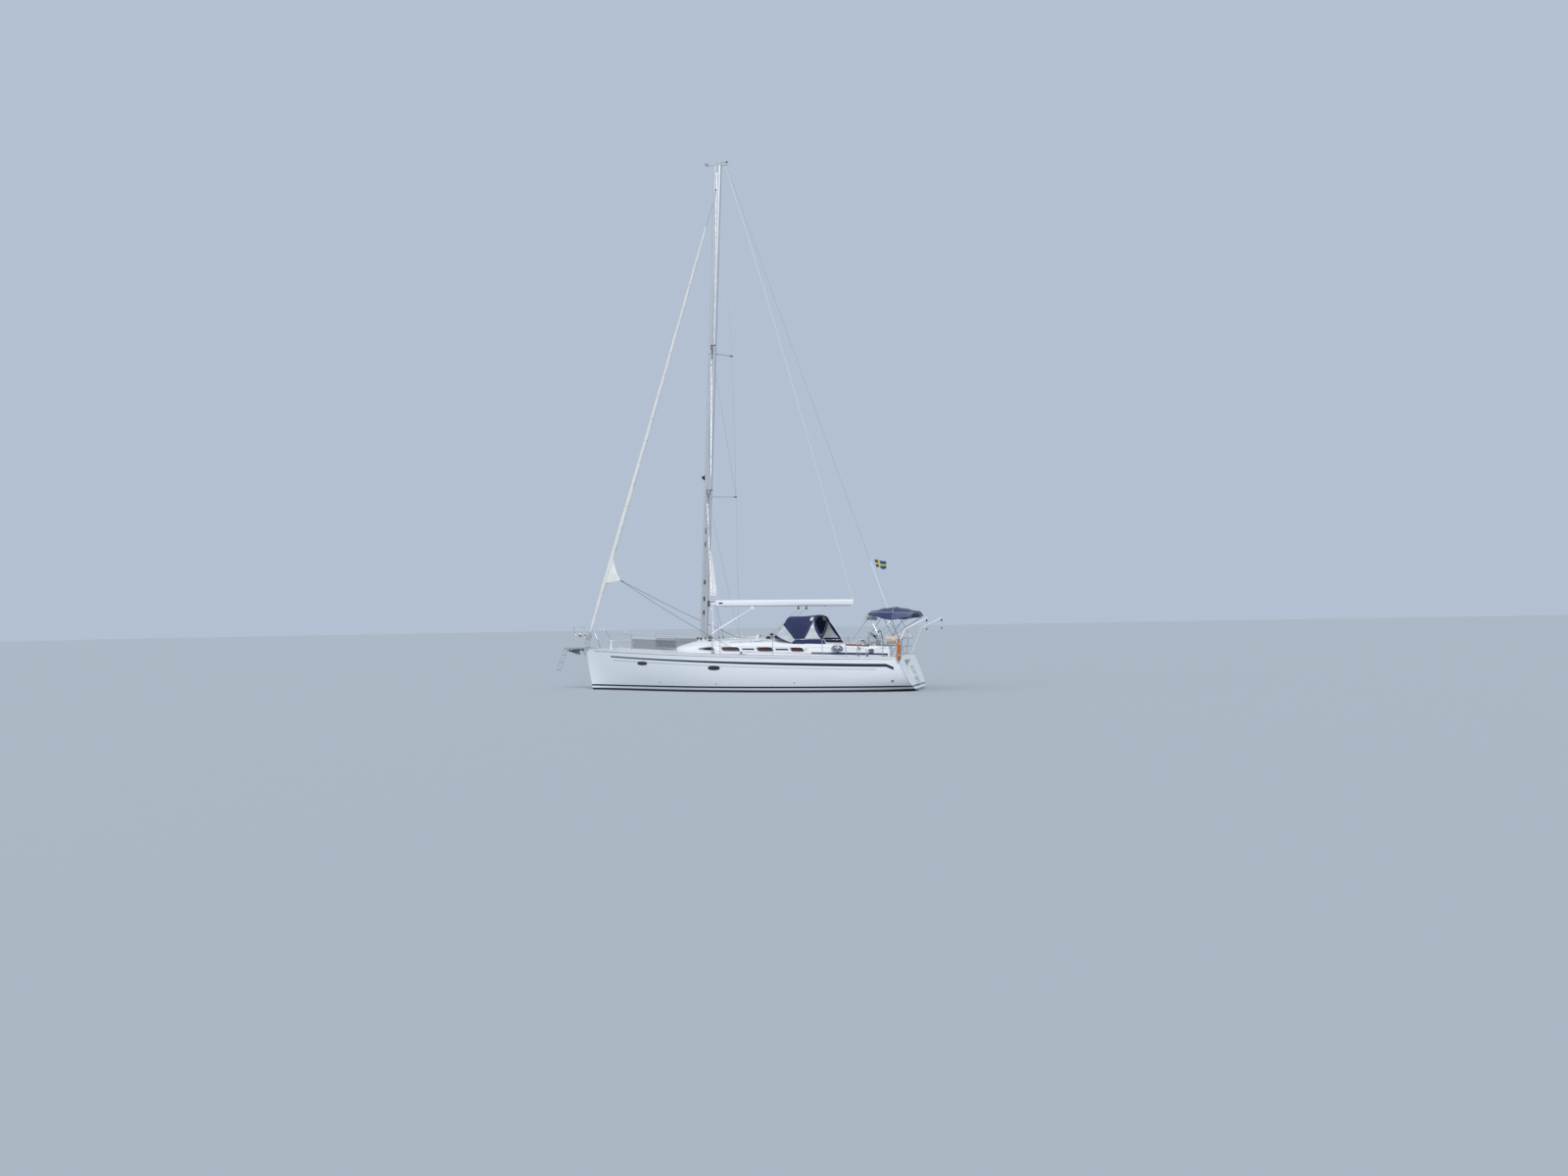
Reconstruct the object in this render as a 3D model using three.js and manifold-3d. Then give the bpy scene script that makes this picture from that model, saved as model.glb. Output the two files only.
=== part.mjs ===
// A 13 metre cruising sloop with an aft cockpit, afloat, its mainsail rolled up inside the mast.
// Millimetres. +X points to the bow, +Y to port and +Z up. The origin is on the waterline,
// on the centreline, at half the length of the hull.

import * as THREE from 'three';
import { mergeVertices } from 'three/addons/utils/BufferGeometryUtils.js';
import Module from 'manifold-3d';

const wasm = await Module();
wasm.setup();

// Driving dimensions

// The space between pieces that touch, the space round pieces that move, and a length past everything
const GAP = 0.3;
const CLEAR = 5;
const FAR = 9000;
const SIDES = [['port', 1], ['starboard', -1]];
const { degToRad } = THREE.MathUtils;

const HULL = {
  wall: 40, sternWall: 60, stemWall: 320, sternX: -6500, stemX: 6220,
  girthPoints: 9, stations: 20, freeboard: 1300, aboveDeck: 160, crowding: 0.12,
};
const STATION_COLUMNS = ['halfBeam', 'depth', 'lean', 'bilge', 'side', 'turn'];
// x, half beam at the deck, depth of the canoe body, how far the section leans forward for each
// millimetre up, fullness of bilge and side as parts of the half beam, height of the turn
const STATION_ROWS = [
  [-6500, 1600, 15, 0.44, 0.80, 1.00, 330],
  [-5300, 1780, 190, 0.22, 0.80, 1.00, 180],
  [-3800, 1910, 410, 0.05, 0.78, 1.00, 80],
  [-1200, 2010, 600, 0.00, 0.76, 0.99, 40],
  [1200, 1870, 610, 0.00, 0.62, 0.96, 60],
  [3200, 1450, 510, 0.03, 0.42, 0.86, 120],
  [4800, 860, 350, 0.09, 0.26, 0.70, 220],
  [5700, 400, 180, 0.14, 0.18, 0.60, 300],
  [6220, 24, 6, 0.18, 0.50, 1.00, 400],
];
const TRANSOM_LEAN = STATION_ROWS[0][3];

const DECK = {
  thickness: 35, sternX: -5980, sternHeight: 1224, bowX: 6500, bowHeight: 1560, camber: 70, camberHalf: 2000,
  edgeHalf: 2400, edgePoints: 12,
};

const ROOF = {
  wall: 40, lean: 75, shoulder: 30, stations: 12, innerStations: 8, crownPoints: 6, mouldBelow: 150,
  seat: 15,
  noseWall: 300,
};
const HOUSE_COLUMNS = ['half', 'shoulder', 'top'];
// x, half width at the deck, height of the side's upper edge, height of the crown
const ROOF_ROWS = [
  [-2750, 1360, 1680, 1950],
  [-1000, 1330, 1685, 1920],
  [500, 1210, 1670, 1893],
  [1540, 1000, 1640, 1868],
  [2100, 800, 1590, 1770],
  [2600, 520, 1525, 1630],
  [3000, 160, 1452, 1456],
];
const COAMING_ROWS = [
  [-5650, 1270, 1550, 1550],
  [-4200, 1345, 1630, 1630],
  [-2757, 1360, 1680, 1680],
];
const COAMING_STATIONS = 6;

const WINDOW_BAND = {
  foreX: 1620, aftX: -2700, foreMiddle: 1548, aftMiddle: 1478, half: 82, tip: 12, glass: 8, off: 3,
  margin: 22,
  pieces: 10,
};
// the fore end, the aft end and the slope of the fore edge of each window
const WINDOW_ROWS = [
  [1480, 800, 420],
  [520, -190, 60],
  [-860, -1480, 60],
  [-2120, -2600, 60],
];

const COCKPIT = {
  foreX: -2757, aftX: -5650, half: 1100, sole: 860, seat: 1262, wall: 35, wellHalf: 420, helmForeX: -4750,
  helmAftX: -5330, helmHalf: 940, seatHalf: 1010, shell: 40, sill: 1300, rim: 1400,
};
const COMPANIONWAY = { half: 340, sill: 1320, foreX: -2150 };
const DOOR = { aftX: -2780, foreX: -2760, inner: 4, outer: 355, top: 1905 };
const SLIDING_HATCH = {
  aftX: -2800, foreX: -2120, half: 400, under: 8, over: 42, railForeX: -1560, railHalf: 10, railHeight: 30,
};
const HATCH = { frame: 22, border: 40, lid: 22, frameInset: 10, frameBelow: 90 };
const FORE_HATCH = { aftX: 3260, foreX: 3800, half: 270 };
const SALOON_HATCH = { aftX: -660, foreX: -140, half: 260 };
const ANCHOR_LOCKER = { aftX: 5330, foreX: 5930, aftHalf: 330, foreHalf: 190, border: 30, lid: 20 };
const SEAT_LOCKER = { aftX: -4340, foreX: -3260, inner: 480, outer: 975, border: 40, lid: 20 };

const RECESS = { half: 620, low: 420, high: 1090, depth: 330, wall: 30 };
const FOIL_POINTS = 9;
// z, leading edge, trailing edge, thickness
const KEEL_ROWS = [
  [-380, 1250, -780, 230],
  [-1100, 1060, -700, 200],
  [-1720, 900, -640, 175],
];
const BULB = { noseX: 1150, tailX: -1150, z: -1780, half: 235, height: 150, sections: 12, tip: 0.05 };
const RUDDER_ROWS = [
  [-250, -5130, -5790, 105],
  [-900, -5170, -5760, 85],
  [-1650, -5260, -5670, 55],
];
const RUDDER_STOCK = { x: -5330, radius: 42, low: -1200, top: 700, clearance: 3 };
const SAILDRIVE = {
  x: -3050, top: -200, shaftZ: -900, chord: 260, tipChord: 200, thickness: 85, holeLength: 300,
  holeWidth: 95,
  pod: 46, podAftX: -3260, podForeX: -2960, plateAft: 240, plateFore: 200, plateHalf: 110, plateTop: -300,
};
const PROPELLER = { x: -3329, radius: 225, hub: 42, hubLength: 120, blades: 3, pitch: 0.62, chord: 150 };

const ENGINE = { aftX: -2990, foreX: -2190, half: 270, low: -200, high: 420 };
const CABIN = {
  aftX: -2140, foreX: 3300, aisle: 560, board: 30, soleZ: -150, bunkZ: 330, reach: 1900, stair: 300,
};
// x of the aft edge of each step and its height
const STAIR_ROWS = [
  [-2140, 560],
  [-1940, 330],
  [-1740, 100],
];
const STAIR_TREAD = 200;

const MAST = {
  footX: 1645, footZ: 1900, topZ: 19580, rake: degToRad(2.8), chord: 295, width: 157, square: 0.85,
};
const MAST_SLOT = { half: 9, depth: 34, lip: 3 };
const MAST_STEP = { aft: 205, fore: 190, half: 130, depth: 170 };
const GOOSENECK = {
  z: 3200, pinAft: 300, toggle: 46, toggleRadius: 24, gap: 8, lug: 20, half: 45, plateHalf: 110,
};
const BOOM = { foreX: 1120, aftX: -4130, foreZ: 3200, aftZ: 3120, height: 226, width: 130, square: 0.6 };
const VANG = {
  headX: -290, headZ: 2985, footZ: 2090, radius: 34, rodRadius: 22, lapFrom: 0.5, lapTo: 0.62,
};
const CRANE = {
  fore: 165, aft: -352, height: 70, half: 35, stayAft: -325, armFore: 325, armHalf: 12, armLow: 20,
  armHigh: 40,
  lamp: 40, lampHeight: 90, lampX: -60,
};
// name, height of the root, span, and the angles of sweep and rise
const SPREADER_ROWS = [
  ['lower', 7180, 1500, 24.7, 5],
  ['upper', 12540, 1080, 23.5, 5],
];
const SPREADER = { collar: 16, below: 38, above: 46 };
// part of the span, half chord and half depth of a spreader's section
const SPREADER_SECTIONS = [
  [0, 62, 17],
  [0.5, 52, 14],
  [0.985, 34, 11],
];
const SHROUD = { radius: 6, capX: 770, lowerX: 690, y: 1480, headZ: 19300, sides: 6, plate: 90, drop: 120 };
const FORESTAY = {
  footX: 6500, footZ: 1640, headX: 1000, headZ: 18250, sag: 40, radius: 17, end: 0.996, pieces: 8, sides: 12,
};
const TANG = { aft: 120, fore: 190, half: 9, over: 6, height: 50 };
// part of the stay's length, radius of the rolled sail
const GENOA_ROWS = [
  [0.036, 32],
  [0.05, 48],
  [0.10, 60],
  [0.16, 80],
  [0.35, 80],
  [0.45, 68],
  [0.65, 54],
  [0.85, 46],
  [0.945, 33],
];
const GENOA_BORE = 24;
const DRUM = { from: 0.016, to: 0.031, radius: 95, lip: 0.0004 };
const BACKSTAY_FOOT_X = -5930;
const LIFT = { sag: 120, sagSlope: 0.28, radius: 6, headBelow: 15, inset: 60, over: 1.5, pieces: 6 };
// distance aft of the mast's middle and height of the corners of the clew's flap
const CLEW_ROWS = [
  [154, 3480],
  [154, 5160],
  [210, 5120],
  [470, 3600],
  [420, 3500],
];
const CLEW_HALF = 8;

const RAIL = { tube: 14, post: 12, inset: 75, height: 620, middle: 320, wire: 5, into: 20, bend: 150 };
const STANCHION_X = [4080, 2060, 310, -1660, -3430, -4250];
const LIFELINE = { aftX: -4900, upper: 600, middle: 320 };
// x, y and height of the ends of the upper and the middle wire, at the pulpit
const LIFELINE_ENDS = [
  [5898, 510, 2268],
  [5662, 592, 1862],
];
const NET = { low: 80, high: 560, inset: 22, thickness: 6, from: 0.02, to: 0.98 };
const TOE_RAIL = { height: 42, width: 26, inset: 6, foreX: 6130, aftInset: 20, pieces: 16 };
// x, y and height of the corners of one side of the pulpit, from the deck to the bow platform
const PULPIT_ROWS = [
  [5655, 420, 1480],
  [5700, 585, 1890],
  [5950, 490, 2300],
  [6950, 200, 2425],
  [6815, 190, 2075],
  [6440, 165, 2055],
  [6440, 165, 1610],
];
const PULPIT_BEND = 110;
const PUSHPIT = {
  foreX: -4950, cornerX: -5700, sternX: -5895, lean: 0.12, sternY: 1560, postX: -5500, postY: 560,
  sternZ: 1190,
};

const PLATFORM = { aftX: 6180, kneeX: 6600, foreX: 7330, half: 180, low: 1572, high: 1622, foreLow: 1545 };
const STRUT = { footX: 6420, footZ: 1225, headX: 6720, headZ: 1590, y: 60, radius: 16 };
// x and height of the corners of the anchor's shank
const SHANK_ROWS = [
  [7150, 1590],
  [6560, 1590],
  [6560, 1520],
  [6760, 1480],
  [7040, 1470],
];
const SHANK_HALF = 12;
// x, height of the ridge, half width and height of the lower edge of the anchor's plough
const PLOUGH_ROWS = [
  [7290, 1520, 10, 1505],
  [7040, 1500, 85, 1430],
  [6790, 1490, 140, 1345],
];
const PLOUGH_THICKNESS = 26;
const BOW_LADDER = {
  half: 150, tube: 12, length: 920, tilt: degToRad(20), rungs: 3, off: 34, z: 1596, inset: 30,
};
const SWIM_LADDER = { half: 180, tube: 13, length: 700, rungs: 3, lowZ: 190, off: 42 };
const DAVIT = {
  footX: -5840, y: 1500, elbowX: -6260, elbowZ: 2140, tipX: -7050, tipZ: 2520, radius: 26, bend: 200,
};

// The sprayhood's edges and bows: foot on the coaming, then crown
const HOOD_ROWS = [
  [-2300, 1250, 1668, -1400, 1965],
  [-2390, 1262, 1668, -1850, 2650],
  [-2500, 1262, 1668, -2860, 2690],
  [-3390, 1240, 1660, -2950, 2660],
];
const HOOD = {
  thickness: 12, square: 3.4, points: 20, lean: 0.78, taper: 0.1, bowInside: 28, bowRadius: 13,
};
// row of the sprayhood that each bow carries, and its shift towards the middle
const HOOD_BOW_ROWS = [
  [1, -18],
  [2, 14],
];
const HOOD_LINK = { foreX: -2385, aftX: -2510, y: 1222, z: 1702 };

const BIMINI = {
  half: 1090, thickness: 12, points: 14, tube: 13, strut: 11, curve: 2.6, bowInside: 34, slot: 30,
};
// x, height of the crown, height of the side's edge
const BIMINI_ROWS = [
  [-4890, 2800, 2670],
  [-5250, 2890, 2580],
  [-5660, 2930, 2480],
  [-6050, 2860, 2530],
  [-6420, 2760, 2590],
];
// row of the canopy that each bow carries, its shift towards the middle, and its foot
const BIMINI_BOW_ROWS = [
  [2, 0, -5000, 1150, 1500],
  [0, -40, -5270, 1127, 1900],
  [4, 40, -5275, 1125, 1895],
];
// foot and head of the struts
const BIMINI_STRUT_ROWS = [
  [-4160, 1180, 1560, -4938, 1058, 2625],
  [-5972, 980, 1852, -5645, 1058, 2420],
];

// half width and half depth of the steering pedestal at each height
const PEDESTAL_ROWS = [
  [860, 110, 90],
  [1250, 85, 70],
  [1640, 100, 85],
  [1760, 80, 65],
];
const PEDESTAL = { x: -4880, podHalf: 190, sides: 12 };
const POD_OUTLINE = [[-4985, 1715], [-4800, 1700], [-4735, 1930], [-4800, 1975]];
const WHEEL = {
  x: -5046, z: 1590, radius: 500, tube: 15, spokes: 6, spoke: 9, hub: 45, hubHalf: 30, axle: 20,
};
const REEL = {
  foreX: -5560, length: 360, y: 1215, z: 1780, flange: 160, core: 130, bore: 18, rim: 8, cone: 14,
  rod: 11, arm: 40,
};
const WINCH = { x: -4700, inset: 190, sunk: 8, sides: 14 };
// radius and height of the corners of the winch's outline
const WINCH_ROWS = [
  [0, 0],
  [86, 0],
  [75, 30],
  [64, 70],
  [75, 165],
  [0, 165],
];
// distance down, half width and half depth of the rescue sling's bag
const SLING_ROWS = [
  [0, 36, 35],
  [200, 76, 60],
  [620, 100, 70],
  [780, 72, 50],
];
const SLING = { x: -6080, y: 1665, z: 1850 };
const ENSIGN = { foreX: -4870, aftX: -5330, low: 4280, high: 4620, half: 5 };

// Finishes

const look = (color, roughness, metalness = 0, opacity = 1) =>
  new THREE.MeshStandardMaterial({ color, roughness, metalness, opacity, transparent: opacity < 1 });
const GELCOAT = look(0xe9edf0, 0.25);
const ANTIFOULING = look(0x18233a, 0.8);
const STEEL = look(0xc9ced2, 0.2, 1);
const SILVER = look(0xc4c9cc, 0.4, 0.9);
const WHITE_PAINT = look(0xeef0f0, 0.4);
const NAVY_CLOTH = look(0x161d3d, 0.9);
const SAILCLOTH = look(0xeeeadc, 0.8);
const DARK_GLASS = look(0x10141c, 0.1, 0, 0.8);
const BLACK = look(0x16181a, 0.5);
const BRONZE = look(0x9a7a3c, 0.35, 1);
const TEAK = look(0x8a5a32, 0.7);
const ORANGE = look(0xb2501c, 0.8);
const NET_CLOTH = look(0xa9aeb6, 0.9);
const GREEN_PAINT = look(0x3e7d4a, 0.6);
const BLUE_CLOTH = look(0x1d4d8f, 0.8);

// Making and joining shapes

const P = (x, y, z) => new THREE.Vector3(x, y, z);

function bodyOf(points, faces) {
  const turned = new THREE.Vector3();
  let volume = 0;
  for (const [a, b, c] of faces) volume += points[a].dot(turned.crossVectors(points[b], points[c]));
  const geometry = new THREE.BufferGeometry();
  geometry.setAttribute('position', new THREE.Float32BufferAttribute(points.flatMap((p) => p.toArray()), 3));
  geometry.setIndex(faces.flatMap(([a, b, c]) => (volume > 0 ? [a, b, c] : [a, c, b])));
  return geometry;
}

// Joins rings of equally many points, and closes both ends with a fan from the ring's centre.
function loft(rings) {
  const count = rings[0].length;
  const points = rings.flat();
  const faces = [];
  for (let i = 0; i + 1 < rings.length; i++) {
    for (let j = 0; j < count; j++) {
      const k = (j + 1) % count;
      const [low, high] = [i * count, (i + 1) * count];
      faces.push([low + j, low + k, high + k], [low + j, high + k, high + j]);
    }
  }
  for (const first of [true, false]) {
    const start = first ? 0 : (rings.length - 1) * count;
    const centre = rings.at(first ? 0 : -1).reduce((sum, p) => sum.add(p), P(0, 0, 0)).divideScalar(count);
    points.push(centre);
    const tip = points.length - 1;
    for (let j = 0; j < count; j++) {
      const k = (j + 1) % count;
      faces.push(first ? [start + k, start + j, tip] : [start + j, start + k, tip]);
    }
  }
  return bodyOf(points, faces);
}

// A sheet of even thickness: rows of points, its outer face through them, its inner face inside.
function sheet(rows, thickness) {
  const [high, wide] = [rows.length, rows[0].length];
  const flat = rows.flat();
  const middle = flat.reduce((sum, p) => sum.add(p), P(0, 0, 0)).divideScalar(flat.length);
  const at = (i, j) => rows[Math.min(Math.max(i, 0), high - 1)][Math.min(Math.max(j, 0), wide - 1)];
  const normals = rows.flatMap((row, i) => row.map((point, j) => {
    const along = at(i + 1, j).clone().sub(at(i - 1, j));
    const across = at(i, j + 1).clone().sub(at(i, j - 1));
    return along.cross(across).normalize();
  }));
  const outward = flat.reduce((sum, p, n) => sum + normals[n].dot(p.clone().sub(middle)), 0) > 0 ? 1 : -1;
  const inside = flat.map((p, n) => p.clone().addScaledVector(normals[n], -outward * thickness));
  const points = [...flat, ...inside];
  const faces = [];
  const quad = (a, b, c, d) => faces.push([a, b, c], [a, c, d]);
  for (let i = 0; i + 1 < high; i++) {
    for (let j = 0; j + 1 < wide; j++) {
      const a = i * wide + j;
      quad(a, a + 1, a + wide + 1, a + wide);
      quad(flat.length + a, flat.length + a + wide, flat.length + a + wide + 1, flat.length + a + 1);
    }
  }
  const edge = [];
  for (let j = 0; j + 1 < wide; j++) edge.push(j);
  for (let i = 0; i + 1 < high; i++) edge.push(i * wide + wide - 1);
  for (let j = wide - 1; j > 0; j--) edge.push((high - 1) * wide + j);
  for (let i = high - 1; i > 0; i--) edge.push(i * wide);
  edge.forEach((a, n) => {
    const b = edge[(n + 1) % edge.length];
    quad(b, a, flat.length + a, flat.length + b);
  });
  return bodyOf(points, faces);
}

// The path of a bent tube: straight runs between corners, and round bends at them.
class Route extends THREE.Curve {
  constructor(corners, bend, turns) {
    super();
    this.knots = [corners[0]];
    for (let i = 1; i + 1 < corners.length; i++) {
      const corner = corners[i];
      const back = corners[i - 1].clone().sub(corner);
      const on = corners[i + 1].clone().sub(corner);
      const most = Math.min(back.length(), on.length()) * 0.45;
      const reach = Math.min(bend / Math.tan(back.angleTo(on) / 2), most);
      const arc = new THREE.QuadraticBezierCurve3(
        corner.clone().add(back.setLength(reach)),
        corner,
        corner.clone().add(on.setLength(reach)),
      );
      if (bend > 0) this.knots.push(...arc.getPoints(turns));
      else this.knots.push(corner);
    }
    this.knots.push(corners.at(-1));
  }

  getPointAt(u, target = P(0, 0, 0)) {
    return target.copy(this.knots[Math.round(u * (this.knots.length - 1))]);
  }

  getTangentAt(u, target = P(0, 0, 0)) {
    const last = this.knots.length - 1;
    const i = Math.round(u * last);
    return target.subVectors(this.knots[Math.min(i + 1, last)], this.knots[Math.max(i - 1, 0)]).normalize();
  }
}

const circle = (radius, sides) =>
  Array.from({ length: sides }, (_, i) => {
    const turn = (2 * Math.PI * (i + 0.5)) / sides;
    return new THREE.Vector2(radius * Math.cos(turn), radius * Math.sin(turn));
  });

// An oval with squarer corners than an ellipse: the smaller the power, the squarer.
const roundedBox = (halfWidth, halfHeight, power, sides) =>
  circle(1, sides).map((p) => new THREE.Vector2(
    Math.sign(p.x) * Math.abs(p.x) ** power * halfWidth,
    Math.sign(p.y) * Math.abs(p.y) ** power * halfHeight,
  ));

function tube(corners, radius, { bend = 90, sides = 6, turns = 3 } = {}) {
  const route = new Route(corners, bend, turns);
  const section = new THREE.Shape(circle(radius, sides));
  return new THREE.ExtrudeGeometry(section, { steps: route.knots.length - 1, extrudePath: route });
}

function block(x0, x1, y0, y1, z0, z1) {
  const box = new THREE.BoxGeometry(x1 - x0, y1 - y0, z1 - z0);
  return box.translate((x0 + x1) / 2, (y0 + y1) / 2, (z0 + z1) / 2);
}

// An outline in x and z, extruded from y0 to y1.
function panel(outline, y0, y1) {
  const shape = new THREE.Shape(outline.map(([x, z]) => new THREE.Vector2(x, z)));
  const body = new THREE.ExtrudeGeometry(shape, { depth: y1 - y0, bevelEnabled: false });
  return body.rotateX(Math.PI / 2).translate(0, y1, 0);
}

// An outline in x and y, extruded from low to high.
function flatPlate(outline, low, high) {
  const shape = new THREE.Shape(outline.map(([x, y]) => new THREE.Vector2(x, y)));
  return new THREE.ExtrudeGeometry(shape, { depth: high - low, bevelEnabled: false }).translate(0, 0, low);
}

const disc = (radius, low, high, sides = 16) =>
  new THREE.CylinderGeometry(radius, radius, high - low, sides)
    .rotateX(Math.PI / 2)
    .translate(0, 0, (low + high) / 2);

// A round body about the z axis, from a table of radius and height.
const turned = (rows, sides) =>
  new THREE.LatheGeometry(rows.map(([radius, height]) => new THREE.Vector2(radius, height)), sides)
    .rotateX(Math.PI / 2);

function solid(geometry) {
  const bare = new THREE.BufferGeometry();
  bare.setAttribute('position', geometry.getAttribute('position'));
  bare.setIndex(geometry.index);
  const merged = mergeVertices(bare, 1e-3);
  return new wasm.Manifold(new wasm.Mesh({
    numProp: 3,
    vertProperties: merged.attributes.position.array,
    triVerts: new Uint32Array(merged.index.array),
  }));
}

function geometryOf(body) {
  const mesh = body.getMesh();
  const geometry = new THREE.BufferGeometry();
  geometry.setAttribute('position', new THREE.BufferAttribute(new Float32Array(mesh.vertProperties), 3));
  geometry.setIndex([...mesh.triVerts]);
  return geometry;
}

const join = (first, ...rest) =>
  geometryOf(rest.reduce((body, next) => body.add(solid(next)), solid(first)));
const cut = (first, ...rest) =>
  geometryOf(rest.reduce((body, next) => body.subtract(solid(next)), solid(first)));
const common = (first, ...rest) =>
  geometryOf(rest.reduce((body, next) => body.intersect(solid(next)), solid(first)));

// The same shape on the other side of the centreline, or as it is where side is 1.
function onSide(geometry, side) {
  if (side > 0) return geometry.clone();
  const bare = solid(geometry).getMesh();
  const points = new Float32Array(bare.vertProperties);
  for (let i = 1; i < points.length; i += 3) points[i] = -points[i];
  const flipped = new THREE.BufferGeometry();
  flipped.setAttribute('position', new THREE.BufferAttribute(points, 3));
  const faces = [];
  for (let i = 0; i < bare.triVerts.length; i += 3) {
    faces.push(bare.triVerts[i], bare.triVerts[i + 2], bare.triVerts[i + 1]);
  }
  flipped.setIndex(faces);
  return flipped;
}

// Reads a table of rows by its first column, smoothly between the rows.
function table(rows, columns) {
  const starts = rows.map((row) => row[0]);
  const curve = new THREE.CubicInterpolant(starts, rows.flatMap((row) => row.slice(1)), columns.length);
  return (x) => {
    const values = curve.evaluate(Math.min(Math.max(x, starts[0]), starts.at(-1)));
    return Object.fromEntries(columns.map((name, i) => [name, values[i]]));
  };
}

const steps = (from, to, count) =>
  Array.from({ length: count + 1 }, (_, i) => from + ((to - from) * i) / count);

const yacht = new THREE.Group();

function add(name, geometry, material, parent = yacht) {
  const mesh = new THREE.Mesh(geometry, material);
  mesh.name = name;
  parent.add(mesh);
  return mesh;
}

// Hull and deck

const stationAt = table(STATION_ROWS, STATION_COLUMNS);
const deckSlope = (DECK.bowHeight - DECK.sternHeight) / (DECK.bowX - DECK.sternX);
const deckZ = (x, y) =>
  DECK.sternHeight + deckSlope * (x - DECK.sternX) - DECK.camber * (y / DECK.camberHalf) ** 2;

// One side of a hull section from the keel line to above the deck, inset by a wall's thickness.
function hullSection(station, inset) {
  const { halfBeam, depth, lean, bilge, side, turn } = stationAt(station);
  const beam = Math.max(halfBeam - inset, 4);
  const low = inset - depth;
  const edge = deckZ(station + lean * HULL.freeboard, beam);
  const curve = new THREE.CubicBezierCurve(
    new THREE.Vector2(0, low),
    new THREE.Vector2(bilge * beam, low),
    new THREE.Vector2(side * beam, turn),
    new THREE.Vector2(beam, edge),
  );
  const half = [...curve.getPoints(HULL.girthPoints), new THREE.Vector2(beam, edge + HULL.aboveDeck)];
  return half.map(({ x: y, y: z }) => P(station + lean * z, y, z));
}

function hullBody(inset) {
  const { sternX, stemX, stations, crowding } = HULL;
  return loft(steps(0, 1, stations).map((u) => {
    const along = u + (crowding * Math.sin(2 * Math.PI * u)) / Math.PI;
    const half = hullSection(sternX + (stemX - sternX) * along, inset);
    return [...half.slice(1).reverse().map((p) => P(p.x, -p.y, p.z)), ...half];
  }));
}

// Everything above the deck's surface, raised by a distance, or everything below it.
function deckSide(offset, isAbove) {
  const reach = isAbove ? FAR : -FAR;
  const edge = steps(-DECK.edgeHalf, DECK.edgeHalf, DECK.edgePoints);
  const ring = (x) => [
    ...edge.map((y) => P(x, y, deckZ(x, y) + offset)),
    P(x, DECK.edgeHalf, reach),
    P(x, -DECK.edgeHalf, reach),
  ];
  return loft([ring(-FAR), ring(FAR)]);
}

// Half the width of the deck, found by halving the interval in which the section must lie
const deckHalf = (x) => {
  let [low, high] = [HULL.sternX, HULL.stemX];
  for (let i = 0; i < 30; i++) {
    const middle = (low + high) / 2;
    const { halfBeam, lean } = stationAt(middle);
    if (middle + lean * deckZ(x, halfBeam) < x) low = middle;
    else high = middle;
  }
  return stationAt(low).halfBeam;
};

const outer = hullBody(0);

// The hollow follows the same stations as the skin and stops at a leaning wall at each end.
function hullInside(inset) {
  const ends = [
    [HULL.sternX + HULL.sternWall, STATION_ROWS[0]],
    [HULL.stemX - HULL.stemWall, STATION_ROWS.at(-1)],
  ];
  const corners = [[-1, -1], [1, -1], [1, 1], [-1, 1]];
  const between = loft(ends.map(([x, [, , , lean]]) =>
    corners.map(([y, z]) => P(x + lean * z * FAR, y * FAR, z * FAR))));
  return common(hullBody(HULL.wall + inset), between);
}
const onDeck = (geometry) => cut(geometry, deckSide(GAP, false));

// A plate on a sloping surface, from one x to another, with its own half width at each end.
function plate(surface, x0, x1, half0, half1, under, over) {
  const ring = (x, half) => [
    P(x, -half, surface(x) + under),
    P(x, half, surface(x) + under),
    P(x, half, surface(x) + over),
    P(x, -half, surface(x) + over),
  ];
  return loft([ring(x0, half0), ring(x1, half1)]);
}

const roofAt = table(ROOF_ROWS, HOUSE_COLUMNS);
const coamingAt = table(COAMING_ROWS, HOUSE_COLUMNS);
const crown = (x) => roofAt(x).top;
const deckLine = (x) => deckZ(x, 0);

// The ring of a coachroof or coaming section, inset by a wall's thickness.
function houseRing(read, x, inset) {
  const { half, shoulder, top } = read(x);
  const edge = Math.max(half - inset, 20);
  const lean = Math.min(ROOF.lean, edge * 0.3);
  const brow = Math.max(edge - lean - ROOF.shoulder, 8);
  const low = deckZ(x, 0) - ROOF.mouldBelow;
  const rise = Math.max(top - shoulder, 0);
  const side = [
    [edge, low],
    [edge, deckZ(x, edge) - ROOF.seat],
    [Math.max(edge - lean, 12), shoulder - inset - ROOF.shoulder],
  ];
  const roof = steps(1, -1, ROOF.crownPoints).map((u) => [brow * u, shoulder - inset + rise * (1 - u * u)]);
  return [...side, ...roof, ...side.map(([y, z]) => [-y, z]).reverse()].map(([y, z]) => P(x, y, z));
}

const house = (read, from, to, inset, count) =>
  loft(steps(from, to, count).map((x) => houseRing(read, x, inset)));

const roofFore = ROOF_ROWS.at(-1)[0];
const roofAft = ROOF_ROWS[0][0];
const roofRoom = house(roofAt, roofAft, roofFore, -CLEAR / 2, ROOF.stations);
const coamingRoom = house(coamingAt, COCKPIT.foreX + 2 * CLEAR, COCKPIT.aftX, -CLEAR / 2, COAMING_STATIONS);

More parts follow.
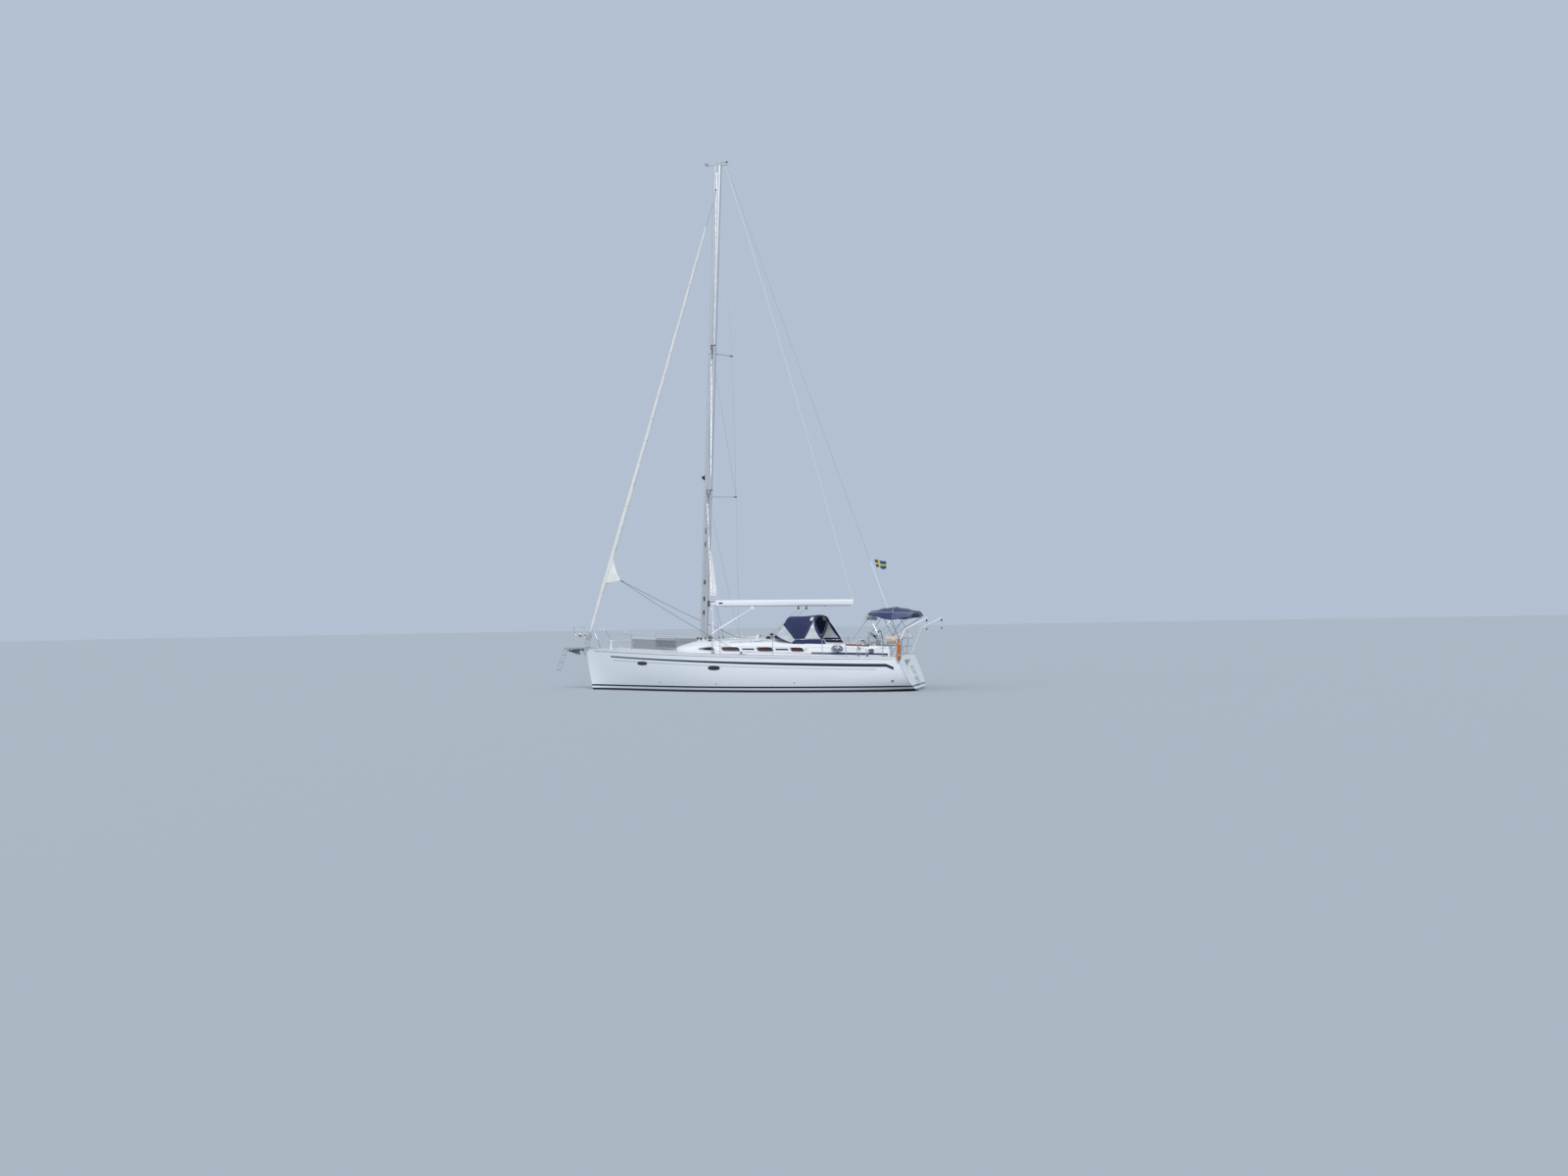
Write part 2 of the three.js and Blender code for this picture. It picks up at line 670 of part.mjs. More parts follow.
const recess = (grow) => panel([
  [-FAR, RECESS.low - grow],
  [DECK.sternX + RECESS.depth + grow, RECESS.low - grow],
  [DECK.sternX + RECESS.depth + grow, RECESS.high + grow],
  [-FAR, RECESS.high + grow],
], -RECESS.half - grow, RECESS.half + grow);
const stockHole = disc(RUDDER_STOCK.radius + RUDDER_STOCK.clearance, RUDDER_STOCK.low, FAR)
  .translate(RUDDER_STOCK.x, 0, 0);
const legHole = block(
  SAILDRIVE.x - SAILDRIVE.holeLength / 2, SAILDRIVE.x + SAILDRIVE.holeLength / 2,
  -SAILDRIVE.holeWidth / 2, SAILDRIVE.holeWidth / 2, SAILDRIVE.shaftZ, 0,
);

add('hull', cut(
  common(outer, deckSide(-DECK.thickness - GAP, false)),
  hullInside(0),
  recess(GAP),
  stockHole,
  legHole,
), GELCOAT);
add('transom_recess', cut(
  common(recess(0), outer, deckSide(-DECK.thickness - CLEAR, false)),
  recess(-RECESS.wall),
), GELCOAT);

// The deck, open over the cabin, the cockpit, the fore hatch and the anchor locker
const cabinHole = loft(steps(roofAft + 50, roofFore - 350, 8).map((x) => {
  const half = roofAt(x).half - ROOF.wall + CLEAR;
  return [P(x, -half, 0), P(x, half, 0), P(x, half, FAR), P(x, -half, FAR)];
}));
const cockpitHole = block(
  COCKPIT.aftX - CLEAR, COCKPIT.foreX + CLEAR, -COCKPIT.half - CLEAR, COCKPIT.half + CLEAR, 0, FAR,
);
const hatchHole = (surface, at) => plate(
  surface, at.aftX + HATCH.border, at.foreX - HATCH.border, at.half - HATCH.border, at.half - HATCH.border,
  -FAR, FAR,
);
const hatchFrame = (surface, at) => plate(
  surface, at.aftX + HATCH.frameInset, at.foreX - HATCH.frameInset, at.half - HATCH.frameInset,
  at.half - HATCH.frameInset, -HATCH.frameBelow, HATCH.frame,
);
const lockerHole = plate(
  deckLine, ANCHOR_LOCKER.aftX + ANCHOR_LOCKER.border, ANCHOR_LOCKER.foreX - ANCHOR_LOCKER.border,
  ANCHOR_LOCKER.aftHalf - ANCHOR_LOCKER.border, ANCHOR_LOCKER.foreHalf - ANCHOR_LOCKER.border, -FAR, FAR,
);
const deckPlate = common(outer, deckSide(-DECK.thickness, true), deckSide(0, false));
const foreFrame = common(hatchFrame(deckLine, FORE_HATCH), deckSide(-DECK.thickness, true));
add('deck', cut(
  join(deckPlate, foreFrame), cabinHole, cockpitHole, hatchHole(deckLine, FORE_HATCH), lockerHole,
), GELCOAT);

// Toe rail along both sides and across the stern
const railRing = (inset, foreX) =>
  steps(DECK.sternX + TOE_RAIL.aftInset, foreX, TOE_RAIL.pieces).map((x) => [x, deckHalf(x) - inset]);
const bothSides = (edge) => [...edge, ...[...edge].reverse().map(([x, y]) => [x, -y])];
const railOutline = bothSides(railRing(TOE_RAIL.inset, TOE_RAIL.foreX));
const railInside = railRing(TOE_RAIL.inset + TOE_RAIL.width, TOE_RAIL.foreX + 50);
railInside[0][0] += TOE_RAIL.width;
add('toe_rail', cut(
  common(flatPlate(railOutline, 0, FAR), deckSide(GAP, true), deckSide(TOE_RAIL.height, false)),
  flatPlate(bothSides(railInside), -FAR, FAR),
), STEEL);

// The mast's own frame, which leans aft
const spar = new THREE.Group();
spar.position.set(MAST.footX, 0, MAST.footZ);
spar.rotation.y = -MAST.rake;
yacht.add(spar);
spar.updateMatrixWorld(true);

const up = (z) => (z - MAST.footZ) / Math.cos(MAST.rake);
const onMast = (x, y, z) => spar.localToWorld(P(x, y, up(z)));
const mastLength = up(MAST.topZ);

// Coachroof with its windows, the companionway, the mast step and the saloon hatch's frame
const bandMiddle = (x) => {
  const u = (x - WINDOW_BAND.aftX) / (WINDOW_BAND.foreX - WINDOW_BAND.aftX);
  return WINDOW_BAND.aftMiddle + (WINDOW_BAND.foreMiddle - WINDOW_BAND.aftMiddle) * u;
};
const windowHalf = WINDOW_BAND.half - WINDOW_BAND.margin;
const windowCuts = WINDOW_ROWS.map(([fore, aft, slope]) => panel([
  [fore, bandMiddle(fore) - windowHalf],
  [fore - slope, bandMiddle(fore) + windowHalf],
  [aft, bandMiddle(aft) + windowHalf],
  [aft, bandMiddle(aft) - windowHalf],
], -FAR, FAR));
const mastStep = block(-MAST_STEP.aft, MAST_STEP.fore, -MAST_STEP.half, MAST_STEP.half, -MAST_STEP.depth, 0)
  .applyMatrix4(spar.matrixWorld);
const hatchRail = plate(
  crown, roofAft + 10, SLIDING_HATCH.railForeX, SLIDING_HATCH.railHalf, SLIDING_HATCH.railHalf,
  -2 * SLIDING_HATCH.railHeight, SLIDING_HATCH.railHeight,
);
const hatchRails = [-1, 1].map((side) =>
  hatchRail.clone().translate(0, side * (SLIDING_HATCH.half + SLIDING_HATCH.railHalf + 8), 0));
const roofShell = join(
  cut(
    house(roofAt, roofAft, roofFore, 0, ROOF.stations),
    house(roofAt, roofAft + ROOF.wall, roofFore - ROOF.noseWall, ROOF.wall, ROOF.innerStations),
    ...windowCuts,
  ),
  mastStep,
  ...hatchRails,
  common(hatchFrame(crown, SALOON_HATCH), house(roofAt, roofAft, roofFore, -HATCH.frame, ROOF.stations)),
);
add('coachroof', cut(
  roofShell,
  deckSide(GAP, false),
  hatchHole(crown, SALOON_HATCH),
  block(roofAft - 60, COMPANIONWAY.foreX, -COMPANIONWAY.half, COMPANIONWAY.half, COMPANIONWAY.sill, FAR),
), GELCOAT);

// Window strips: each follows the coachroof's side and covers four openings
const sideWallY = (x, z) => {
  const { half, shoulder } = roofAt(x);
  const low = deckZ(x, half);
  return half - (ROOF.lean * (z - low)) / (shoulder - ROOF.shoulder - low);
};
const stripRows = steps(WINDOW_BAND.foreX, WINDOW_BAND.aftX, WINDOW_BAND.pieces).map((x, i) => {
  const reach = i === 0 ? WINDOW_BAND.tip : WINDOW_BAND.half;
  const heights = [bandMiddle(x) - reach, bandMiddle(x) + reach];
  return heights.map((z) => P(x, sideWallY(x, z) + WINDOW_BAND.off + WINDOW_BAND.glass, z));
});
const strip = sheet(stripRows, WINDOW_BAND.glass);
const roofSkin = house(roofAt, roofAft, roofFore, -2, ROOF.stations);
for (const [name, side] of SIDES) {
  add(`window_strip_${name}`, cut(onSide(strip, side), roofSkin), DARK_GLASS);
}

// Cockpit: well, seats, helm seat and coamings in one moulding

// A block on each side of the centreline, from an inner to an outer distance.
const pairOfBlocks = (x0, x1, inner, outside, z0, z1) => [
  block(x0, x1, inner, outside, z0, z1),
  block(x0, x1, -outside, -inner, z0, z1),
];

const { foreX, aftX, half, sole, seat, wall, seatHalf, helmForeX, helmAftX, helmHalf, wellHalf } = COCKPIT;
const coamings = common(house(coamingAt, foreX, aftX, 0, COAMING_STATIONS), deckSide(GAP, true));
const underSeat = seat - wall;
const lockerFloor = sole - COCKPIT.shell - CLEAR;
add('cockpit', cut(
  join(coamings, block(aftX, foreX, -half, half, sole - COCKPIT.shell, COCKPIT.rim)),
  block(aftX + wall, foreX - wall, -seatHalf, seatHalf, seat, FAR),
  block(aftX + wall, FAR, -seatHalf, seatHalf, COCKPIT.sill, FAR),
  block(helmForeX - 50, foreX - wall, -wellHalf, wellHalf, sole, FAR),
  block(helmAftX, helmForeX, -helmHalf, helmHalf, sole, FAR),
  ...pairOfBlocks(helmForeX + wall, foreX - wall * 2, wellHalf + wall, half - wall, lockerFloor, underSeat),
  block(aftX + wall, helmAftX - wall, -helmHalf, helmHalf, lockerFloor, underSeat),
  ...pairOfBlocks(
    SEAT_LOCKER.aftX + SEAT_LOCKER.border, SEAT_LOCKER.foreX - SEAT_LOCKER.border,
    SEAT_LOCKER.inner + SEAT_LOCKER.border, SEAT_LOCKER.outer - SEAT_LOCKER.border, sole, FAR,
  ),
), GELCOAT);

// Lids, doors and hatches
const hatchLid = (surface, at) =>
  plate(surface, at.aftX, at.foreX, at.half, at.half, HATCH.frame + CLEAR, HATCH.frame + CLEAR + HATCH.lid);
add('fore_hatch', hatchLid(deckLine, FORE_HATCH), DARK_GLASS);
add('saloon_hatch', hatchLid(crown, SALOON_HATCH), DARK_GLASS);
add('anchor_locker_lid', plate(
  deckLine, ANCHOR_LOCKER.aftX, ANCHOR_LOCKER.foreX, ANCHOR_LOCKER.aftHalf, ANCHOR_LOCKER.foreHalf,
  CLEAR, CLEAR + ANCHOR_LOCKER.lid,
), GELCOAT);
add('companionway_hatch', plate(
  crown, SLIDING_HATCH.aftX, SLIDING_HATCH.foreX, SLIDING_HATCH.half, SLIDING_HATCH.half,
  SLIDING_HATCH.under, SLIDING_HATCH.over,
), DARK_GLASS);
for (const [name, side] of SIDES) {
  const door = block(DOOR.aftX, DOOR.foreX, DOOR.inner, DOOR.outer, COMPANIONWAY.sill + CLEAR, DOOR.top);
  add(`companionway_door_${name}`, onSide(door, side), TEAK);
  const lid = block(
    SEAT_LOCKER.aftX, SEAT_LOCKER.foreX, SEAT_LOCKER.inner, SEAT_LOCKER.outer,
    seat + CLEAR, seat + CLEAR + SEAT_LOCKER.lid,
  );
  add(`locker_lid_${name}`, onSide(lid, side), TEAK);
}

// Below the water: keel with its bulb, rudder with its stock, saildrive and propeller

// A foil's section: a round nose, the thickest part a third of the way back, a thin tail.
function foilRing(z, leading, trailing, thickness) {
  const along = (i) => 0.5 - 0.5 * Math.cos((Math.PI * i) / FOIL_POINTS);
  const halfAt = (u) =>
    thickness * (1.4845 * Math.sqrt(u) - 0.63 * u - 1.758 * u * u + 1.4215 * u ** 3 - 0.5 * u ** 4);
  const upper = Array.from({ length: FOIL_POINTS + 1 }, (_, i) => P(
    leading + (trailing - leading) * along(i),
    Math.max(halfAt(along(i)), i === 0 ? 0 : 3),
    z,
  ));
  return [...upper, ...upper.slice(1).reverse().map((p) => P(p.x, -p.y, p.z))];
}

const keelFin = loft(KEEL_ROWS.map((row) => foilRing(...row)));
const bulb = loft(steps(0, 1, BULB.sections).map((u) => {
  const girth = Math.max(Math.sqrt(Math.sin(Math.PI * u ** 0.8)), BULB.tip);
  const x = BULB.noseX + (BULB.tailX - BULB.noseX) * u;
  return circle(girth, 12).map((p) => P(x, p.x * BULB.half, BULB.z + p.y * BULB.height));
}));
add('keel', cut(join(keelFin, bulb), hullBody(-GAP)), ANTIFOULING);

const stock = disc(RUDDER_STOCK.radius, RUDDER_STOCK.low, RUDDER_STOCK.top).translate(RUDDER_STOCK.x, 0, 0);
add('rudder', join(loft(RUDDER_ROWS.map((row) => foilRing(...row))), stock), ANTIFOULING);

const legRing = (z, chord) =>
  foilRing(z, SAILDRIVE.x + chord / 2, SAILDRIVE.x - chord / 2, SAILDRIVE.thickness);
const leg = loft([
  legRing(SAILDRIVE.top, SAILDRIVE.chord),
  legRing(SAILDRIVE.shaftZ + 60, SAILDRIVE.chord),
  legRing(SAILDRIVE.shaftZ - 90, SAILDRIVE.tipChord),
]);
const gearcase = disc(SAILDRIVE.pod, SAILDRIVE.podAftX, SAILDRIVE.podForeX)
  .rotateY(Math.PI / 2)
  .translate(0, 0, SAILDRIVE.shaftZ);
const drivePlate = common(
  block(
    SAILDRIVE.x - SAILDRIVE.plateAft, SAILDRIVE.x + SAILDRIVE.plateFore,
    -SAILDRIVE.plateHalf, SAILDRIVE.plateHalf, -FAR, SAILDRIVE.plateTop,
  ),
  hullInside(1),
);
add('saildrive', join(leg, gearcase, drivePlate), SILVER);

// A propeller blade from its root to its tip, turned less and less towards the tip.
const blade = loft(steps(0.12, 1, 6).map((u) => {
  const chord = PROPELLER.chord * Math.sin(Math.PI * (0.25 + 0.65 * u)) + 10;
  const turn = Math.atan2(PROPELLER.pitch, 1.6 * u);
  return circle(1, 8).map((p) => {
    const [along, thick] = [(p.x * chord) / 2, p.y * (9 - 6 * u)];
    return P(
      PROPELLER.radius * u,
      along * Math.cos(turn) - thick * Math.sin(turn),
      along * Math.sin(turn) + thick * Math.cos(turn),
    );
  });
}));
const blades = Array.from({ length: PROPELLER.blades }, (_, i) =>
  blade.clone().rotateZ((2 * Math.PI * i) / PROPELLER.blades));
add('propeller', join(disc(PROPELLER.hub, -PROPELLER.hubLength / 2, PROPELLER.hubLength / 2), ...blades)
  .rotateY(Math.PI / 2)
  .translate(PROPELLER.x, 0, SAILDRIVE.shaftZ), BRONZE);

// Inside: the engine as one block, and the cabin sole with its bunks and steps
add('engine', block(
  ENGINE.aftX, ENGINE.foreX, -ENGINE.half, ENGINE.half, ENGINE.low, ENGINE.high,
), GREEN_PAINT);
const stairs = STAIR_ROWS.map(([x, z]) =>
  block(x, x + STAIR_TREAD, -CABIN.stair, CABIN.stair, CABIN.soleZ, z));
add('cabin_furniture', common(
  join(
    block(CABIN.aftX, CABIN.foreX, -CABIN.aisle, CABIN.aisle, CABIN.soleZ, CABIN.soleZ + CABIN.board),
    ...pairOfBlocks(
      CABIN.aftX, CABIN.foreX, CABIN.aisle, CABIN.aisle + CABIN.board, CABIN.soleZ, CABIN.bunkZ,
    ),
    ...pairOfBlocks(
      CABIN.aftX, CABIN.foreX, CABIN.aisle, CABIN.reach, CABIN.bunkZ, CABIN.bunkZ + CABIN.board,
    ),
    ...stairs,
  ),
  hullInside(CLEAR),
), TEAK);

// Mast and what stands on it

// The mast's section, with the slot that the mainsail comes out of unless the section is grown.
function mastOutline(grow) {
  const oval = roundedBox(MAST.chord / 2 + grow, MAST.width / 2 + grow, MAST.square, 20)
    .map((p) => [p.x, p.y]);
  if (grow > 0) return oval;
  const back = -MAST.chord / 2;
  const slot = [
    [back + MAST_SLOT.lip, MAST_SLOT.half],
    [back + MAST_SLOT.depth, MAST_SLOT.half],
    [back + MAST_SLOT.depth, -MAST_SLOT.half],
    [back + MAST_SLOT.lip, -MAST_SLOT.half],
  ];
  return [...oval.slice(0, 10), ...slot, ...oval.slice(10)];
}

const stayFoot = P(FORESTAY.footX, 0, FORESTAY.footZ);
const stayHead = P(FORESTAY.headX, 0, FORESTAY.headZ);
const stayAxis = stayHead.clone().sub(stayFoot).normalize();
const staySide = P(stayAxis.z, 0, -stayAxis.x);
const onStay = (u) =>
  stayFoot.clone().lerp(stayHead, u).addScaledVector(staySide, -FORESTAY.sag * 4 * u * (1 - u));
const stayEnd = onStay(FORESTAY.end);

const mastBody = (grow, low, high) => flatPlate(mastOutline(grow), low, high);
const mastRoom = mastBody(GAP, -CLEAR, mastLength + CLEAR);
const vangTang = block(
  -GOOSENECK.pinAft - 20, -MAST.chord / 3, -26, 26, up(VANG.footZ) - 80, up(VANG.footZ) - 45,
);
const tangLow = up(stayEnd.z) + TANG.over;
const stayTang = block(TANG.aft, TANG.fore, -TANG.half, TANG.half, tangLow, tangLow + TANG.height);
add('mast', join(mastBody(0, GAP, mastLength), vangTang, stayTang), SILVER, spar);

const craneLow = mastLength + GAP;
const craneHigh = craneLow + CRANE.height;
add('masthead_crane', join(
  block(CRANE.aft, CRANE.fore, -CRANE.half, CRANE.half, craneLow, craneHigh),
  block(
    CRANE.fore - 10, CRANE.armFore, -CRANE.armHalf, CRANE.armHalf,
    craneLow + CRANE.armLow, craneLow + CRANE.armHigh,
  ),
  disc(CRANE.lamp, craneHigh - CLEAR, craneHigh + CRANE.lampHeight, 12).translate(CRANE.lampX, 0, 0),
), SILVER, spar);

// Each pair of spreaders is joined by a collar round the mast.
const spreaders = SPREADER_ROWS.map(([level, height, span, sweep, rise]) => {
  const [away, lift] = [degToRad(sweep), degToRad(rise)];
  const way = P(-Math.sin(away) * Math.cos(lift), Math.cos(away) * Math.cos(lift), Math.sin(lift));
  const tip = (side) => {
    const end = way.clone().multiplyScalar(span);
    return spar.localToWorld(P(end.x, side * end.y, up(height) + end.z));
  };
  return { level, height, span, away, way, tip };
});
for (const { level, height, span, away, way } of spreaders) {
  const root = up(height);
  const arm = loft(SPREADER_SECTIONS.map(([u, chord, depth]) => circle(1, 10).map((p) => P(
    way.x * span * u + p.x * chord * Math.cos(away),
    way.y * span * u + p.x * chord * Math.sin(away),
    root + way.z * span * u + p.y * depth,
  ))));
  const collar = mastBody(SPREADER.collar, root - SPREADER.below, root + SPREADER.above);
  add(`spreaders_${level}`, cut(join(arm, onSide(arm, -1), collar), mastRoom), SILVER, spar);
}

// Each side's shrouds meet in the chainplate and in a clamp at the tip of the lower spreader.
const wire = (from, to, radius = SHROUD.radius) => tube([from, to], radius, { sides: SHROUD.sides });
const besideMast = (side, z) => onMast(0, side * (MAST.width / 2 + SHROUD.radius * 2), z);
for (const [name, side] of SIDES) {
  const [low, high] = spreaders.map(({ tip }) => tip(side));
  const deckAt = deckZ(SHROUD.capX, SHROUD.y) + 4;
  const anchorZ = deckAt + SHROUD.plate / 2;
  const chainplate = block(
    SHROUD.lowerX - 30, SHROUD.capX + 30, SHROUD.y - 8, SHROUD.y + 8, deckAt, deckAt + SHROUD.plate,
  );
  const cap = [P(SHROUD.capX, side * SHROUD.y, anchorZ), low, high, besideMast(side, SHROUD.headZ)];
  const [lowerHead, middleHead] = spreaders.map(({ height }) => besideMast(side, height - SHROUD.drop));
  add(`shrouds_${name}`, join(
    onSide(chainplate, side),
    block(-15, 15, -15, 15, -30, 30).translate(...low.toArray()),
    tube(cap, SHROUD.radius, { bend: 0 }),
    wire(P(SHROUD.lowerX, side * SHROUD.y, anchorZ), lowerHead),
    wire(P(low.x, low.y - side * 8, low.z + 22), middleHead),
  ), STEEL);
}

// Forestay with its drum, and the genoa rolled round it
const stayTurn = new THREE.Quaternion().setFromUnitVectors(P(0, 0, 1), stayAxis);
const turnedOnStay = (rows) => loft(rows.map(([u, radius]) =>
  circle(radius, FORESTAY.sides).map((p) => P(p.x, p.y, 0).applyQuaternion(stayTurn).add(onStay(u)))));
const stayRun = (from, to, radius) =>
  turnedOnStay(steps(from, to, FORESTAY.pieces).map((u) => [u, radius]));
add('forestay', turnedOnStay([
  [0, FORESTAY.radius],
  [DRUM.from, FORESTAY.radius],
  [DRUM.from + DRUM.lip, DRUM.radius],
  [DRUM.to - DRUM.lip, DRUM.radius],
  [DRUM.to, FORESTAY.radius],
  ...steps(0.1, FORESTAY.end, FORESTAY.pieces).map((u) => [u, FORESTAY.radius]),
]), BLACK);
const [genoaLow, genoaHigh] = [GENOA_ROWS[0][0] - 0.01, GENOA_ROWS.at(-1)[0] + 0.01];
add('furled_genoa', cut(turnedOnStay(GENOA_ROWS), stayRun(genoaLow, genoaHigh, GENOA_BORE)), SAILCLOTH);

// Boom with its vang and topping lift, which swing together about a line along the mast's lean
const pinAt = up(GOOSENECK.z);
const pin = spar.localToWorld(P(-GOOSENECK.pinAft, 0, pinAt));
const pinEnd = (over) => P(pin.x, 0, pin.z + over);
const boomRing = (x, z) =>
  roundedBox(BOOM.width / 2, BOOM.height / 2, BOOM.square, 16).map((p) => P(x, p.x, z + p.y));
add('boom', join(
  loft([boomRing(BOOM.foreX, BOOM.foreZ), boomRing(BOOM.aftX, BOOM.aftZ)]),
  tube([pinEnd(-GOOSENECK.toggle), pinEnd(GOOSENECK.toggle)], GOOSENECK.toggleRadius, { sides: 12 }),
  block(BOOM.foreX - CLEAR, pin.x - CLEAR, -22, 22, pin.z - 40, pin.z + 40),
), WHITE_PAINT);
const [lugInner, lugOuter] = [
  GOOSENECK.toggle + GOOSENECK.gap, GOOSENECK.toggle + GOOSENECK.gap + GOOSENECK.lug,
];
const lug = (low, high) => block(
  -GOOSENECK.pinAft - 30, -MAST.chord / 3, -GOOSENECK.half, GOOSENECK.half, pinAt + low, pinAt + high,
);
add('gooseneck', cut(
  join(
    lug(lugInner, lugOuter),
    lug(-lugOuter, -lugInner),
    block(
      -MAST.chord / 2 - 25, -MAST.chord / 3, -GOOSENECK.half, GOOSENECK.half,
      pinAt - GOOSENECK.plateHalf, pinAt + GOOSENECK.plateHalf,
    ),
  ),
  mastRoom,
), BLACK, spar);

const boomUnder = (x) => {
  const u = (x - BOOM.foreX) / (BOOM.aftX - BOOM.foreX);
  return BOOM.foreZ + (BOOM.aftZ - BOOM.foreZ) * u - BOOM.height / 2;
};
const vangFoot = onMast(-GOOSENECK.pinAft, 0, VANG.footZ);
const vangHead = P(VANG.headX, 0, VANG.headZ);
const onVang = (u) => vangFoot.clone().lerp(vangHead, u);
add('vang', join(
  tube([onVang(0), onVang(VANG.lapTo)], VANG.radius, { sides: 10 }),
  tube([onVang(VANG.lapFrom), onVang(1)], VANG.rodRadius, { sides: 10 }),
  block(
    VANG.headX - 60, VANG.headX + 60, -18, 18, VANG.headZ - 25, boomUnder(VANG.headX - 60) - 3 * GAP,
  ),
), WHITE_PAINT);

const liftTop = spar.localToWorld(P(-GOOSENECK.pinAft, 0, mastLength - LIFT.headBelow));
const liftFoot = P(BOOM.aftX + LIFT.inset, 0, BOOM.aftZ + BOOM.height / 2 + LIFT.over);
const liftPath = steps(0, 1, LIFT.pieces).map((u) => {
  const sag = LIFT.sag * 4 * u * (1 - u);
  return liftTop.clone().lerp(liftFoot, u).add(P(-sag, 0, -sag * LIFT.sagSlope));
});
add('topping_lift', tube(liftPath, LIFT.radius, { bend: 0 }), WHITE_PAINT);

const clewOutline = CLEW_ROWS.map(([aft, z]) => [-aft, up(z)]);
add('mainsail_clew', panel(clewOutline, -CLEW_HALF, CLEW_HALF), SAILCLOTH, spar);

// Backstay from the crane to the stern
const backstayTop = spar.localToWorld(P(CRANE.stayAft, 0, mastLength - 2));
const backstayFoot = P(BACKSTAY_FOOT_X, 0, deckZ(BACKSTAY_FOOT_X, 0) - 10);
add('backstay', onDeck(wire(backstayTop, backstayFoot)), STEEL);

// Rails: pulpit, pushpit, lifelines with their posts

const railPoint = (x, lift, side) => {
  const y = deckHalf(x) - RAIL.inset;
  return P(x, side * y, deckZ(x, y) + lift);
};
const post = (foot, head, radius = RAIL.tube) => tube([foot, head], radius);

const platformOutline = (grow) => [
  [PLATFORM.aftX - grow, PLATFORM.low - grow],
  [PLATFORM.kneeX, PLATFORM.low - grow],
  [PLATFORM.foreX + grow, PLATFORM.foreLow - grow],
  [PLATFORM.foreX + grow, PLATFORM.high + grow],
  [PLATFORM.aftX - grow, PLATFORM.high + grow],
];
const platformPlank = (grow) => panel(platformOutline(grow), -PLATFORM.half - grow, PLATFORM.half + grow);
for (const [name, side] of SIDES) {
  const path = tube(PULPIT_ROWS.map(([x, y, z]) => P(x, side * y, z)), RAIL.tube, { bend: PULPIT_BEND });
  add(`pulpit_${name}`, cut(onDeck(path), platformPlank(GAP)), STEEL);
}

// The rail leans aft a little across the stern.
const sternPoint = (y, lift) => P(PUSHPIT.sternX - PUSHPIT.lean * lift, y, PUSHPIT.sternZ + lift);
const sternRail = (lift) => {
  const path = (side) => [
    railPoint(PUSHPIT.foreX, lift, side),
    railPoint(PUSHPIT.cornerX, lift, side),
    sternPoint(side * PUSHPIT.sternY, lift),
  ];
  return tube([...path(1), ...path(-1).reverse()], RAIL.tube, { bend: RAIL.bend });
};
const pushpitPosts = SIDES.flatMap(([, side]) => [
  ...[PUSHPIT.foreX, PUSHPIT.postX].map((x) =>
    post(railPoint(x, -RAIL.into, side), railPoint(x, RAIL.height, side))),
  post(sternPoint(side * PUSHPIT.postY, -2 * RAIL.into), sternPoint(side * PUSHPIT.postY, RAIL.height)),
]);
// A bent arm from the rail carries the webbing reel on its end.
const reelSpindle = tube([
  railPoint(REEL.foreX + REEL.arm, RAIL.height, 1),
  P(REEL.foreX + REEL.arm, REEL.y, REEL.z),
  P(REEL.foreX - REEL.length - 20, REEL.y, REEL.z),
], REEL.rod, { bend: 20 });
add('pushpit', onDeck(join(
  sternRail(RAIL.height), sternRail(RAIL.middle), ...pushpitPosts, reelSpindle,
)), STEEL);

for (const [name, side] of SIDES) {
  const posts = STANCHION_X.map((x) =>
    post(railPoint(x, -RAIL.into, side), railPoint(x, RAIL.height, side), RAIL.post));
  const wires = [LIFELINE.upper, LIFELINE.middle].map((lift, i) => {
    const [x, y, z] = LIFELINE_ENDS[i];
    const path = [...STANCHION_X, LIFELINE.aftX].map((at) => railPoint(at, lift, side));
    return tube([P(x, side * y, z), ...path], RAIL.wire, { bend: 0 });
  });
  add(`lifelines_${name}`, onDeck(join(...posts, ...wires)), STEEL);
  const [netFore, netAft] = STANCHION_X.map((x) => railPoint(x, 0, side));
  const net = [NET.from, NET.to].map((u) => [NET.low, NET.high].map((lift) =>
    netFore.clone().lerp(netAft, u).add(P(0, -side * NET.inset, lift))));
  add(`foredeck_net_${name}`, sheet(net, NET.thickness), NET_CLOTH);
}

// Bow: platform with its struts, anchor and ladder
const platformStruts = [-1, 1].map((side) => post(
  P(STRUT.footX, side * STRUT.y, STRUT.footZ), P(STRUT.headX, side * STRUT.y, STRUT.headZ), STRUT.radius,
));
add('bow_platform', cut(
  join(platformPlank(0), ...platformStruts),
  hullBody(-GAP),
  stayRun(-0.01, 0.01, FORESTAY.radius + 3),
), TEAK);

const plough = loft(PLOUGH_ROWS.map(([x, ridge, wing, edge]) => [
  P(x, 0, ridge),
  P(x, wing, edge),
  P(x, wing - Math.min(PLOUGH_THICKNESS, wing / 2), edge - 6),
  P(x, 0, ridge - PLOUGH_THICKNESS),
  P(x, Math.min(PLOUGH_THICKNESS, wing / 2) - wing, edge - 6),
  P(x, -wing, edge),
]));
add('anchor', cut(join(panel(SHANK_ROWS, -SHANK_HALF, SHANK_HALF), plough), platformPlank(GAP)), STEEL);

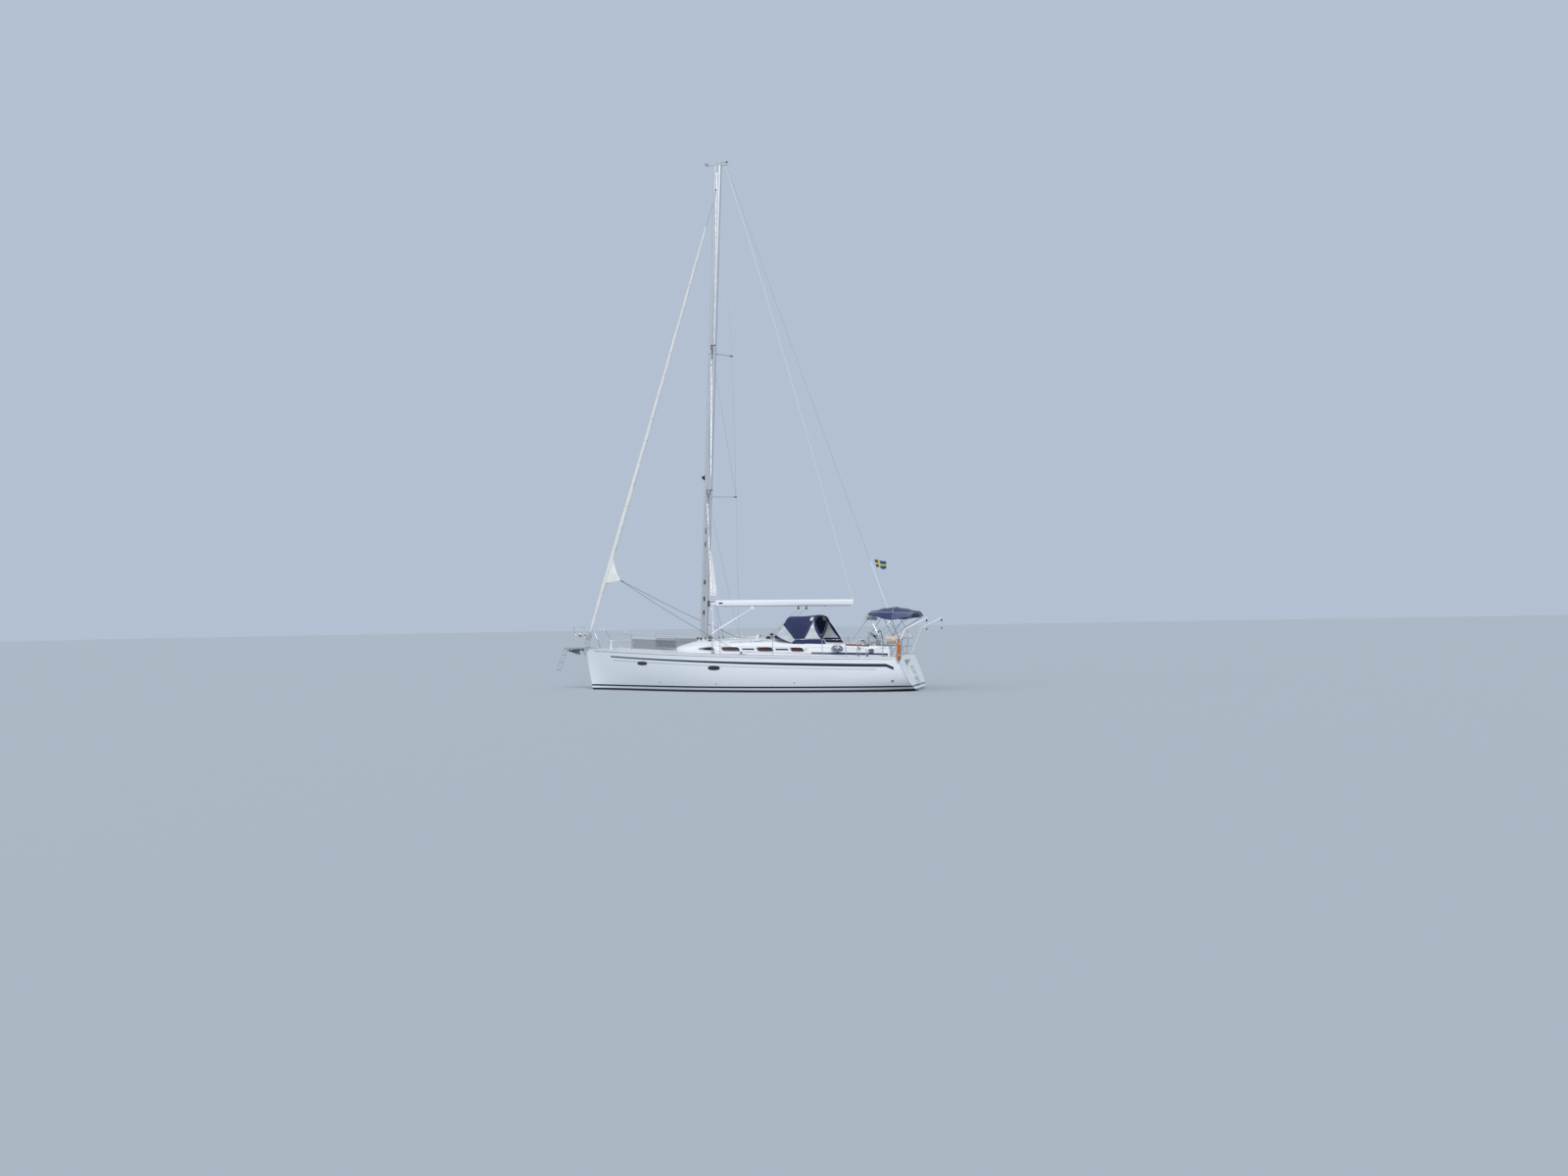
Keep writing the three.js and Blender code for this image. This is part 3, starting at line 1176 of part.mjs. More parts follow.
const rungsBetween = (pointAt, halfWidth, radius, stepAt) =>
  stepAt.map((along) => tube([pointAt(along, -halfWidth), pointAt(along, halfWidth)], radius));
const ladder = (pointAt, { half: halfWidth, length, tube: radius }, stepAt) => join(
  ...[-1, 1].map((side) => tube([pointAt(0, side * halfWidth), pointAt(length, side * halfWidth)], radius)),
  ...rungsBetween(pointAt, halfWidth, radius, stepAt),
);
const bowPoint = (down, y) => P(
  PLATFORM.foreX + BOW_LADDER.off + Math.sin(BOW_LADDER.tilt) * down,
  y,
  BOW_LADDER.z - Math.cos(BOW_LADDER.tilt) * down,
);
const bowSteps = steps(0, BOW_LADDER.length, BOW_LADDER.rungs)
  .map((down) => Math.max(down - BOW_LADDER.inset, 0));
add('bow_ladder', ladder(bowPoint, BOW_LADDER, bowSteps), STEEL);

// Stern: bathing ladder folded up against the transom, davits
const swimPoint = (upward, y) => {
  const z = SWIM_LADDER.lowZ + upward * Math.cos(Math.atan(TRANSOM_LEAN));
  return P(HULL.sternX + TRANSOM_LEAN * z - SWIM_LADDER.off, y, z);
};
add('swim_ladder', ladder(swimPoint, SWIM_LADDER, steps(0, SWIM_LADDER.length, SWIM_LADDER.rungs)), STEEL);
for (const [name, side] of SIDES) {
  add(`davit_${name}`, onDeck(tube([
    P(DAVIT.footX, side * DAVIT.y, DECK.sternHeight - DECK.camber),
    P(DAVIT.elbowX, side * DAVIT.y, DAVIT.elbowZ),
    P(DAVIT.tipX, side * DAVIT.y, DAVIT.tipZ),
  ], DAVIT.radius, { bend: DAVIT.bend, sides: 8 })), WHITE_PAINT);
}

// Sprayhood and bimini, each a sheet on its bent tubes

// One arch of the sprayhood, or a bow that runs inside of it and is shifted along x.
const hoodArch = ([footX, footY, footZ, topX, topZ], inside = 0, shift = 0) =>
  steps(0, Math.PI, HOOD.points).map((turn) => {
    const power = 2 / HOOD.square;
    const across = Math.sign(Math.cos(turn)) * Math.abs(Math.cos(turn)) ** power;
    const rise = Math.sin(turn) ** power;
    return P(
      footX + (topX - footX) * Math.min(rise / HOOD.lean, 1) + shift,
      across * (footY * (1 - HOOD.taper * rise) - inside),
      footZ + (topZ - inside - footZ) * rise,
    );
  });
add('sprayhood', cut(
  sheet(HOOD_ROWS.map((row) => hoodArch(row)), HOOD.thickness), roofRoom, coamingRoom,
), NAVY_CLOTH);
const hoodBows = HOOD_BOW_ROWS.map(([row, shift]) =>
  tube(hoodArch(HOOD_ROWS[row], HOOD.bowInside, shift), HOOD.bowRadius, { bend: 0 }));
const hoodLinks = [-1, 1].map((side) => {
  const { foreX: fore, aftX: aft, y, z } = HOOD_LINK;
  return tube([P(fore, side * y, z), P(aft, side * y, z)], HOOD.bowRadius);
});
add('sprayhood_frame', cut(join(...hoodBows, ...hoodLinks), roofRoom, coamingRoom), STEEL);

const biminiRow = ([x, top, edge], inside = 0, shift = 0) => steps(1, -1, BIMINI.points).map((u) =>
  P(x + shift, u * (BIMINI.half - inside), top - inside - (top - edge) * Math.abs(u) ** BIMINI.curve));
add('bimini', cut(
  sheet(BIMINI_ROWS.map((row) => biminiRow(row)), BIMINI.thickness),
  wire(backstayTop, backstayFoot, BIMINI.slot),
), NAVY_CLOTH);
const biminiBows = BIMINI_BOW_ROWS.map(([row, shift, x, y, z]) => tube(
  [P(x, y, z), ...biminiRow(BIMINI_ROWS[row], BIMINI.bowInside, shift), P(x, -y, z)],
  BIMINI.tube,
  { bend: 0 },
));
const biminiStruts = BIMINI_STRUT_ROWS.flatMap(([x0, y0, z0, x1, y1, z1]) => [-1, 1].map((side) =>
  post(P(x0, side * y0, z0), P(x1, side * y1, z1), BIMINI.strut)));
add('bimini_frame', cut(
  join(...biminiBows, ...biminiStruts),
  coamingRoom,
  wire(backstayTop, backstayFoot, BIMINI.slot - CLEAR),
), STEEL);

// Helm, winches and what hangs on the stern rail
const pedestalColumn = loft(PEDESTAL_ROWS.map(([z, halfWidth, halfDepth], i) =>
  roundedBox(halfDepth, halfWidth, 0.6, PEDESTAL.sides)
    .map((p) => P(PEDESTAL.x + p.x, p.y, z + (i === 0 ? GAP : 0)))));
add('pedestal', join(pedestalColumn, panel(POD_OUTLINE, -PEDESTAL.podHalf, PEDESTAL.podHalf)), WHITE_PAINT);

const spokes = Array.from({ length: WHEEL.spokes }, (_, i) => {
  const turn = (2 * Math.PI * i) / WHEEL.spokes;
  return tube([P(0, 0, 0), P(0, Math.cos(turn), Math.sin(turn)).multiplyScalar(WHEEL.radius)], WHEEL.spoke);
});
const rim = new THREE.TorusGeometry(WHEEL.radius, WHEEL.tube, 6, 30).rotateY(Math.PI / 2);
const wheelHub = disc(WHEEL.hub, -WHEEL.hubHalf, WHEEL.hubHalf).rotateY(Math.PI / 2);
add('steering_wheel', join(rim, wheelHub, ...spokes).translate(WHEEL.x, 0, WHEEL.z), STEEL);

for (const [name, side] of SIDES) {
  const { half: coamingHalf, shoulder } = coamingAt(WINCH.x);
  const drum = turned(WINCH_ROWS, WINCH.sides)
    .translate(WINCH.x, side * (coamingHalf - WINCH.inset), shoulder - WINCH.sunk);
  add(`winch_${name}`, cut(drum, house(coamingAt, aftX, foreX, -GAP, COAMING_STATIONS)), BLACK);
}

const slingBag = loft(SLING_ROWS.map(([down, halfWidth, halfDepth]) => circle(1, 10).map((p) =>
  P(SLING.x + p.x * halfDepth, SLING.y + p.y * halfWidth, SLING.z - down))));
add('rescue_sling', slingBag, ORANGE);

const reelEnd = REEL.length;
add('line_reel', turned([
  [REEL.bore, 0],
  [REEL.flange, 0],
  [REEL.flange, REEL.rim],
  [REEL.core, REEL.cone],
  [REEL.core, reelEnd - REEL.cone],
  [REEL.flange, reelEnd - REEL.rim],
  [REEL.flange, reelEnd],
  [REEL.bore, reelEnd],
  [REEL.bore, 0],
], 16).rotateY(-Math.PI / 2).translate(REEL.foreX, REEL.y, REEL.z), SAILCLOTH);

add('ensign', block(
  ENSIGN.aftX, ENSIGN.foreX, -ENSIGN.half, ENSIGN.half, ENSIGN.low, ENSIGN.high,
), BLUE_CLOTH);

export default yacht;
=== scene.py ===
# %% [markdown]
# # A cruising yacht
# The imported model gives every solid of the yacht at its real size: hull, deck, mast, rails, canvas.
# This lesson adds what a boat has on top of that: finishes, sewn canvas, wound sails, ropes and the
# small fittings. All of it is in metres, with the bow towards +X, port towards +Y and the waterline
# at z = 0, so a piece is made where it belongs and its object never moves.

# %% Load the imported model
import math

import bmesh
import bpy
from mathutils import Matrix, Vector
from mathutils.bvhtree import BVHTree


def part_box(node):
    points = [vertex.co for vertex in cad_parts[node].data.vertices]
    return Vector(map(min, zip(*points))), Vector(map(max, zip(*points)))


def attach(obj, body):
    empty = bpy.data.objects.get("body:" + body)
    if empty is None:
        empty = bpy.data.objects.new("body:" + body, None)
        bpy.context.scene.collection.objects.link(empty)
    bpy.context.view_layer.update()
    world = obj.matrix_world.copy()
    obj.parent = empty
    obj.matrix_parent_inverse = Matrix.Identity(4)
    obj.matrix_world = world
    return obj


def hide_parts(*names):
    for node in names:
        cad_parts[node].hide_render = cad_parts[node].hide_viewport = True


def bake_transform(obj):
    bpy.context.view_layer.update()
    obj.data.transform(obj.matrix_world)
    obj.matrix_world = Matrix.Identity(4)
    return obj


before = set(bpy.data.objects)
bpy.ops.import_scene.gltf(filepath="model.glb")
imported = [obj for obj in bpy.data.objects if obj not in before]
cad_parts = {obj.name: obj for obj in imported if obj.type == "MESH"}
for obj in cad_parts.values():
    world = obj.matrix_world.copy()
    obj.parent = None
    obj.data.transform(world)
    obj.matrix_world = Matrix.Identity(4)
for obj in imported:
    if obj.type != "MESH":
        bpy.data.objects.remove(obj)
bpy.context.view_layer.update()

# %% [markdown]
# ## The camera
# The photograph was taken from a boat's height, forty metres off the port side and a little aft.
# A camera's place can be guessed by eye, but here its place, turn and lens were solved from points
# of known size on the yacht, so the render and the photograph can be laid over each other.

# %% Place the camera
FOCAL_PIXELS = 1202.0
PICTURE_WIDTH = 1600.0
SENSOR_WIDTH = 36.0
CAMERA_PLACE = Vector((-14.207, 41.081, 2.485))
BEARING = 0.33296
YAW = 0.03333
PITCH = 0.02828
ROLL = -0.01788


def turned(first, second, angle):
    """Two square directions, turned by an angle in their own plane."""
    return (
        first * math.cos(angle) + second * math.sin(angle),
        second * math.cos(angle) - first * math.sin(angle),
    )


ahead = Vector((math.sin(BEARING), -math.cos(BEARING), 0))
right = Vector((-math.cos(BEARING), -math.sin(BEARING), 0))
top = Vector((0, 0, 1))
ahead, right = turned(ahead, right, YAW)
ahead, top = turned(ahead, top, PITCH)
right, top = turned(right, top, ROLL)

lens = bpy.data.cameras.new("camera")
lens.sensor_width = SENSOR_WIDTH
lens.lens = FOCAL_PIXELS / PICTURE_WIDTH * SENSOR_WIDTH
lens.clip_end = 500
camera = bpy.data.objects.new("camera", lens)
bpy.context.collection.objects.link(camera)
turn = Matrix((right, top, -ahead)).transposed().to_4x4()
camera.matrix_world = Matrix.Translation(CAMERA_PLACE) @ turn
bpy.context.scene.camera = camera
print("lens in millimetres:", round(lens.lens, 2))

# %% [markdown]
# ## Floor and light
# Only the yacht is wanted, so a plain pale floor lies at its waterline. A boat this big needs
# large soft lights: one wide sun from the camera's side as on a hazy day, a weaker one from
# ahead, and an even light all round, so that white parts keep their shape without hard shadows.

# %% Make the floor and the lights
FLOOR_HALF = 400.0


def add_sun(name, strength, softness, direction, tint):
    """A sun whose light travels along a direction; softness is its width in degrees."""
    sun = bpy.data.lights.new(name, "SUN")
    sun.energy = strength
    sun.angle = math.radians(softness)
    sun.color = tint
    holder = bpy.data.objects.new(name, sun)
    holder.rotation_euler = Vector(direction).to_track_quat("-Z", "Y").to_euler()
    bpy.context.collection.objects.link(holder)


floor_mesh = bpy.data.meshes.new("floor")
corners = [(-FLOOR_HALF, -FLOOR_HALF, 0), (FLOOR_HALF, -FLOOR_HALF, 0),
           (FLOOR_HALF, FLOOR_HALF, 0), (-FLOOR_HALF, FLOOR_HALF, 0)]
floor_mesh.from_pydata(corners, [], [(0, 1, 2, 3)])
floor = bpy.data.objects.new("floor", floor_mesh)
bpy.context.collection.objects.link(floor)
stone = bpy.data.materials.new("pale_floor")
stone.use_nodes = True
stone.node_tree.nodes["Principled BSDF"].inputs["Base Color"].default_value = (0.42, 0.45, 0.48, 1)
stone.node_tree.nodes["Principled BSDF"].inputs["Roughness"].default_value = 0.9
floor_mesh.materials.append(stone)

add_sun("key_sun", 1.9, 24, (0.55, -1.0, -0.95), (1.0, 0.975, 0.94))
add_sun("fill_sun", 0.7, 60, (-0.9, -0.5, -0.6), (0.92, 0.96, 1.0))

sky = bpy.data.worlds.new("sky")
sky.use_nodes = True
sky.node_tree.nodes["Background"].inputs["Color"].default_value = (0.56, 0.66, 0.80, 1)
sky.node_tree.nodes["Background"].inputs["Strength"].default_value = 0.80
bpy.context.scene.world = sky
bpy.context.scene.view_settings.view_transform = "Standard"
print("lights:", [light.name for light in bpy.data.lights])

# %% [markdown]
# ## Writing a finish as sums
# A real finish is rarely one flat colour: gelcoat has stripes at exact heights, cloth has a weave,
# metal has faint scratches. Nodes can be dragged by hand, but a formula is easier to read and to
# change. So one small class wraps a socket, and Python's own operators add the nodes.

# %% Wrap a socket so that it can be added, multiplied and compared
class Wire:
    """One socket of a node tree. An operator on it adds the Math node that works it out."""

    def __init__(self, tree, socket=None):
        self.tree = tree
        self.socket = socket

    def add(self, kind, settings=None, inputs=None, output=0):
        """A new node: its settings first, then the values or wires of its sockets."""
        node = self.tree.nodes.new(kind)
        for name, value in (settings or {}).items():
            setattr(node, name, value)
        for name, value in (inputs or {}).items():
            if isinstance(value, Wire):
                self.tree.links.new(value.socket, node.inputs[name])
            else:
                node.inputs[name].default_value = value
        return Wire(self.tree, node.outputs[output])

    def maths(self, operation, *values):
        return self.add("ShaderNodeMath", {"operation": operation}, dict(enumerate(values)))

    def __add__(self, other):
        return self.maths("ADD", self, other)

    def __radd__(self, other):
        return self.maths("ADD", other, self)

    def __sub__(self, other):
        return self.maths("SUBTRACT", self, other)

    def __rsub__(self, other):
        return self.maths("SUBTRACT", other, self)

    def __mul__(self, other):
        return self.maths("MULTIPLY", self, other)

    def __rmul__(self, other):
        return self.maths("MULTIPLY", other, self)

    def __truediv__(self, other):
        return self.maths("DIVIDE", self, other)

    def __gt__(self, other):
        return self.maths("GREATER_THAN", self, other)

    def __lt__(self, other):
        return self.maths("LESS_THAN", self, other)

    def __mod__(self, other):
        return self.maths("FLOORED_MODULO", self, other)

    def __abs__(self):
        return self.maths("ABSOLUTE", self)

    def sine(self):
        return self.maths("SINE", self)

    def most(self, other):
        return self.maths("MAXIMUM", self, other)

    def fade(self, low, high, start=0.0, end=1.0):
        """start below low, end above high, and a smooth step between."""
        inputs = {"Value": self, "From Min": low, "From Max": high, "To Min": start, "To Max": end}
        return self.add("ShaderNodeMapRange", {"interpolation_type": "SMOOTHSTEP"}, inputs)

    def band(self, middle, half, soft=0.002):
        """1 within half of middle and 0 outside, with soft edges."""
        return abs(self - middle).fade(half - soft, half + soft, 1.0, 0.0)

    def mix(self, first, second):
        """The first colour where this wire is 0 and the second where it is 1."""
        return self.add("ShaderNodeMix", {"data_type": "RGBA"}, {0: self, 6: first, 7: second}, 2)

    def feeds(self, shader, name):
        self.tree.links.new(self.socket, shader.inputs[name])


def colour(red, green, blue):
    return (red, green, blue, 1.0)


# %% Start a finish
EVEN = (1, 1, 1)


class Finish:
    """A material with one shader. Its patterns read the piece's own Object coordinates. A slot
    names a plain material to stand for it; nothing uses it."""

    def __init__(self, name, roughness=0.5, slot=None, **constants):
        self.slot = slot
        self.material = bpy.data.materials.new(name)
        self.material.use_nodes = True
        tree = self.material.node_tree
        self.shader = tree.nodes["Principled BSDF"]
        self.shader.inputs["Roughness"].default_value = roughness
        for socket, value in constants.items():
            self.shader.inputs[socket.replace("_", " ")].default_value = value
        self.start = Wire(tree)
        print("finish:", name)
        self.place = self.start.add("ShaderNodeTexCoord", output="Object")
        self.x, self.y, self.z = [
            self.start.add("ShaderNodeSeparateXYZ", inputs={0: self.place}, output=axis)
            for axis in range(3)
        ]

    def noise(self, scale, stretch=EVEN, detail=3.0):
        """Soft grain from 0 to 1; stretch makes it finer along an axis."""
        mapped = self.start.add("ShaderNodeMapping", inputs={"Vector": self.place, "Scale": stretch})
        inputs = {"Vector": mapped, "Scale": scale, "Detail": detail}
        return self.start.add("ShaderNodeTexNoise", inputs=inputs)

    def sewn(self):
        """The two directions on a cloth's own flat pattern."""
        layout = self.start.add("ShaderNodeUVMap", {"uv_map": "UVMap"})
        return [self.start.add("ShaderNodeSeparateXYZ", inputs={0: layout}, output=k) for k in (0, 1)]

    def facing_up(self):
        """How much a face looks up, from -1 to 1."""
        normal = self.start.add("ShaderNodeTexCoord", output="Normal")
        return self.start.add("ShaderNodeSeparateXYZ", inputs={0: normal}, output=2)

    def paint(self, wire):
        wire.feeds(self.shader, "Base Color")

    def shine(self, wire):
        wire.feeds(self.shader, "Roughness")

    def relief(self, height, depth, strength=1.0):
        """Bump from a height of 0 to 1 that stands for depth metres."""
        inputs = {"Height": height, "Distance": depth, "Strength": strength}
        self.start.add("ShaderNodeBump", inputs=inputs).feeds(self.shader, "Normal")


# %% Mix two tones with one grain
def grained(name, roughness, grain, dark, light, shine=None, relief=None, **constants):
    """Two tones mixed by one grain (scale, stretch, detail). The same grain adds to the gloss, from
    shine's lowest roughness by its second number, and makes bumps of relief's depth and strength."""
    finish = Finish(name, roughness, **constants)
    pattern = finish.noise(*grain)
    finish.paint(pattern.mix(colour(*dark), colour(*light)))
    if shine:
        finish.shine(shine[0] + pattern * shine[1])
    if relief:
        finish.relief(pattern, *relief)
    return finish

# %% [markdown]
# ## Gelcoat and the hull's stripes
# The hull is glossy white gelcoat with a blue cove stripe that thickens aft and hooks down at its
# end, a thin grey line below it, a navy and white boot top, and dark bottom paint. Each follows
# the sheer, so each is a height as a function of x. Stripes could be meshes, but paint has
# no thickness, and a formula in the finish keeps the hull's own surface.

# %% Measure the hull's stripes
STRIPE_FORE = 5.12
STRIPE_AFT = -5.87
STRIPE_HALF_FORE = 0.026
STRIPE_HALF_AFT = 0.054
STRIPE_BEND = -5.62
STRIPE_BEND_SLOPE = 0.42
PINSTRIPE_FORE = 5.00
PINSTRIPE_AFT = -5.30
PINSTRIPE_DROP = 0.128
PINSTRIPE_HALF = 0.012
BOOT_TOP = 0.213
BOOT_WHITE = 0.150
BOOT_LOW = 0.080
NAVY = colour(0.004, 0.009, 0.042)
TEAL_NAVY = colour(0.004, 0.016, 0.044)
GREY_LINE = colour(0.40, 0.43, 0.48)
COVE_AMIDSHIPS = 1.0649
COVE_SLOPE = 0.0337
COVE_CURVE = 0.00154


def cove_height(x):
    """Height of the cove stripe's middle along the hull."""
    return COVE_AMIDSHIPS + x * COVE_SLOPE + x * x * COVE_CURVE


print("cove stripe at the bow and the stern:", cove_height(STRIPE_FORE), cove_height(STRIPE_AFT))

# %% Paint the hull
hull_paint = Finish("hull_gelcoat", 0.16, Coat_Weight=0.5, Coat_Roughness=0.06)
x, z = hull_paint.x, hull_paint.z
cloudy = hull_paint.noise(0.7, detail=2.0)
white = cloudy.mix(colour(0.755, 0.78, 0.815), colour(0.80, 0.82, 0.845))
stripe_half = x.fade(-6.0, 5.2, STRIPE_HALF_AFT, STRIPE_HALF_FORE)
bent_down = (STRIPE_BEND - x).most(0.0) * STRIPE_BEND_SLOPE
stripe = (abs(z + bent_down - cove_height(x)) - stripe_half).fade(-0.003, 0.003, 1.0, 0.0)
stripe = stripe * (x > STRIPE_AFT) * (x < STRIPE_FORE)
pinstripe = z - cove_height(x) + PINSTRIPE_DROP - x.fade(-6, 4, -0.014, 0.0)
pinstripe = pinstripe.band(0.0, PINSTRIPE_HALF)
pinstripe = pinstripe * (x > PINSTRIPE_AFT) * (x < PINSTRIPE_FORE)
boot = z.fade(BOOT_TOP - 0.003, BOOT_TOP + 0.003, 1.0, 0.0)
boot = boot - z.band((BOOT_WHITE + BOOT_LOW) / 2, (BOOT_WHITE - BOOT_LOW) / 2)
painted = pinstripe.mix(white, GREY_LINE)
painted = stripe.mix(painted, TEAL_NAVY)
painted = boot.mix(painted, NAVY)
hull_paint.paint(painted)
below = z.fade(0.0, 0.02, 1.0, 0.0)
fouling = hull_paint.noise(9.0, detail=6.0)
hull_paint.shine(below * (0.45 + fouling * 0.25) + (1 - below) * (0.15 + cloudy * 0.06))
hull_paint.relief(fouling * below, 0.002, 0.5)

# %% Paint the bottom
bottom_paint = grained("bottom_paint", 0.6, (14.0, EVEN, 6.0), (0.010, 0.018, 0.045),
                       (0.022, 0.032, 0.070), (0.5, 0.25), (0.0015, 0.5))

# %% [markdown]
# ## Deck, coachroof and cockpit
# Moulded decks are white with panels of non-skid: small raised diamonds, a little greyer because
# dirt stays between them. They lie only on faces that look up, with smooth channels between the
# panels, so a mask takes the upward faces and leaves out the channels.

# %% Mould the deck's non-skid
NON_SKID_PITCH = 0.012
PANEL_LENGTH = 1.30
PANEL_GAP = 0.045
PANEL_SHIFT = 20.0
deck_paint = Finish("deck_gelcoat", 0.28, Coat_Weight=0.2, Coat_Roughness=0.12)
x, y = deck_paint.x, deck_paint.y
level = deck_paint.facing_up().fade(0.93, 0.97)
channel = ((x + PANEL_SHIFT) % PANEL_LENGTH).band(PANEL_GAP / 2, PANEL_GAP, 0.006)
panel = level * (1 - channel)
steps = math.tau / NON_SKID_PITCH
diamonds = ((x + y) * steps).sine() * ((x - y) * steps).sine()
worn = deck_paint.noise(3.0, detail=4.0)
clean = worn.mix(colour(0.77, 0.78, 0.79), colour(0.82, 0.83, 0.83))
rough_white = worn.mix(colour(0.64, 0.66, 0.67), colour(0.72, 0.73, 0.73))
deck_paint.paint(panel.mix(clean, rough_white))
deck_paint.shine(panel.fade(0.0, 1.0, 0.24, 0.55))
deck_paint.relief(panel * (diamonds * 0.5 + 0.5), 0.0012, 0.8)

# %% Mould the smooth parts
moulding = grained("smooth_gelcoat", 0.25, (2.5,), (0.76, 0.775, 0.79), (0.82, 0.83, 0.84),
                   (0.2, 0.1), Coat_Weight=0.4, Coat_Roughness=0.08, slot="white_paint")

# %% [markdown]
# ## Metal
# Rails and ladders are polished stainless steel, the mast is satin anodised aluminium with its
# grain along its length, the boom and davits are painted white. Metal is told apart by how it
# scatters light, so each gets fine scratches in its roughness, stretched along the piece.

# %% Polish, anodise and paint the metal
steel = grained("stainless_steel", 0.2, (60.0, (1, 1, 0.2), 4.0), (0.56, 0.58, 0.61),
                (0.70, 0.72, 0.74), (0.14, 0.2), (0.0002, 0.3), Metallic=1.0, slot="steel")
anodised = grained("anodised_aluminium", 0.4, (22.0, (1, 1, 0.03), 4.0), (0.50, 0.52, 0.54),
                   (0.63, 0.645, 0.66), (0.34, 0.16), (0.0003, 0.3), Metallic=0.85, slot="anodised")
rail_metal = grained("rail_aluminium", 0.4, (25.0, (0.05, 1, 1), 4.0), (0.60, 0.62, 0.64),
                     (0.72, 0.73, 0.75), (0.32, 0.16), Metallic=0.6, slot="anodised")
white_paint = grained("white_paint", 0.3, (40.0, EVEN, 2.0), (0.76, 0.77, 0.79), (0.81, 0.82, 0.835),
                      (0.26, 0.1), (0.0004, 0.3), Coat_Weight=0.25, Coat_Roughness=0.15, slot="white_paint")
drive_paint = grained("drive_paint", 0.4, (18.0, EVEN, 6.0), (0.20, 0.22, 0.24), (0.32, 0.34, 0.36),
                      None, (0.0008, 0.4))
engine_paint = grained("engine_paint", 0.45, (12.0, EVEN, 5.0), (0.05, 0.20, 0.10),
                       (0.11, 0.32, 0.17), (0.3, 0.3))
bronze = grained("propeller_bronze", 0.35, (16.0, EVEN, 5.0), (0.30, 0.20, 0.08),
                 (0.62, 0.44, 0.19), (0.25, 0.3), Metallic=1.0, slot="bronze")

# %% Galvanise the anchor
galvanised = Finish("galvanised_steel", 0.5, Metallic=0.8)
spangle = galvanised.start.add(
    "ShaderNodeTexVoronoi", inputs={"Vector": galvanised.place, "Scale": 55.0}, output="Distance")
galvanised.paint(spangle.mix(colour(0.17, 0.18, 0.19), colour(0.33, 0.35, 0.37)))
galvanised.shine(0.4 + spangle * 0.3)

# %% [markdown]
# ## Wood, plastic and glass
# The cabin's inside and its doors are oiled wood, the blocks and cleats black plastic, and
# the windows smoked acrylic. Wood gets rings stretched along the boat, plastic a fine mottle, and
# glass stays nearly black with a sharp gloss, because that is how a dark cabin reads from outside.

# %% Oil the wood
def timber(name, along):
    """Oiled wood whose grain runs along one axis: 0, 1 or 2."""
    oiled = Finish(name, 0.45)
    figure = oiled.noise(5.0, [0.35 if axis == along else 6.0 for axis in range(3)], 5.0)
    fine = oiled.noise(60.0, [0.1 if axis == along else 1.0 for axis in range(3)], 3.0)
    oiled.paint(figure.fade(0.3, 0.7).mix(colour(0.17, 0.075, 0.03), colour(0.33, 0.17, 0.075)))
    oiled.shine(0.38 + fine * 0.2)
    oiled.relief(fine, 0.0006, 0.4)
    return oiled


wood = timber("oiled_wood", 0)
louvre_wood = timber("louvre_wood", 1)
door_wood = timber("door_wood", 2)

teak = Finish("weathered_teak", 0.65)
silvered = teak.noise(7.0, (0.3, 5.0, 1.0), 5.0)
pore = teak.noise(80.0, (0.1, 1.0, 1.0), 3.0)
teak.paint(silvered.mix(colour(0.28, 0.20, 0.13), colour(0.44, 0.36, 0.27)))
teak.shine(0.55 + pore * 0.2)
teak.relief(pore, 0.0008, 0.5)

# %% Mould the plastic and smoke the glass
black = grained("black_plastic", 0.45, (50.0,), (0.012, 0.012, 0.014), (0.030, 0.030, 0.033),
                (0.36, 0.2), (0.0003, 0.3), slot="black_fittings")
rubber = grained("grey_rubber", 0.7, (20.0, EVEN, 4.0), (0.10, 0.105, 0.11), (0.18, 0.185, 0.19),
                 None, (0.0008, 0.4), slot="black_fittings")
glass = grained("smoked_acrylic", 0.06, (1.5, EVEN, 2.0), (0.006, 0.008, 0.012),
                (0.022, 0.026, 0.032), (0.05, 0.05), Coat_Weight=0.6, Coat_Roughness=0.03, IOR=1.49,
                slot="tinted_glass")

# %% [markdown]
# ## Canvas, sailcloth and webbing
# Acrylic canvas is a plain weave: threads over and under each other, drawn a little coarser than
# they are so that they show. Two crossed waves make it, and broad noise gives the sun's fading and
# the slack between seams.

# %% Weave the cloth
THREAD = 0.0016


def weave(first, second, pitch=THREAD):
    """Height of a plain weave from two directions on the cloth."""
    turns = math.tau / pitch
    return (first * turns).sine() * (second * turns).sine() * 0.5 + 0.5


canvas = Finish("navy_canvas", 0.85, Sheen_Weight=0.08, Sheen_Roughness=0.5, slot="navy_canvas")
fading = canvas.noise(2.2, detail=4.0)
canvas.paint(fading.mix(colour(0.004, 0.013, 0.055), colour(0.010, 0.027, 0.092)))
canvas.relief(weave(canvas.x, canvas.y) + fading * 3.0, 0.0012, 0.6)

# %% Finish the sails, nets and webbing
sailcloth = grained("sailcloth", 0.6, (6.0, (1, 1, 0.4), 5.0), (0.70, 0.695, 0.66),
                    (0.80, 0.795, 0.77), (0.52, 0.15), (0.012, 0.5), Sheen_Weight=0.1, slot="sailcloth")
netting = grained("grey_netting", 0.7, (90.0, EVEN, 2.0), (0.085, 0.095, 0.115),
                  (0.15, 0.165, 0.19), None, (0.0006, 0.5), slot="grey_net")
orange = grained("orange_webbing", 0.8, (12.0, EVEN, 4.0), (0.36, 0.090, 0.014),
                 (0.52, 0.155, 0.032), Sheen_Weight=0.2, slot="orange_webbing")
orange.relief(weave(orange.x + orange.y, orange.z, 0.004), 0.001, 0.6)

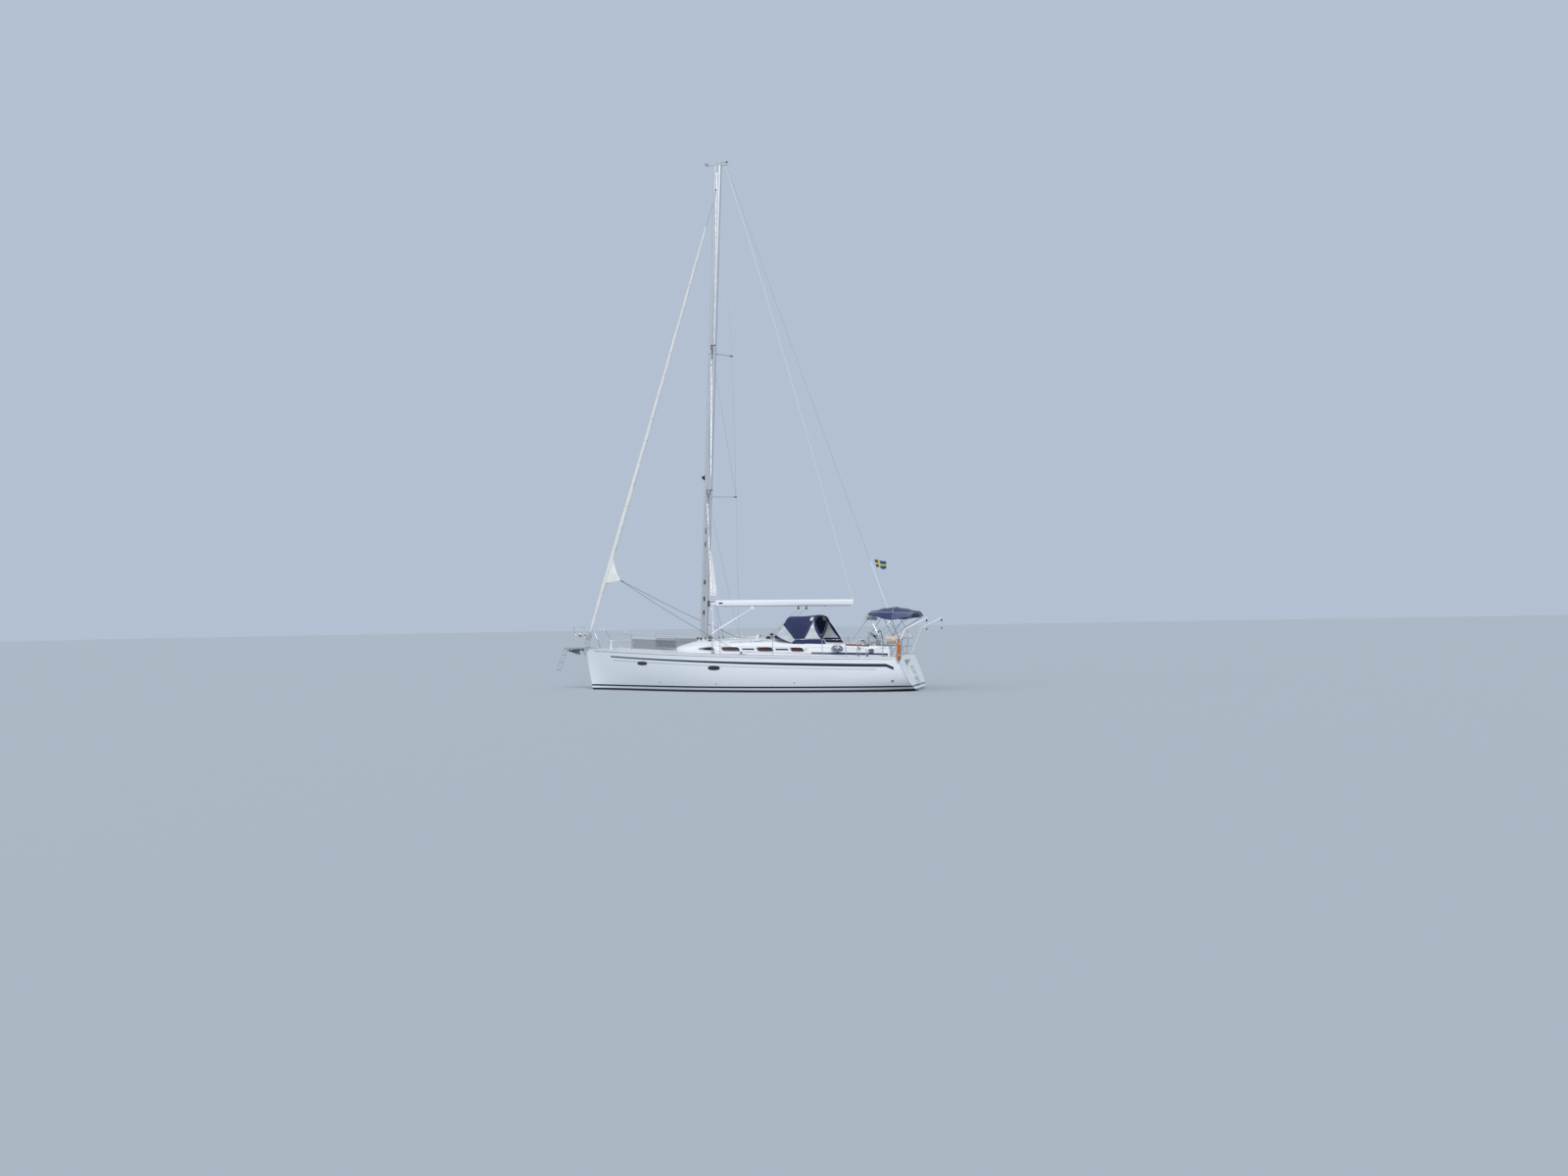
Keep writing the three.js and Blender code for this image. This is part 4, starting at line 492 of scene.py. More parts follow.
# %% [markdown]
# ## Dress the solids
# Most solids already have the right shape, so they only need their finish. Their triangles are
# separate and would look faceted. A small Geometry Nodes tree joins the triangles as it displays
# them, then shades smooth across every edge that bends less than a chosen angle.

# %% Start and end a node tree
def new_tree(name, inputs):
    """A Geometry Nodes tree with Geometry in and out, and named inputs (kind, value)."""
    print("tree:", name)
    tree = bpy.data.node_groups.new(name, "GeometryNodeTree")
    tree.interface.new_socket("Geometry", in_out="INPUT", socket_type="NodeSocketGeometry")
    for title, (kind, value) in inputs.items():
        socket = tree.interface.new_socket(title, in_out="INPUT", socket_type=kind)
        if value is not None:
            socket.default_value = value
    tree.interface.new_socket("Geometry", in_out="OUTPUT", socket_type="NodeSocketGeometry")
    return tree


def tree_start(tree):
    """The tree's inputs as wires by name."""
    node = tree.nodes.new("NodeGroupInput")
    return {socket.name: Wire(tree, socket) for socket in node.outputs if socket.name}


def tree_end(geometry):
    """Joins the tree's last wire to its output."""
    tree = geometry.tree
    tree.links.new(geometry.socket, tree.nodes.new("NodeGroupOutput").inputs[0])


def add_tree(obj, tree, values=None):
    """Adds the tree as a modifier and sets its inputs by their identifiers."""
    modifier = obj.modifiers.new(tree.name, "NODES")
    modifier.node_group = tree
    for item in tree.interface.items_tree:
        if item.in_out == "INPUT" and item.name in (values or {}):
            modifier[item.identifier] = values[item.name]
    return modifier


# %% Smooth the solids without changing them
WELD = 0.0002
CREASE_ANGLE = math.radians(28)
smoothing = new_tree("smooth_solid", {
    "Weld": ("NodeSocketFloat", WELD),
    "Crease": ("NodeSocketFloat", CREASE_ANGLE),
})
given = tree_start(smoothing)
welded = Wire(smoothing).add(
    "GeometryNodeMergeByDistance", inputs={"Geometry": given["Geometry"], "Distance": given["Weld"]})
smoothed = welded.add(
    "GeometryNodeSetShadeSmooth", {"domain": "FACE"}, {0: welded, "Shade Smooth": True})
bend = Wire(smoothing).add("GeometryNodeInputMeshEdgeAngle", output="Unsigned Angle")
soft_edge = bend.add(
    "FunctionNodeCompare", {"data_type": "FLOAT", "operation": "LESS_THAN"},
    {0: bend, 1: given["Crease"]})
shaded = smoothed.add(
    "GeometryNodeSetShadeSmooth", {"domain": "EDGE"}, {0: smoothed, "Shade Smooth": soft_edge})
tree_end(shaded)

# %% Choose each solid's finish
DRESS = {
    hull_paint: ["hull"],
    moulding: ["transom_recess", "fore_hatch", "saloon_hatch", "anchor_locker_lid",
               "companionway_hatch", "locker_lid_port", "locker_lid_starboard"],
    deck_paint: ["deck", "coachroof", "cockpit"],
    bottom_paint: ["keel", "rudder"],
    anodised: ["mast", "masthead_crane", "spreaders_lower", "spreaders_upper"],
    rail_metal: ["toe_rail"],
    white_paint: ["boom", "vang", "topping_lift", "davit_port", "davit_starboard", "pedestal"],
    steel: ["shrouds_port", "shrouds_starboard", "forestay", "backstay", "pulpit_port",
            "pulpit_starboard", "pushpit", "lifelines_port", "lifelines_starboard", "bow_ladder",
            "swim_ladder", "sprayhood_frame", "bimini_frame", "steering_wheel", "winch_port",
            "winch_starboard", "bow_platform"],
    black: ["gooseneck"],
    galvanised: ["anchor"],
    drive_paint: ["saildrive"],
    engine_paint: ["engine"],
    bronze: ["propeller"],
    wood: ["cabin_furniture"],
    door_wood: ["companionway_door_port", "companionway_door_starboard"],
    glass: ["window_strip_port", "window_strip_starboard"],
    canvas: ["sprayhood", "bimini"],
    sailcloth: ["furled_genoa", "mainsail_clew", "line_reel", "ensign"],
    netting: ["foredeck_net_port", "foredeck_net_starboard"],
    orange: ["rescue_sling"],
}
ROUND_RAILS = {"pulpit_port", "pulpit_starboard", "pushpit", "sprayhood_frame", "bimini_frame",
               "davit_port", "davit_starboard", "bow_ladder", "swim_ladder", "lifelines_port",
               "lifelines_starboard", "topping_lift", "steering_wheel"}
RAIL_CREASE = math.radians(65)

# %% Give each solid its finish
for finish, names in DRESS.items():
    for name in names:
        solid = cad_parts[name]
        for place in solid.material_slots:
            place.material = finish.material
        add_tree(solid, smoothing, {"Crease": RAIL_CREASE if name in ROUND_RAILS else CREASE_ANGLE})
dressed = {name for names in DRESS.values() for name in names}
print("solids not dressed:", sorted(set(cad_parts) - dressed))

# %% [markdown]
# ## Tools for small shapes
# Fittings are mostly turned, bent or moulded: lathe shapes, tubes along a path and blocks with
# rounded edges. One class collects such shapes in a mesh, so a handful of cleats is one
# piece. Paths and rows are Geometry Nodes trees further on.

# %% Name the two sides and a step up
SIDES = ((1, "port"), (-1, "starboard"))


def up(height):
    """A step straight up, to be added to a place."""
    return Vector((0, 0, height))


# %% Collect shapes in a mesh
class Shape:
    """A mesh in the making. Every method adds a closed shape at its real place."""

    def __init__(self):
        self.mesh = bmesh.new()

    def rings(self, rings, caps=True, around=True):
        """Joins rings of equally many points, one after the other."""
        rows = [[self.mesh.verts.new(point) for point in ring] for ring in rings]
        count = len(rows[0])
        for first, second in zip(rows, rows[1:]):
            for i in range(count if around else count - 1):
                j = (i + 1) % count
                self.mesh.faces.new((first[i], first[j], second[j], second[i]))
        if caps:
            self.mesh.faces.new(rows[0][::-1])
            self.mesh.faces.new(rows[-1])
        return self

    def tube(self, path, radius, sides=10):
        """A round bar along a path; radius is a number or one number for each point."""
        path = [Vector(point) for point in path]
        radii = radius if isinstance(radius, (list, tuple)) else [radius] * len(path)
        return self.rings([ring_at(path, i, radii[i], sides) for i in range(len(path))])

    def turned(self, profile, foot, axis=(0, 0, 1), sides=20):
        """A lathe shape: profile rows are (radius, distance along the axis from foot)."""
        turn = up(1).rotation_difference(Vector(axis)).to_matrix()
        rings = []
        for radius, distance in profile:
            ring = []
            for i in range(sides):
                angle = math.tau * i / sides
                local = Vector((radius * math.cos(angle), radius * math.sin(angle), distance))
                ring.append(Vector(foot) + turn @ local)
            rings.append(ring)
        return self.rings(rings)

    def block(self, centre, size, edge=0.004, turn=(0, 0, 0), taper=1.0):
        """A box with rounded edges; turn is in degrees and taper narrows its top."""
        part = bmesh.new()
        bmesh.ops.create_cube(part, size=1.0)
        for vertex in part.verts:
            narrow = taper if vertex.co.z > 0 else 1.0
            vertex.co = Vector((vertex.co.x * size[0] * narrow, vertex.co.y * size[1] * narrow,
                                vertex.co.z * size[2]))
        rounded = min(edge, min(size) * 0.45)
        bmesh.ops.bevel(part, geom=part.edges[:], offset=rounded, segments=2, affect="EDGES",
                        profile=0.6)
        angles = [math.radians(angle) for angle in turn]
        spin = Matrix.Rotation(angles[2], 4, "Z") @ Matrix.Rotation(angles[1], 4, "Y")
        spin = Matrix.Translation(centre) @ spin @ Matrix.Rotation(angles[0], 4, "X")
        part.transform(spin)
        return self.merge(part)

    def plate(self, outline, thickness, edge=0.0015):
        """A flat plate: outline's points lie in one plane and it grows both ways from it."""
        normal = (Vector(outline[1]) - Vector(outline[0])).cross(
            Vector(outline[2]) - Vector(outline[1])).normalized() * (thickness / 2)
        part = Shape().rings([[Vector(p) - normal for p in outline],
                              [Vector(p) + normal for p in outline]]).mesh
        bmesh.ops.bevel(part, geom=part.edges[:], offset=edge, segments=1, affect="EDGES")
        return self.merge(part)

    def merge(self, part):
        carrier = bpy.data.meshes.new("part")
        part.to_mesh(carrier)
        part.free()
        self.mesh.from_mesh(carrier)
        bpy.data.meshes.remove(carrier)
        return self

    def piece(self, name, finish, body="yacht", slot=None, crease=35, bevel=0.0):
        """Turns the shapes into a finished piece that rides on a body."""
        bmesh.ops.remove_doubles(self.mesh, verts=self.mesh.verts[:], dist=0.00002)
        bmesh.ops.recalc_face_normals(self.mesh, faces=self.mesh.faces[:])
        data = bpy.data.meshes.new(name)
        self.mesh.to_mesh(data)
        self.mesh.free()
        return finished(name, data, finish, body, slot, crease, bevel)


# %% Shade a piece and tie it to its body
def ring_at(path, i, radius, sides):
    """A round section of a path, square to it and never twisted."""
    along = (path[min(i + 1, len(path) - 1)] - path[max(i - 1, 0)]).normalized()
    side = along.cross(Vector((0.0123, 0.0457, 1.0)))
    side = side.normalized() if side.length > 0.08 else along.cross(Vector((0, 1, 0))).normalized()
    top = side.cross(along)
    turns = [math.tau * k / sides for k in range(sides)]
    return [path[i] + side * (math.cos(a) * radius) + top * (math.sin(a) * radius) for a in turns]


def finished(name, data, finish, body, slot=None, crease=35, bevel=0.0):
    """An object from a mesh, with its finish, its shading and its body. Its slot is not used."""
    obj = bpy.data.objects.new(name, data)
    bpy.context.collection.objects.link(obj)
    data.materials.clear()
    data.materials.append(finish.material)
    data.shade_smooth()
    data.set_sharp_from_angle(angle=math.radians(crease))
    if bevel:
        rounding = obj.modifiers.new("rounding", "BEVEL")
        rounding.width = bevel
        rounding.segments = 2
    slot = finish.slot if slot is None else slot
    if body:
        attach(obj, body)
    print("piece:", name, "with", len(data.polygons), "faces")
    return obj


def thicken(cloth, thickness):
    """Gives a sheet its thickness, half to each side."""
    body = cloth.modifiers.new("thickness", "SOLIDIFY")
    body.thickness = thickness
    body.offset = 0


# %% Find points between two ends and on arcs
def between(a, b, share):
    """A point or number part of the way from a to b."""
    return Vector(a).lerp(Vector(b), share) if hasattr(a, "__len__") else a + (b - a) * share


def arc(centre, radius, start, end, steps, plane="xz"):
    """Points on a round arc; angles in degrees, in the plane named by two axes."""
    points = []
    for i in range(steps + 1):
        angle = math.radians(start + (end - start) * i / steps)
        point = Vector(centre)
        point["xyz".index(plane[0])] += radius * math.cos(angle)
        point["xyz".index(plane[1])] += radius * math.sin(angle)
        points.append(point)
    return points


# %% Find where a solid's surface is
TREES = {}


def surface(name, start, direction=(0, 0, -1)):
    """Where a straight line from start first meets a solid, and the way its surface faces."""
    if name not in TREES:
        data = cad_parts[name].data
        points = [vertex.co for vertex in data.vertices]
        TREES[name] = BVHTree.FromPolygons(points, [tuple(face.vertices) for face in data.polygons])
    place, normal, _, _ = TREES[name].ray_cast(Vector(start), Vector(direction))
    if place is None:
        raise ValueError(f"nothing of {name} lies that way from {tuple(start)}")
    return place, normal


def deck_at(x, y):
    return surface("deck", (x, y, 3.0))[0]


def roof_at(x, y):
    return surface("coachroof", (x, y, 3.0))[0]


STANCHIONS = (4.080, 2.060, 0.310, -1.660, -3.430, -4.250)


def post_at(x, side, lift=0.12):
    """The middle of a lifeline post at a height above the deck beside it."""
    name = "lifelines_port" if side > 0 else "lifelines_starboard"
    inner = surface(name, (x, 0, 1.62), (0, side, 0))[0]
    middle = inner.y + side * 0.012
    return Vector((x, middle, deck_at(x, middle - side * 0.02).z + lift))


print("deck amidships:", deck_at(2.0, 1.6).z, "roof:", roof_at(0.5, 0.0).z)

# %% [markdown]
# ## Ropes, wires and rows
# A rope, a wire or a seam is a section carried along a path, and stitches or bolts are one shape
# repeated along it. Both are Geometry Nodes trees with their sizes as named inputs: the first
# sweeps a circle, the second sets a small shape at even steps and turns it along the path.

# %% Build the tree that sweeps a rope along a path
rope_tree = new_tree("rope_on_path", {
    "Radius": ("NodeSocketFloat", 0.005),
    "Step": ("NodeSocketFloat", 0.05),
    "Sides": ("NodeSocketInt", 8),
    "Finish": ("NodeSocketMaterial", None),
})
given = tree_start(rope_tree)
spaced = given["Geometry"].add(
    "GeometryNodeResampleCurve", {"mode": "LENGTH"},
    {"Curve": given["Geometry"], "Length": given["Step"]})
section = spaced.add(
    "GeometryNodeCurvePrimitiveCircle", inputs={"Resolution": given["Sides"],
                                                "Radius": given["Radius"]})
swept = spaced.add(
    "GeometryNodeCurveToMesh",
    inputs={"Curve": spaced, "Profile Curve": section, "Fill Caps": True})
whole = swept.add("GeometryNodeRealizeInstances", inputs={"Geometry": swept})
tree_end(whole.add(
    "GeometryNodeSetMaterial", inputs={"Geometry": whole, "Material": given["Finish"]}))

# %% Build the tree that repeats a shape along a path
row_tree = new_tree("row_on_path", {
    "Step": ("NodeSocketFloat", 0.02),
    "Shape": ("NodeSocketObject", None),
    "Finish": ("NodeSocketMaterial", None),
})
given = tree_start(row_tree)
stations = given["Geometry"].add(
    "GeometryNodeResampleCurve", {"mode": "LENGTH"},
    {"Curve": given["Geometry"], "Length": given["Step"]})
tangent = stations.add("GeometryNodeInputTangent")
facing = stations.add(
    "FunctionNodeAlignEulerToVector", {"axis": "X"}, {"Vector": tangent})
shape = stations.add("GeometryNodeObjectInfo", inputs={"Object": given["Shape"]}, output="Geometry")
copies = stations.add(
    "GeometryNodeInstanceOnPoints",
    inputs={"Points": stations, "Instance": shape, "Rotation": facing})
real = copies.add("GeometryNodeRealizeInstances", inputs={"Geometry": copies})
tree_end(real.add("GeometryNodeSetMaterial", inputs={"Geometry": real, "Material": given["Finish"]}))


# %% Turn paths into pieces
def path_curve(name, paths, closed=False):
    """A curve object whose splines are straight runs between the given points."""
    data = bpy.data.curves.new(name, "CURVE")
    data.dimensions = "3D"
    for path in paths:
        spline = data.splines.new("POLY")
        spline.points.add(len(path) - 1)
        for point, place in zip(spline.points, path):
            point.co = (*place, 1.0)
        spline.use_cyclic_u = closed
    obj = bpy.data.objects.new(name, data)
    bpy.context.collection.objects.link(obj)
    return obj


def grown(source, tree, values):
    """The plain mesh that a Geometry Nodes tree makes from a source, which is then removed."""
    add_tree(source, tree, values)
    depsgraph = bpy.context.evaluated_depsgraph_get()
    depsgraph.update()
    data = bpy.data.meshes.new_from_object(source.evaluated_get(depsgraph))
    data.name = source.name
    bpy.data.objects.remove(source)
    return data


# %% Make ropes and rows
def ropes(name, paths, radius, finish, body="yacht", step=0.08, sides=8, slot=None):
    """Ropes, wires or seams of one size, as one piece."""
    values = {"Radius": radius, "Step": step, "Sides": sides, "Finish": finish.material}
    data = grown(path_curve(name, paths), rope_tree, values)
    return finished(name, data, finish, body, slot)


def row(name, paths, step, shape, finish, body="yacht", closed=False):
    """One shape repeated along paths, as one piece. The shape lies along X at the origin."""
    values = {"Step": step, "Shape": shape, "Finish": finish.material}
    data = grown(path_curve(name, paths, closed), row_tree, values)
    return finished(name, data, finish, body, slot="")


def pattern(name, shape):
    """A shape to be repeated. It is kept out of the scene once its rows are made."""
    data = bpy.data.meshes.new(name)
    bmesh.ops.recalc_face_normals(shape.mesh, faces=shape.mesh.faces[:])
    shape.mesh.to_mesh(data)
    shape.mesh.free()
    return bpy.data.objects.new(name, data)


# %% Let a line sag and mirror it
def sagging(start, end, sag, steps=16):
    """A line between two points that hangs down by sag in its middle."""
    points = []
    for i in range(steps + 1):
        share = i / steps
        drop = up(4 * sag * share * (1 - share))
        points.append(Vector(start).lerp(Vector(end), share) - drop)
    return points


def both_sides(points):
    """The same points and their mirror image to starboard."""
    mirrored = [Vector((p[0], -p[1], p[2])) for p in map(Vector, points)]
    return [list(map(Vector, points)), mirrored]

# %% [markdown]
# ## The sprayhood
# A sprayhood is a sewn tent over bent tubes: clear windows in front and at the sides, canvas
# between. Each tube gives an arch, and the cloth is one sheet lofted through the arches, a little
# slack between them. Windows and the worn patch are in the finish, because they are sewn into
# the same sheet. Seams are thin piping on top.

# %% Bend the sprayhood's arches
ARCH_POWER = 2 / 3.4
ARCH_TOP_LEAN = 0.78
ARCH_LEAN_IN = 0.1
# Columns: foot x, foot y, foot z, top x, top z
HOOD_ARCHES = [
    (-2.300, 1.250, 1.668, -1.400, 1.965),
    (-2.390, 1.262, 1.668, -1.850, 2.650),
    (-2.500, 1.262, 1.668, -2.860, 2.690),
    (-3.390, 1.240, 1.660, -2.950, 2.660),
]
HOOD_STEPS = 14
HOOD_AROUND = 96
HOOD_FINE = 600
HOOD_MIDDLE = Vector((-2.35, 0, 1.75))
CANVAS_THICK = 0.002


def arch_point(arch, angle):
    """A point on an arch; angle 0 is its port foot and 180 degrees its starboard foot."""
    foot_x, foot_y, foot_z, top_x, top_z = arch
    across = math.copysign(abs(math.cos(angle)) ** ARCH_POWER, math.cos(angle))
    rise = max(math.sin(angle), 0.0) ** ARCH_POWER
    return Vector((
        foot_x + (top_x - foot_x) * min(rise / ARCH_TOP_LEAN, 1),
        across * foot_y * (1 - ARCH_LEAN_IN * rise),
        foot_z + (top_z - foot_z) * rise,
    ))


# %% Space points evenly along a line
def evenly(points, count):
    """count + 1 points at equal steps along a line of many points."""
    lengths = [0.0]
    for a, b in zip(points, points[1:]):
        lengths.append(lengths[-1] + (b - a).length)
    spread = []
    i = 0
    for k in range(count + 1):
        target = lengths[-1] * k / count
        while i < len(points) - 2 and lengths[i + 1] < target:
            i += 1
        share = (target - lengths[i]) / max(lengths[i + 1] - lengths[i], 1e-9)
        spread.append(points[i].lerp(points[i + 1], min(max(share, 0), 1)))
    return spread


def hood_line(station):
    """The sprayhood's arch at a station from 0, its front edge, to 3, its aft edge."""
    i = min(int(station), 2)
    arch = [between(a, b, station - i) for a, b in zip(HOOD_ARCHES[i], HOOD_ARCHES[i + 1])]
    dense = [arch_point(arch, math.pi * k / HOOD_FINE) for k in range(HOOD_FINE + 1)]
    return evenly(dense, HOOD_AROUND)


# %% Let the cloth hang between its arches
PANEL_SLACK = 0.014
PULL_DEPTH = 0.0025


def hood_slack(station, around):
    """How far the cloth hangs in, in metres: slack between tubes and small pulls at the feet."""
    panel = math.sin(math.pi * (station % 1.0)) ** 2
    pulls = math.sin(around * 61 + station * 9) * math.sin(station * 23 + around * 17)
    return panel * PANEL_SLACK + pulls * PULL_DEPTH * panel


# %% Make a sheet from rows of points
def sheet_mesh(name, grid, coordinates):
    """A mesh from rows of points, with a UV map from the same rows of (u, v)."""
    data = bpy.data.meshes.new(name)
    wide = len(grid[0])
    faces = [(r * wide + c, r * wide + c + 1, (r + 1) * wide + c + 1, (r + 1) * wide + c)
             for r in range(len(grid) - 1) for c in range(wide - 1)]
    data.from_pydata([point for line in grid for point in line], [], faces)
    flat = [pair for line in coordinates for pair in line]
    layer = data.uv_layers.new(name="UVMap")
    for loop in data.loops:
        layer.data[loop.index].uv = flat[loop.vertex_index]
    return data


# %% Loft the sprayhood through its arches
stations = [3.0 * i / (3 * HOOD_STEPS) for i in range(3 * HOOD_STEPS + 1)]
hood_grid = []
hood_uv = []
for station in stations:
    hood_grid.append([point + (HOOD_MIDDLE - point).normalized() * hood_slack(station, k / HOOD_AROUND)
                      for k, point in enumerate(hood_line(station))])
    hood_uv.append([(station, k / HOOD_AROUND) for k in range(HOOD_AROUND + 1)])
hood_data = sheet_mesh("sprayhood_cloth", hood_grid, hood_uv)

# %% Draw the windows and the patch on the cloth
# Columns: share of the way up from the foot where the window starts and ends, then the middle and
# the half length of its lower edge and of its upper edge, counted in stations
HOOD_WINDOWS = [
    (0.045, 0.285, 0.52, 0.46, 0.52, 0.30),
    (0.335, 0.500, 0.52, 0.38, 0.52, 0.38),
    (0.050, 0.245, 2.47, 0.44, 2.36, 0.13),
]
HOOD_PATCH = (0.245, 0.310, 1.97, 0.09, 1.97, 0.09)
hood_cloth = Finish("sprayhood_cloth", 0.8, slot="navy_canvas")
along, around = hood_cloth.sewn()
up_side = 0.5 - abs(around - 0.5)


def sewn_field(shape):
    """1 inside a tapered shape drawn on both sides of the cloth."""
    low, high, low_middle, low_half, high_middle, high_half = shape
    share = (up_side - low) / (high - low)
    middle = share * (high_middle - low_middle) + low_middle
    half = share * (high_half - low_half) + low_half
    across_field = (abs(along - middle) - half).fade(-0.006, 0.006, 1.0, 0.0)
    return across_field * up_side.fade(low - 0.001, low + 0.001) * up_side.fade(
        high - 0.001, high + 0.001, 1.0, 0.0)


# %% Sew and hang the sprayhood
clear = sewn_field(HOOD_WINDOWS[0])
for window in HOOD_WINDOWS[1:]:
    clear = clear.most(sewn_field(window))
patch = sewn_field(HOOD_PATCH)
faded = hood_cloth.noise(2.0, detail=4.0)
navy = faded.mix(colour(0.008, 0.014, 0.055), colour(0.018, 0.030, 0.105))
misty = hood_cloth.noise(3.0, (1, 1, 2.0), 3.0)
film = misty.mix(colour(0.50, 0.53, 0.57), colour(0.80, 0.82, 0.84))
sewn = patch.mix(navy, colour(0.62, 0.55, 0.45))
hood_cloth.paint(clear.mix(sewn, film))
hood_cloth.shine(0.85 - clear * 0.72)
(1.0 - clear * (0.42 - misty * 0.25)).feeds(hood_cloth.shader, "Alpha")
rippled = misty * clear + weave(hood_cloth.x, hood_cloth.y + hood_cloth.z) * (1 - clear)
hood_cloth.relief(rippled, 0.0016, 0.5)
hood = finished("sprayhood_cloth", hood_data, hood_cloth, None, crease=80)
thicken(hood, CANVAS_THICK)
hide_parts("sprayhood")
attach(hood, "yacht")

# %% Sew the piping and the stitches on the sprayhood
PIPING = 0.006
STITCH_STEP = 0.028
LIFT = 0.003


def hood_spot(station, around, lift=LIFT):
    """A point just outside the cloth at a station and a share of the way round."""
    line = hood_line(min(max(station, 0.0), 3.0))
    k = around * HOOD_AROUND
    i = min(int(k), HOOD_AROUND - 1)
    point = line[i].lerp(line[i + 1], k - i)
    inward = (HOOD_MIDDLE - point).normalized()
    return point + inward * (hood_slack(station, around) - lift)


def window_outline(shape, starboard):
    """The line round a window on one side of the cloth."""
    low, high, low_middle, low_half, high_middle, high_half = shape
    corners = [(low_middle - low_half, low), (low_middle + low_half, low),
               (high_middle + high_half, high), (high_middle - high_half, high)]
    points = []
    for (u0, v0), (u1, v1) in zip(corners, corners[1:] + corners[:1]):
        for i in range(20):
            around = between(v0, v1, i / 20)
            points.append(hood_spot(between(u0, u1, i / 20), 1 - around if starboard else around))
    return points + [points[0]]


seams = [[hood_spot(station, k / 120) for k in range(121)] for station in (0.0, 1.0, 2.0, 3.0)]
seams += [window_outline(window, far) for window in HOOD_WINDOWS for far in (False, True)]
ropes("sprayhood_piping", seams, PIPING, canvas, step=0.03, sides=6)
stitch = pattern("stitch", Shape().block((0, 0, 0), (0.012, 0.0022, 0.0022), 0.0008))
thread = grained("white_thread", 0.6, (300.0,), (0.55, 0.56, 0.58), (0.72, 0.73, 0.74), slot="sailcloth")
stitch_rows = [[hood_spot(s, k / 120, 0.006) for k in range(121)] for s in (0.96, 1.04, 1.97, 2.03)]
row("sprayhood_stitches", stitch_rows, STITCH_STEP, stitch, thread)
print("sprayhood seams:", len(seams), "stitch rows:", len(stitch_rows))

# %% [markdown]
# ## The bimini
# The sun roof over the helm is one sheet over four bows, with cream piping along its seams, a
# slot where the backstay passes and a rolled visor laced to its front bow. Its crown follows a
# rule: flat amidships and falling faster towards its edges. So the same rule lofts the cloth here.

# %% Stretch the bimini over its bows
BIMINI_HALF = 1.090
# Columns: x, height on the centreline, height at the edge
BIMINI_BOWS = [
    (-4.890, 2.800, 2.670),
    (-5.250, 2.890, 2.580),
    (-5.660, 2.930, 2.480),
    (-6.050, 2.860, 2.530),
    (-6.420, 2.760, 2.590),
]
BIMINI_FALL = 2.6
BIMINI_LAST = 4.0
BIMINI_STEPS = 10
BIMINI_ACROSS = 60
BACKSTAY_SLOT_HALF = 0.048


def bimini_spot(station, across, lift=0.0):
    """A point on the bimini: station 0 is its front edge, and across runs from -1 to 1."""
    i = min(int(station), 3)
    x, crown, edge = [between(a, b, station - i) for a, b in zip(BIMINI_BOWS[i], BIMINI_BOWS[i + 1])]
    slack = math.sin(math.pi * (station % 1.0)) ** 2
    crease = math.sin(across * 19 + station * 7) * math.sin(station * 11) * 0.003
    fall = (crown - edge) * abs(across) ** BIMINI_FALL
    height = crown - fall - slack * (0.012 + 0.006 * abs(across)) + crease * slack
    return Vector((x, across * BIMINI_HALF * (1 - slack * 0.012), height + lift))


bimini_grid = []
bimini_uv = []
lines = 4 * BIMINI_STEPS
shares = [2 * k / BIMINI_ACROSS - 1 for k in range(BIMINI_ACROSS + 1)]
for i in range(lines + 1):
    station = BIMINI_LAST * i / lines
    bimini_grid.append([bimini_spot(station, across) for across in shares])
    bimini_uv.append([(station, across) for across in shares])
bimini_data = sheet_mesh("bimini_cloth", bimini_grid, bimini_uv)

# %% Cut the slot where the backstay passes
backstay_low = surface("backstay", (-7.0, 0, 2.88), (1, 0, 0))[0]
cutter = bmesh.new()
cutter.from_mesh(bimini_data)
slot_faces = [face for face in cutter.faces
              if (face.calc_center_median() - backstay_low).to_2d().length < BACKSTAY_SLOT_HALF]
bmesh.ops.delete(cutter, geom=slot_faces, context="FACES")
cutter.to_mesh(bimini_data)
cutter.free()

# %% Dye and hang the bimini
bimini_cloth = Finish("bimini_cloth", 0.85, Sheen_Weight=0.2, slot="navy_canvas")
fore_aft, across = bimini_cloth.sewn()
faded = bimini_cloth.noise(2.4, detail=4.0)
dark = faded.mix(colour(0.010, 0.018, 0.070), colour(0.022, 0.036, 0.120))
pale = faded.mix(colour(0.040, 0.060, 0.150), colour(0.070, 0.095, 0.200))
aft_panel = fore_aft.fade(2.05, 2.10) * abs(across).fade(0.70, 0.72)
bimini_cloth.paint(aft_panel.mix(dark, pale))
bimini_cloth.relief(weave(bimini_cloth.x, bimini_cloth.y) + faded * 2.0, 0.0012, 0.5)
bimini = finished("bimini_cloth", bimini_data, bimini_cloth, None, crease=80)
thicken(bimini, CANVAS_THICK)
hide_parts("bimini")
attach(bimini, "yacht")

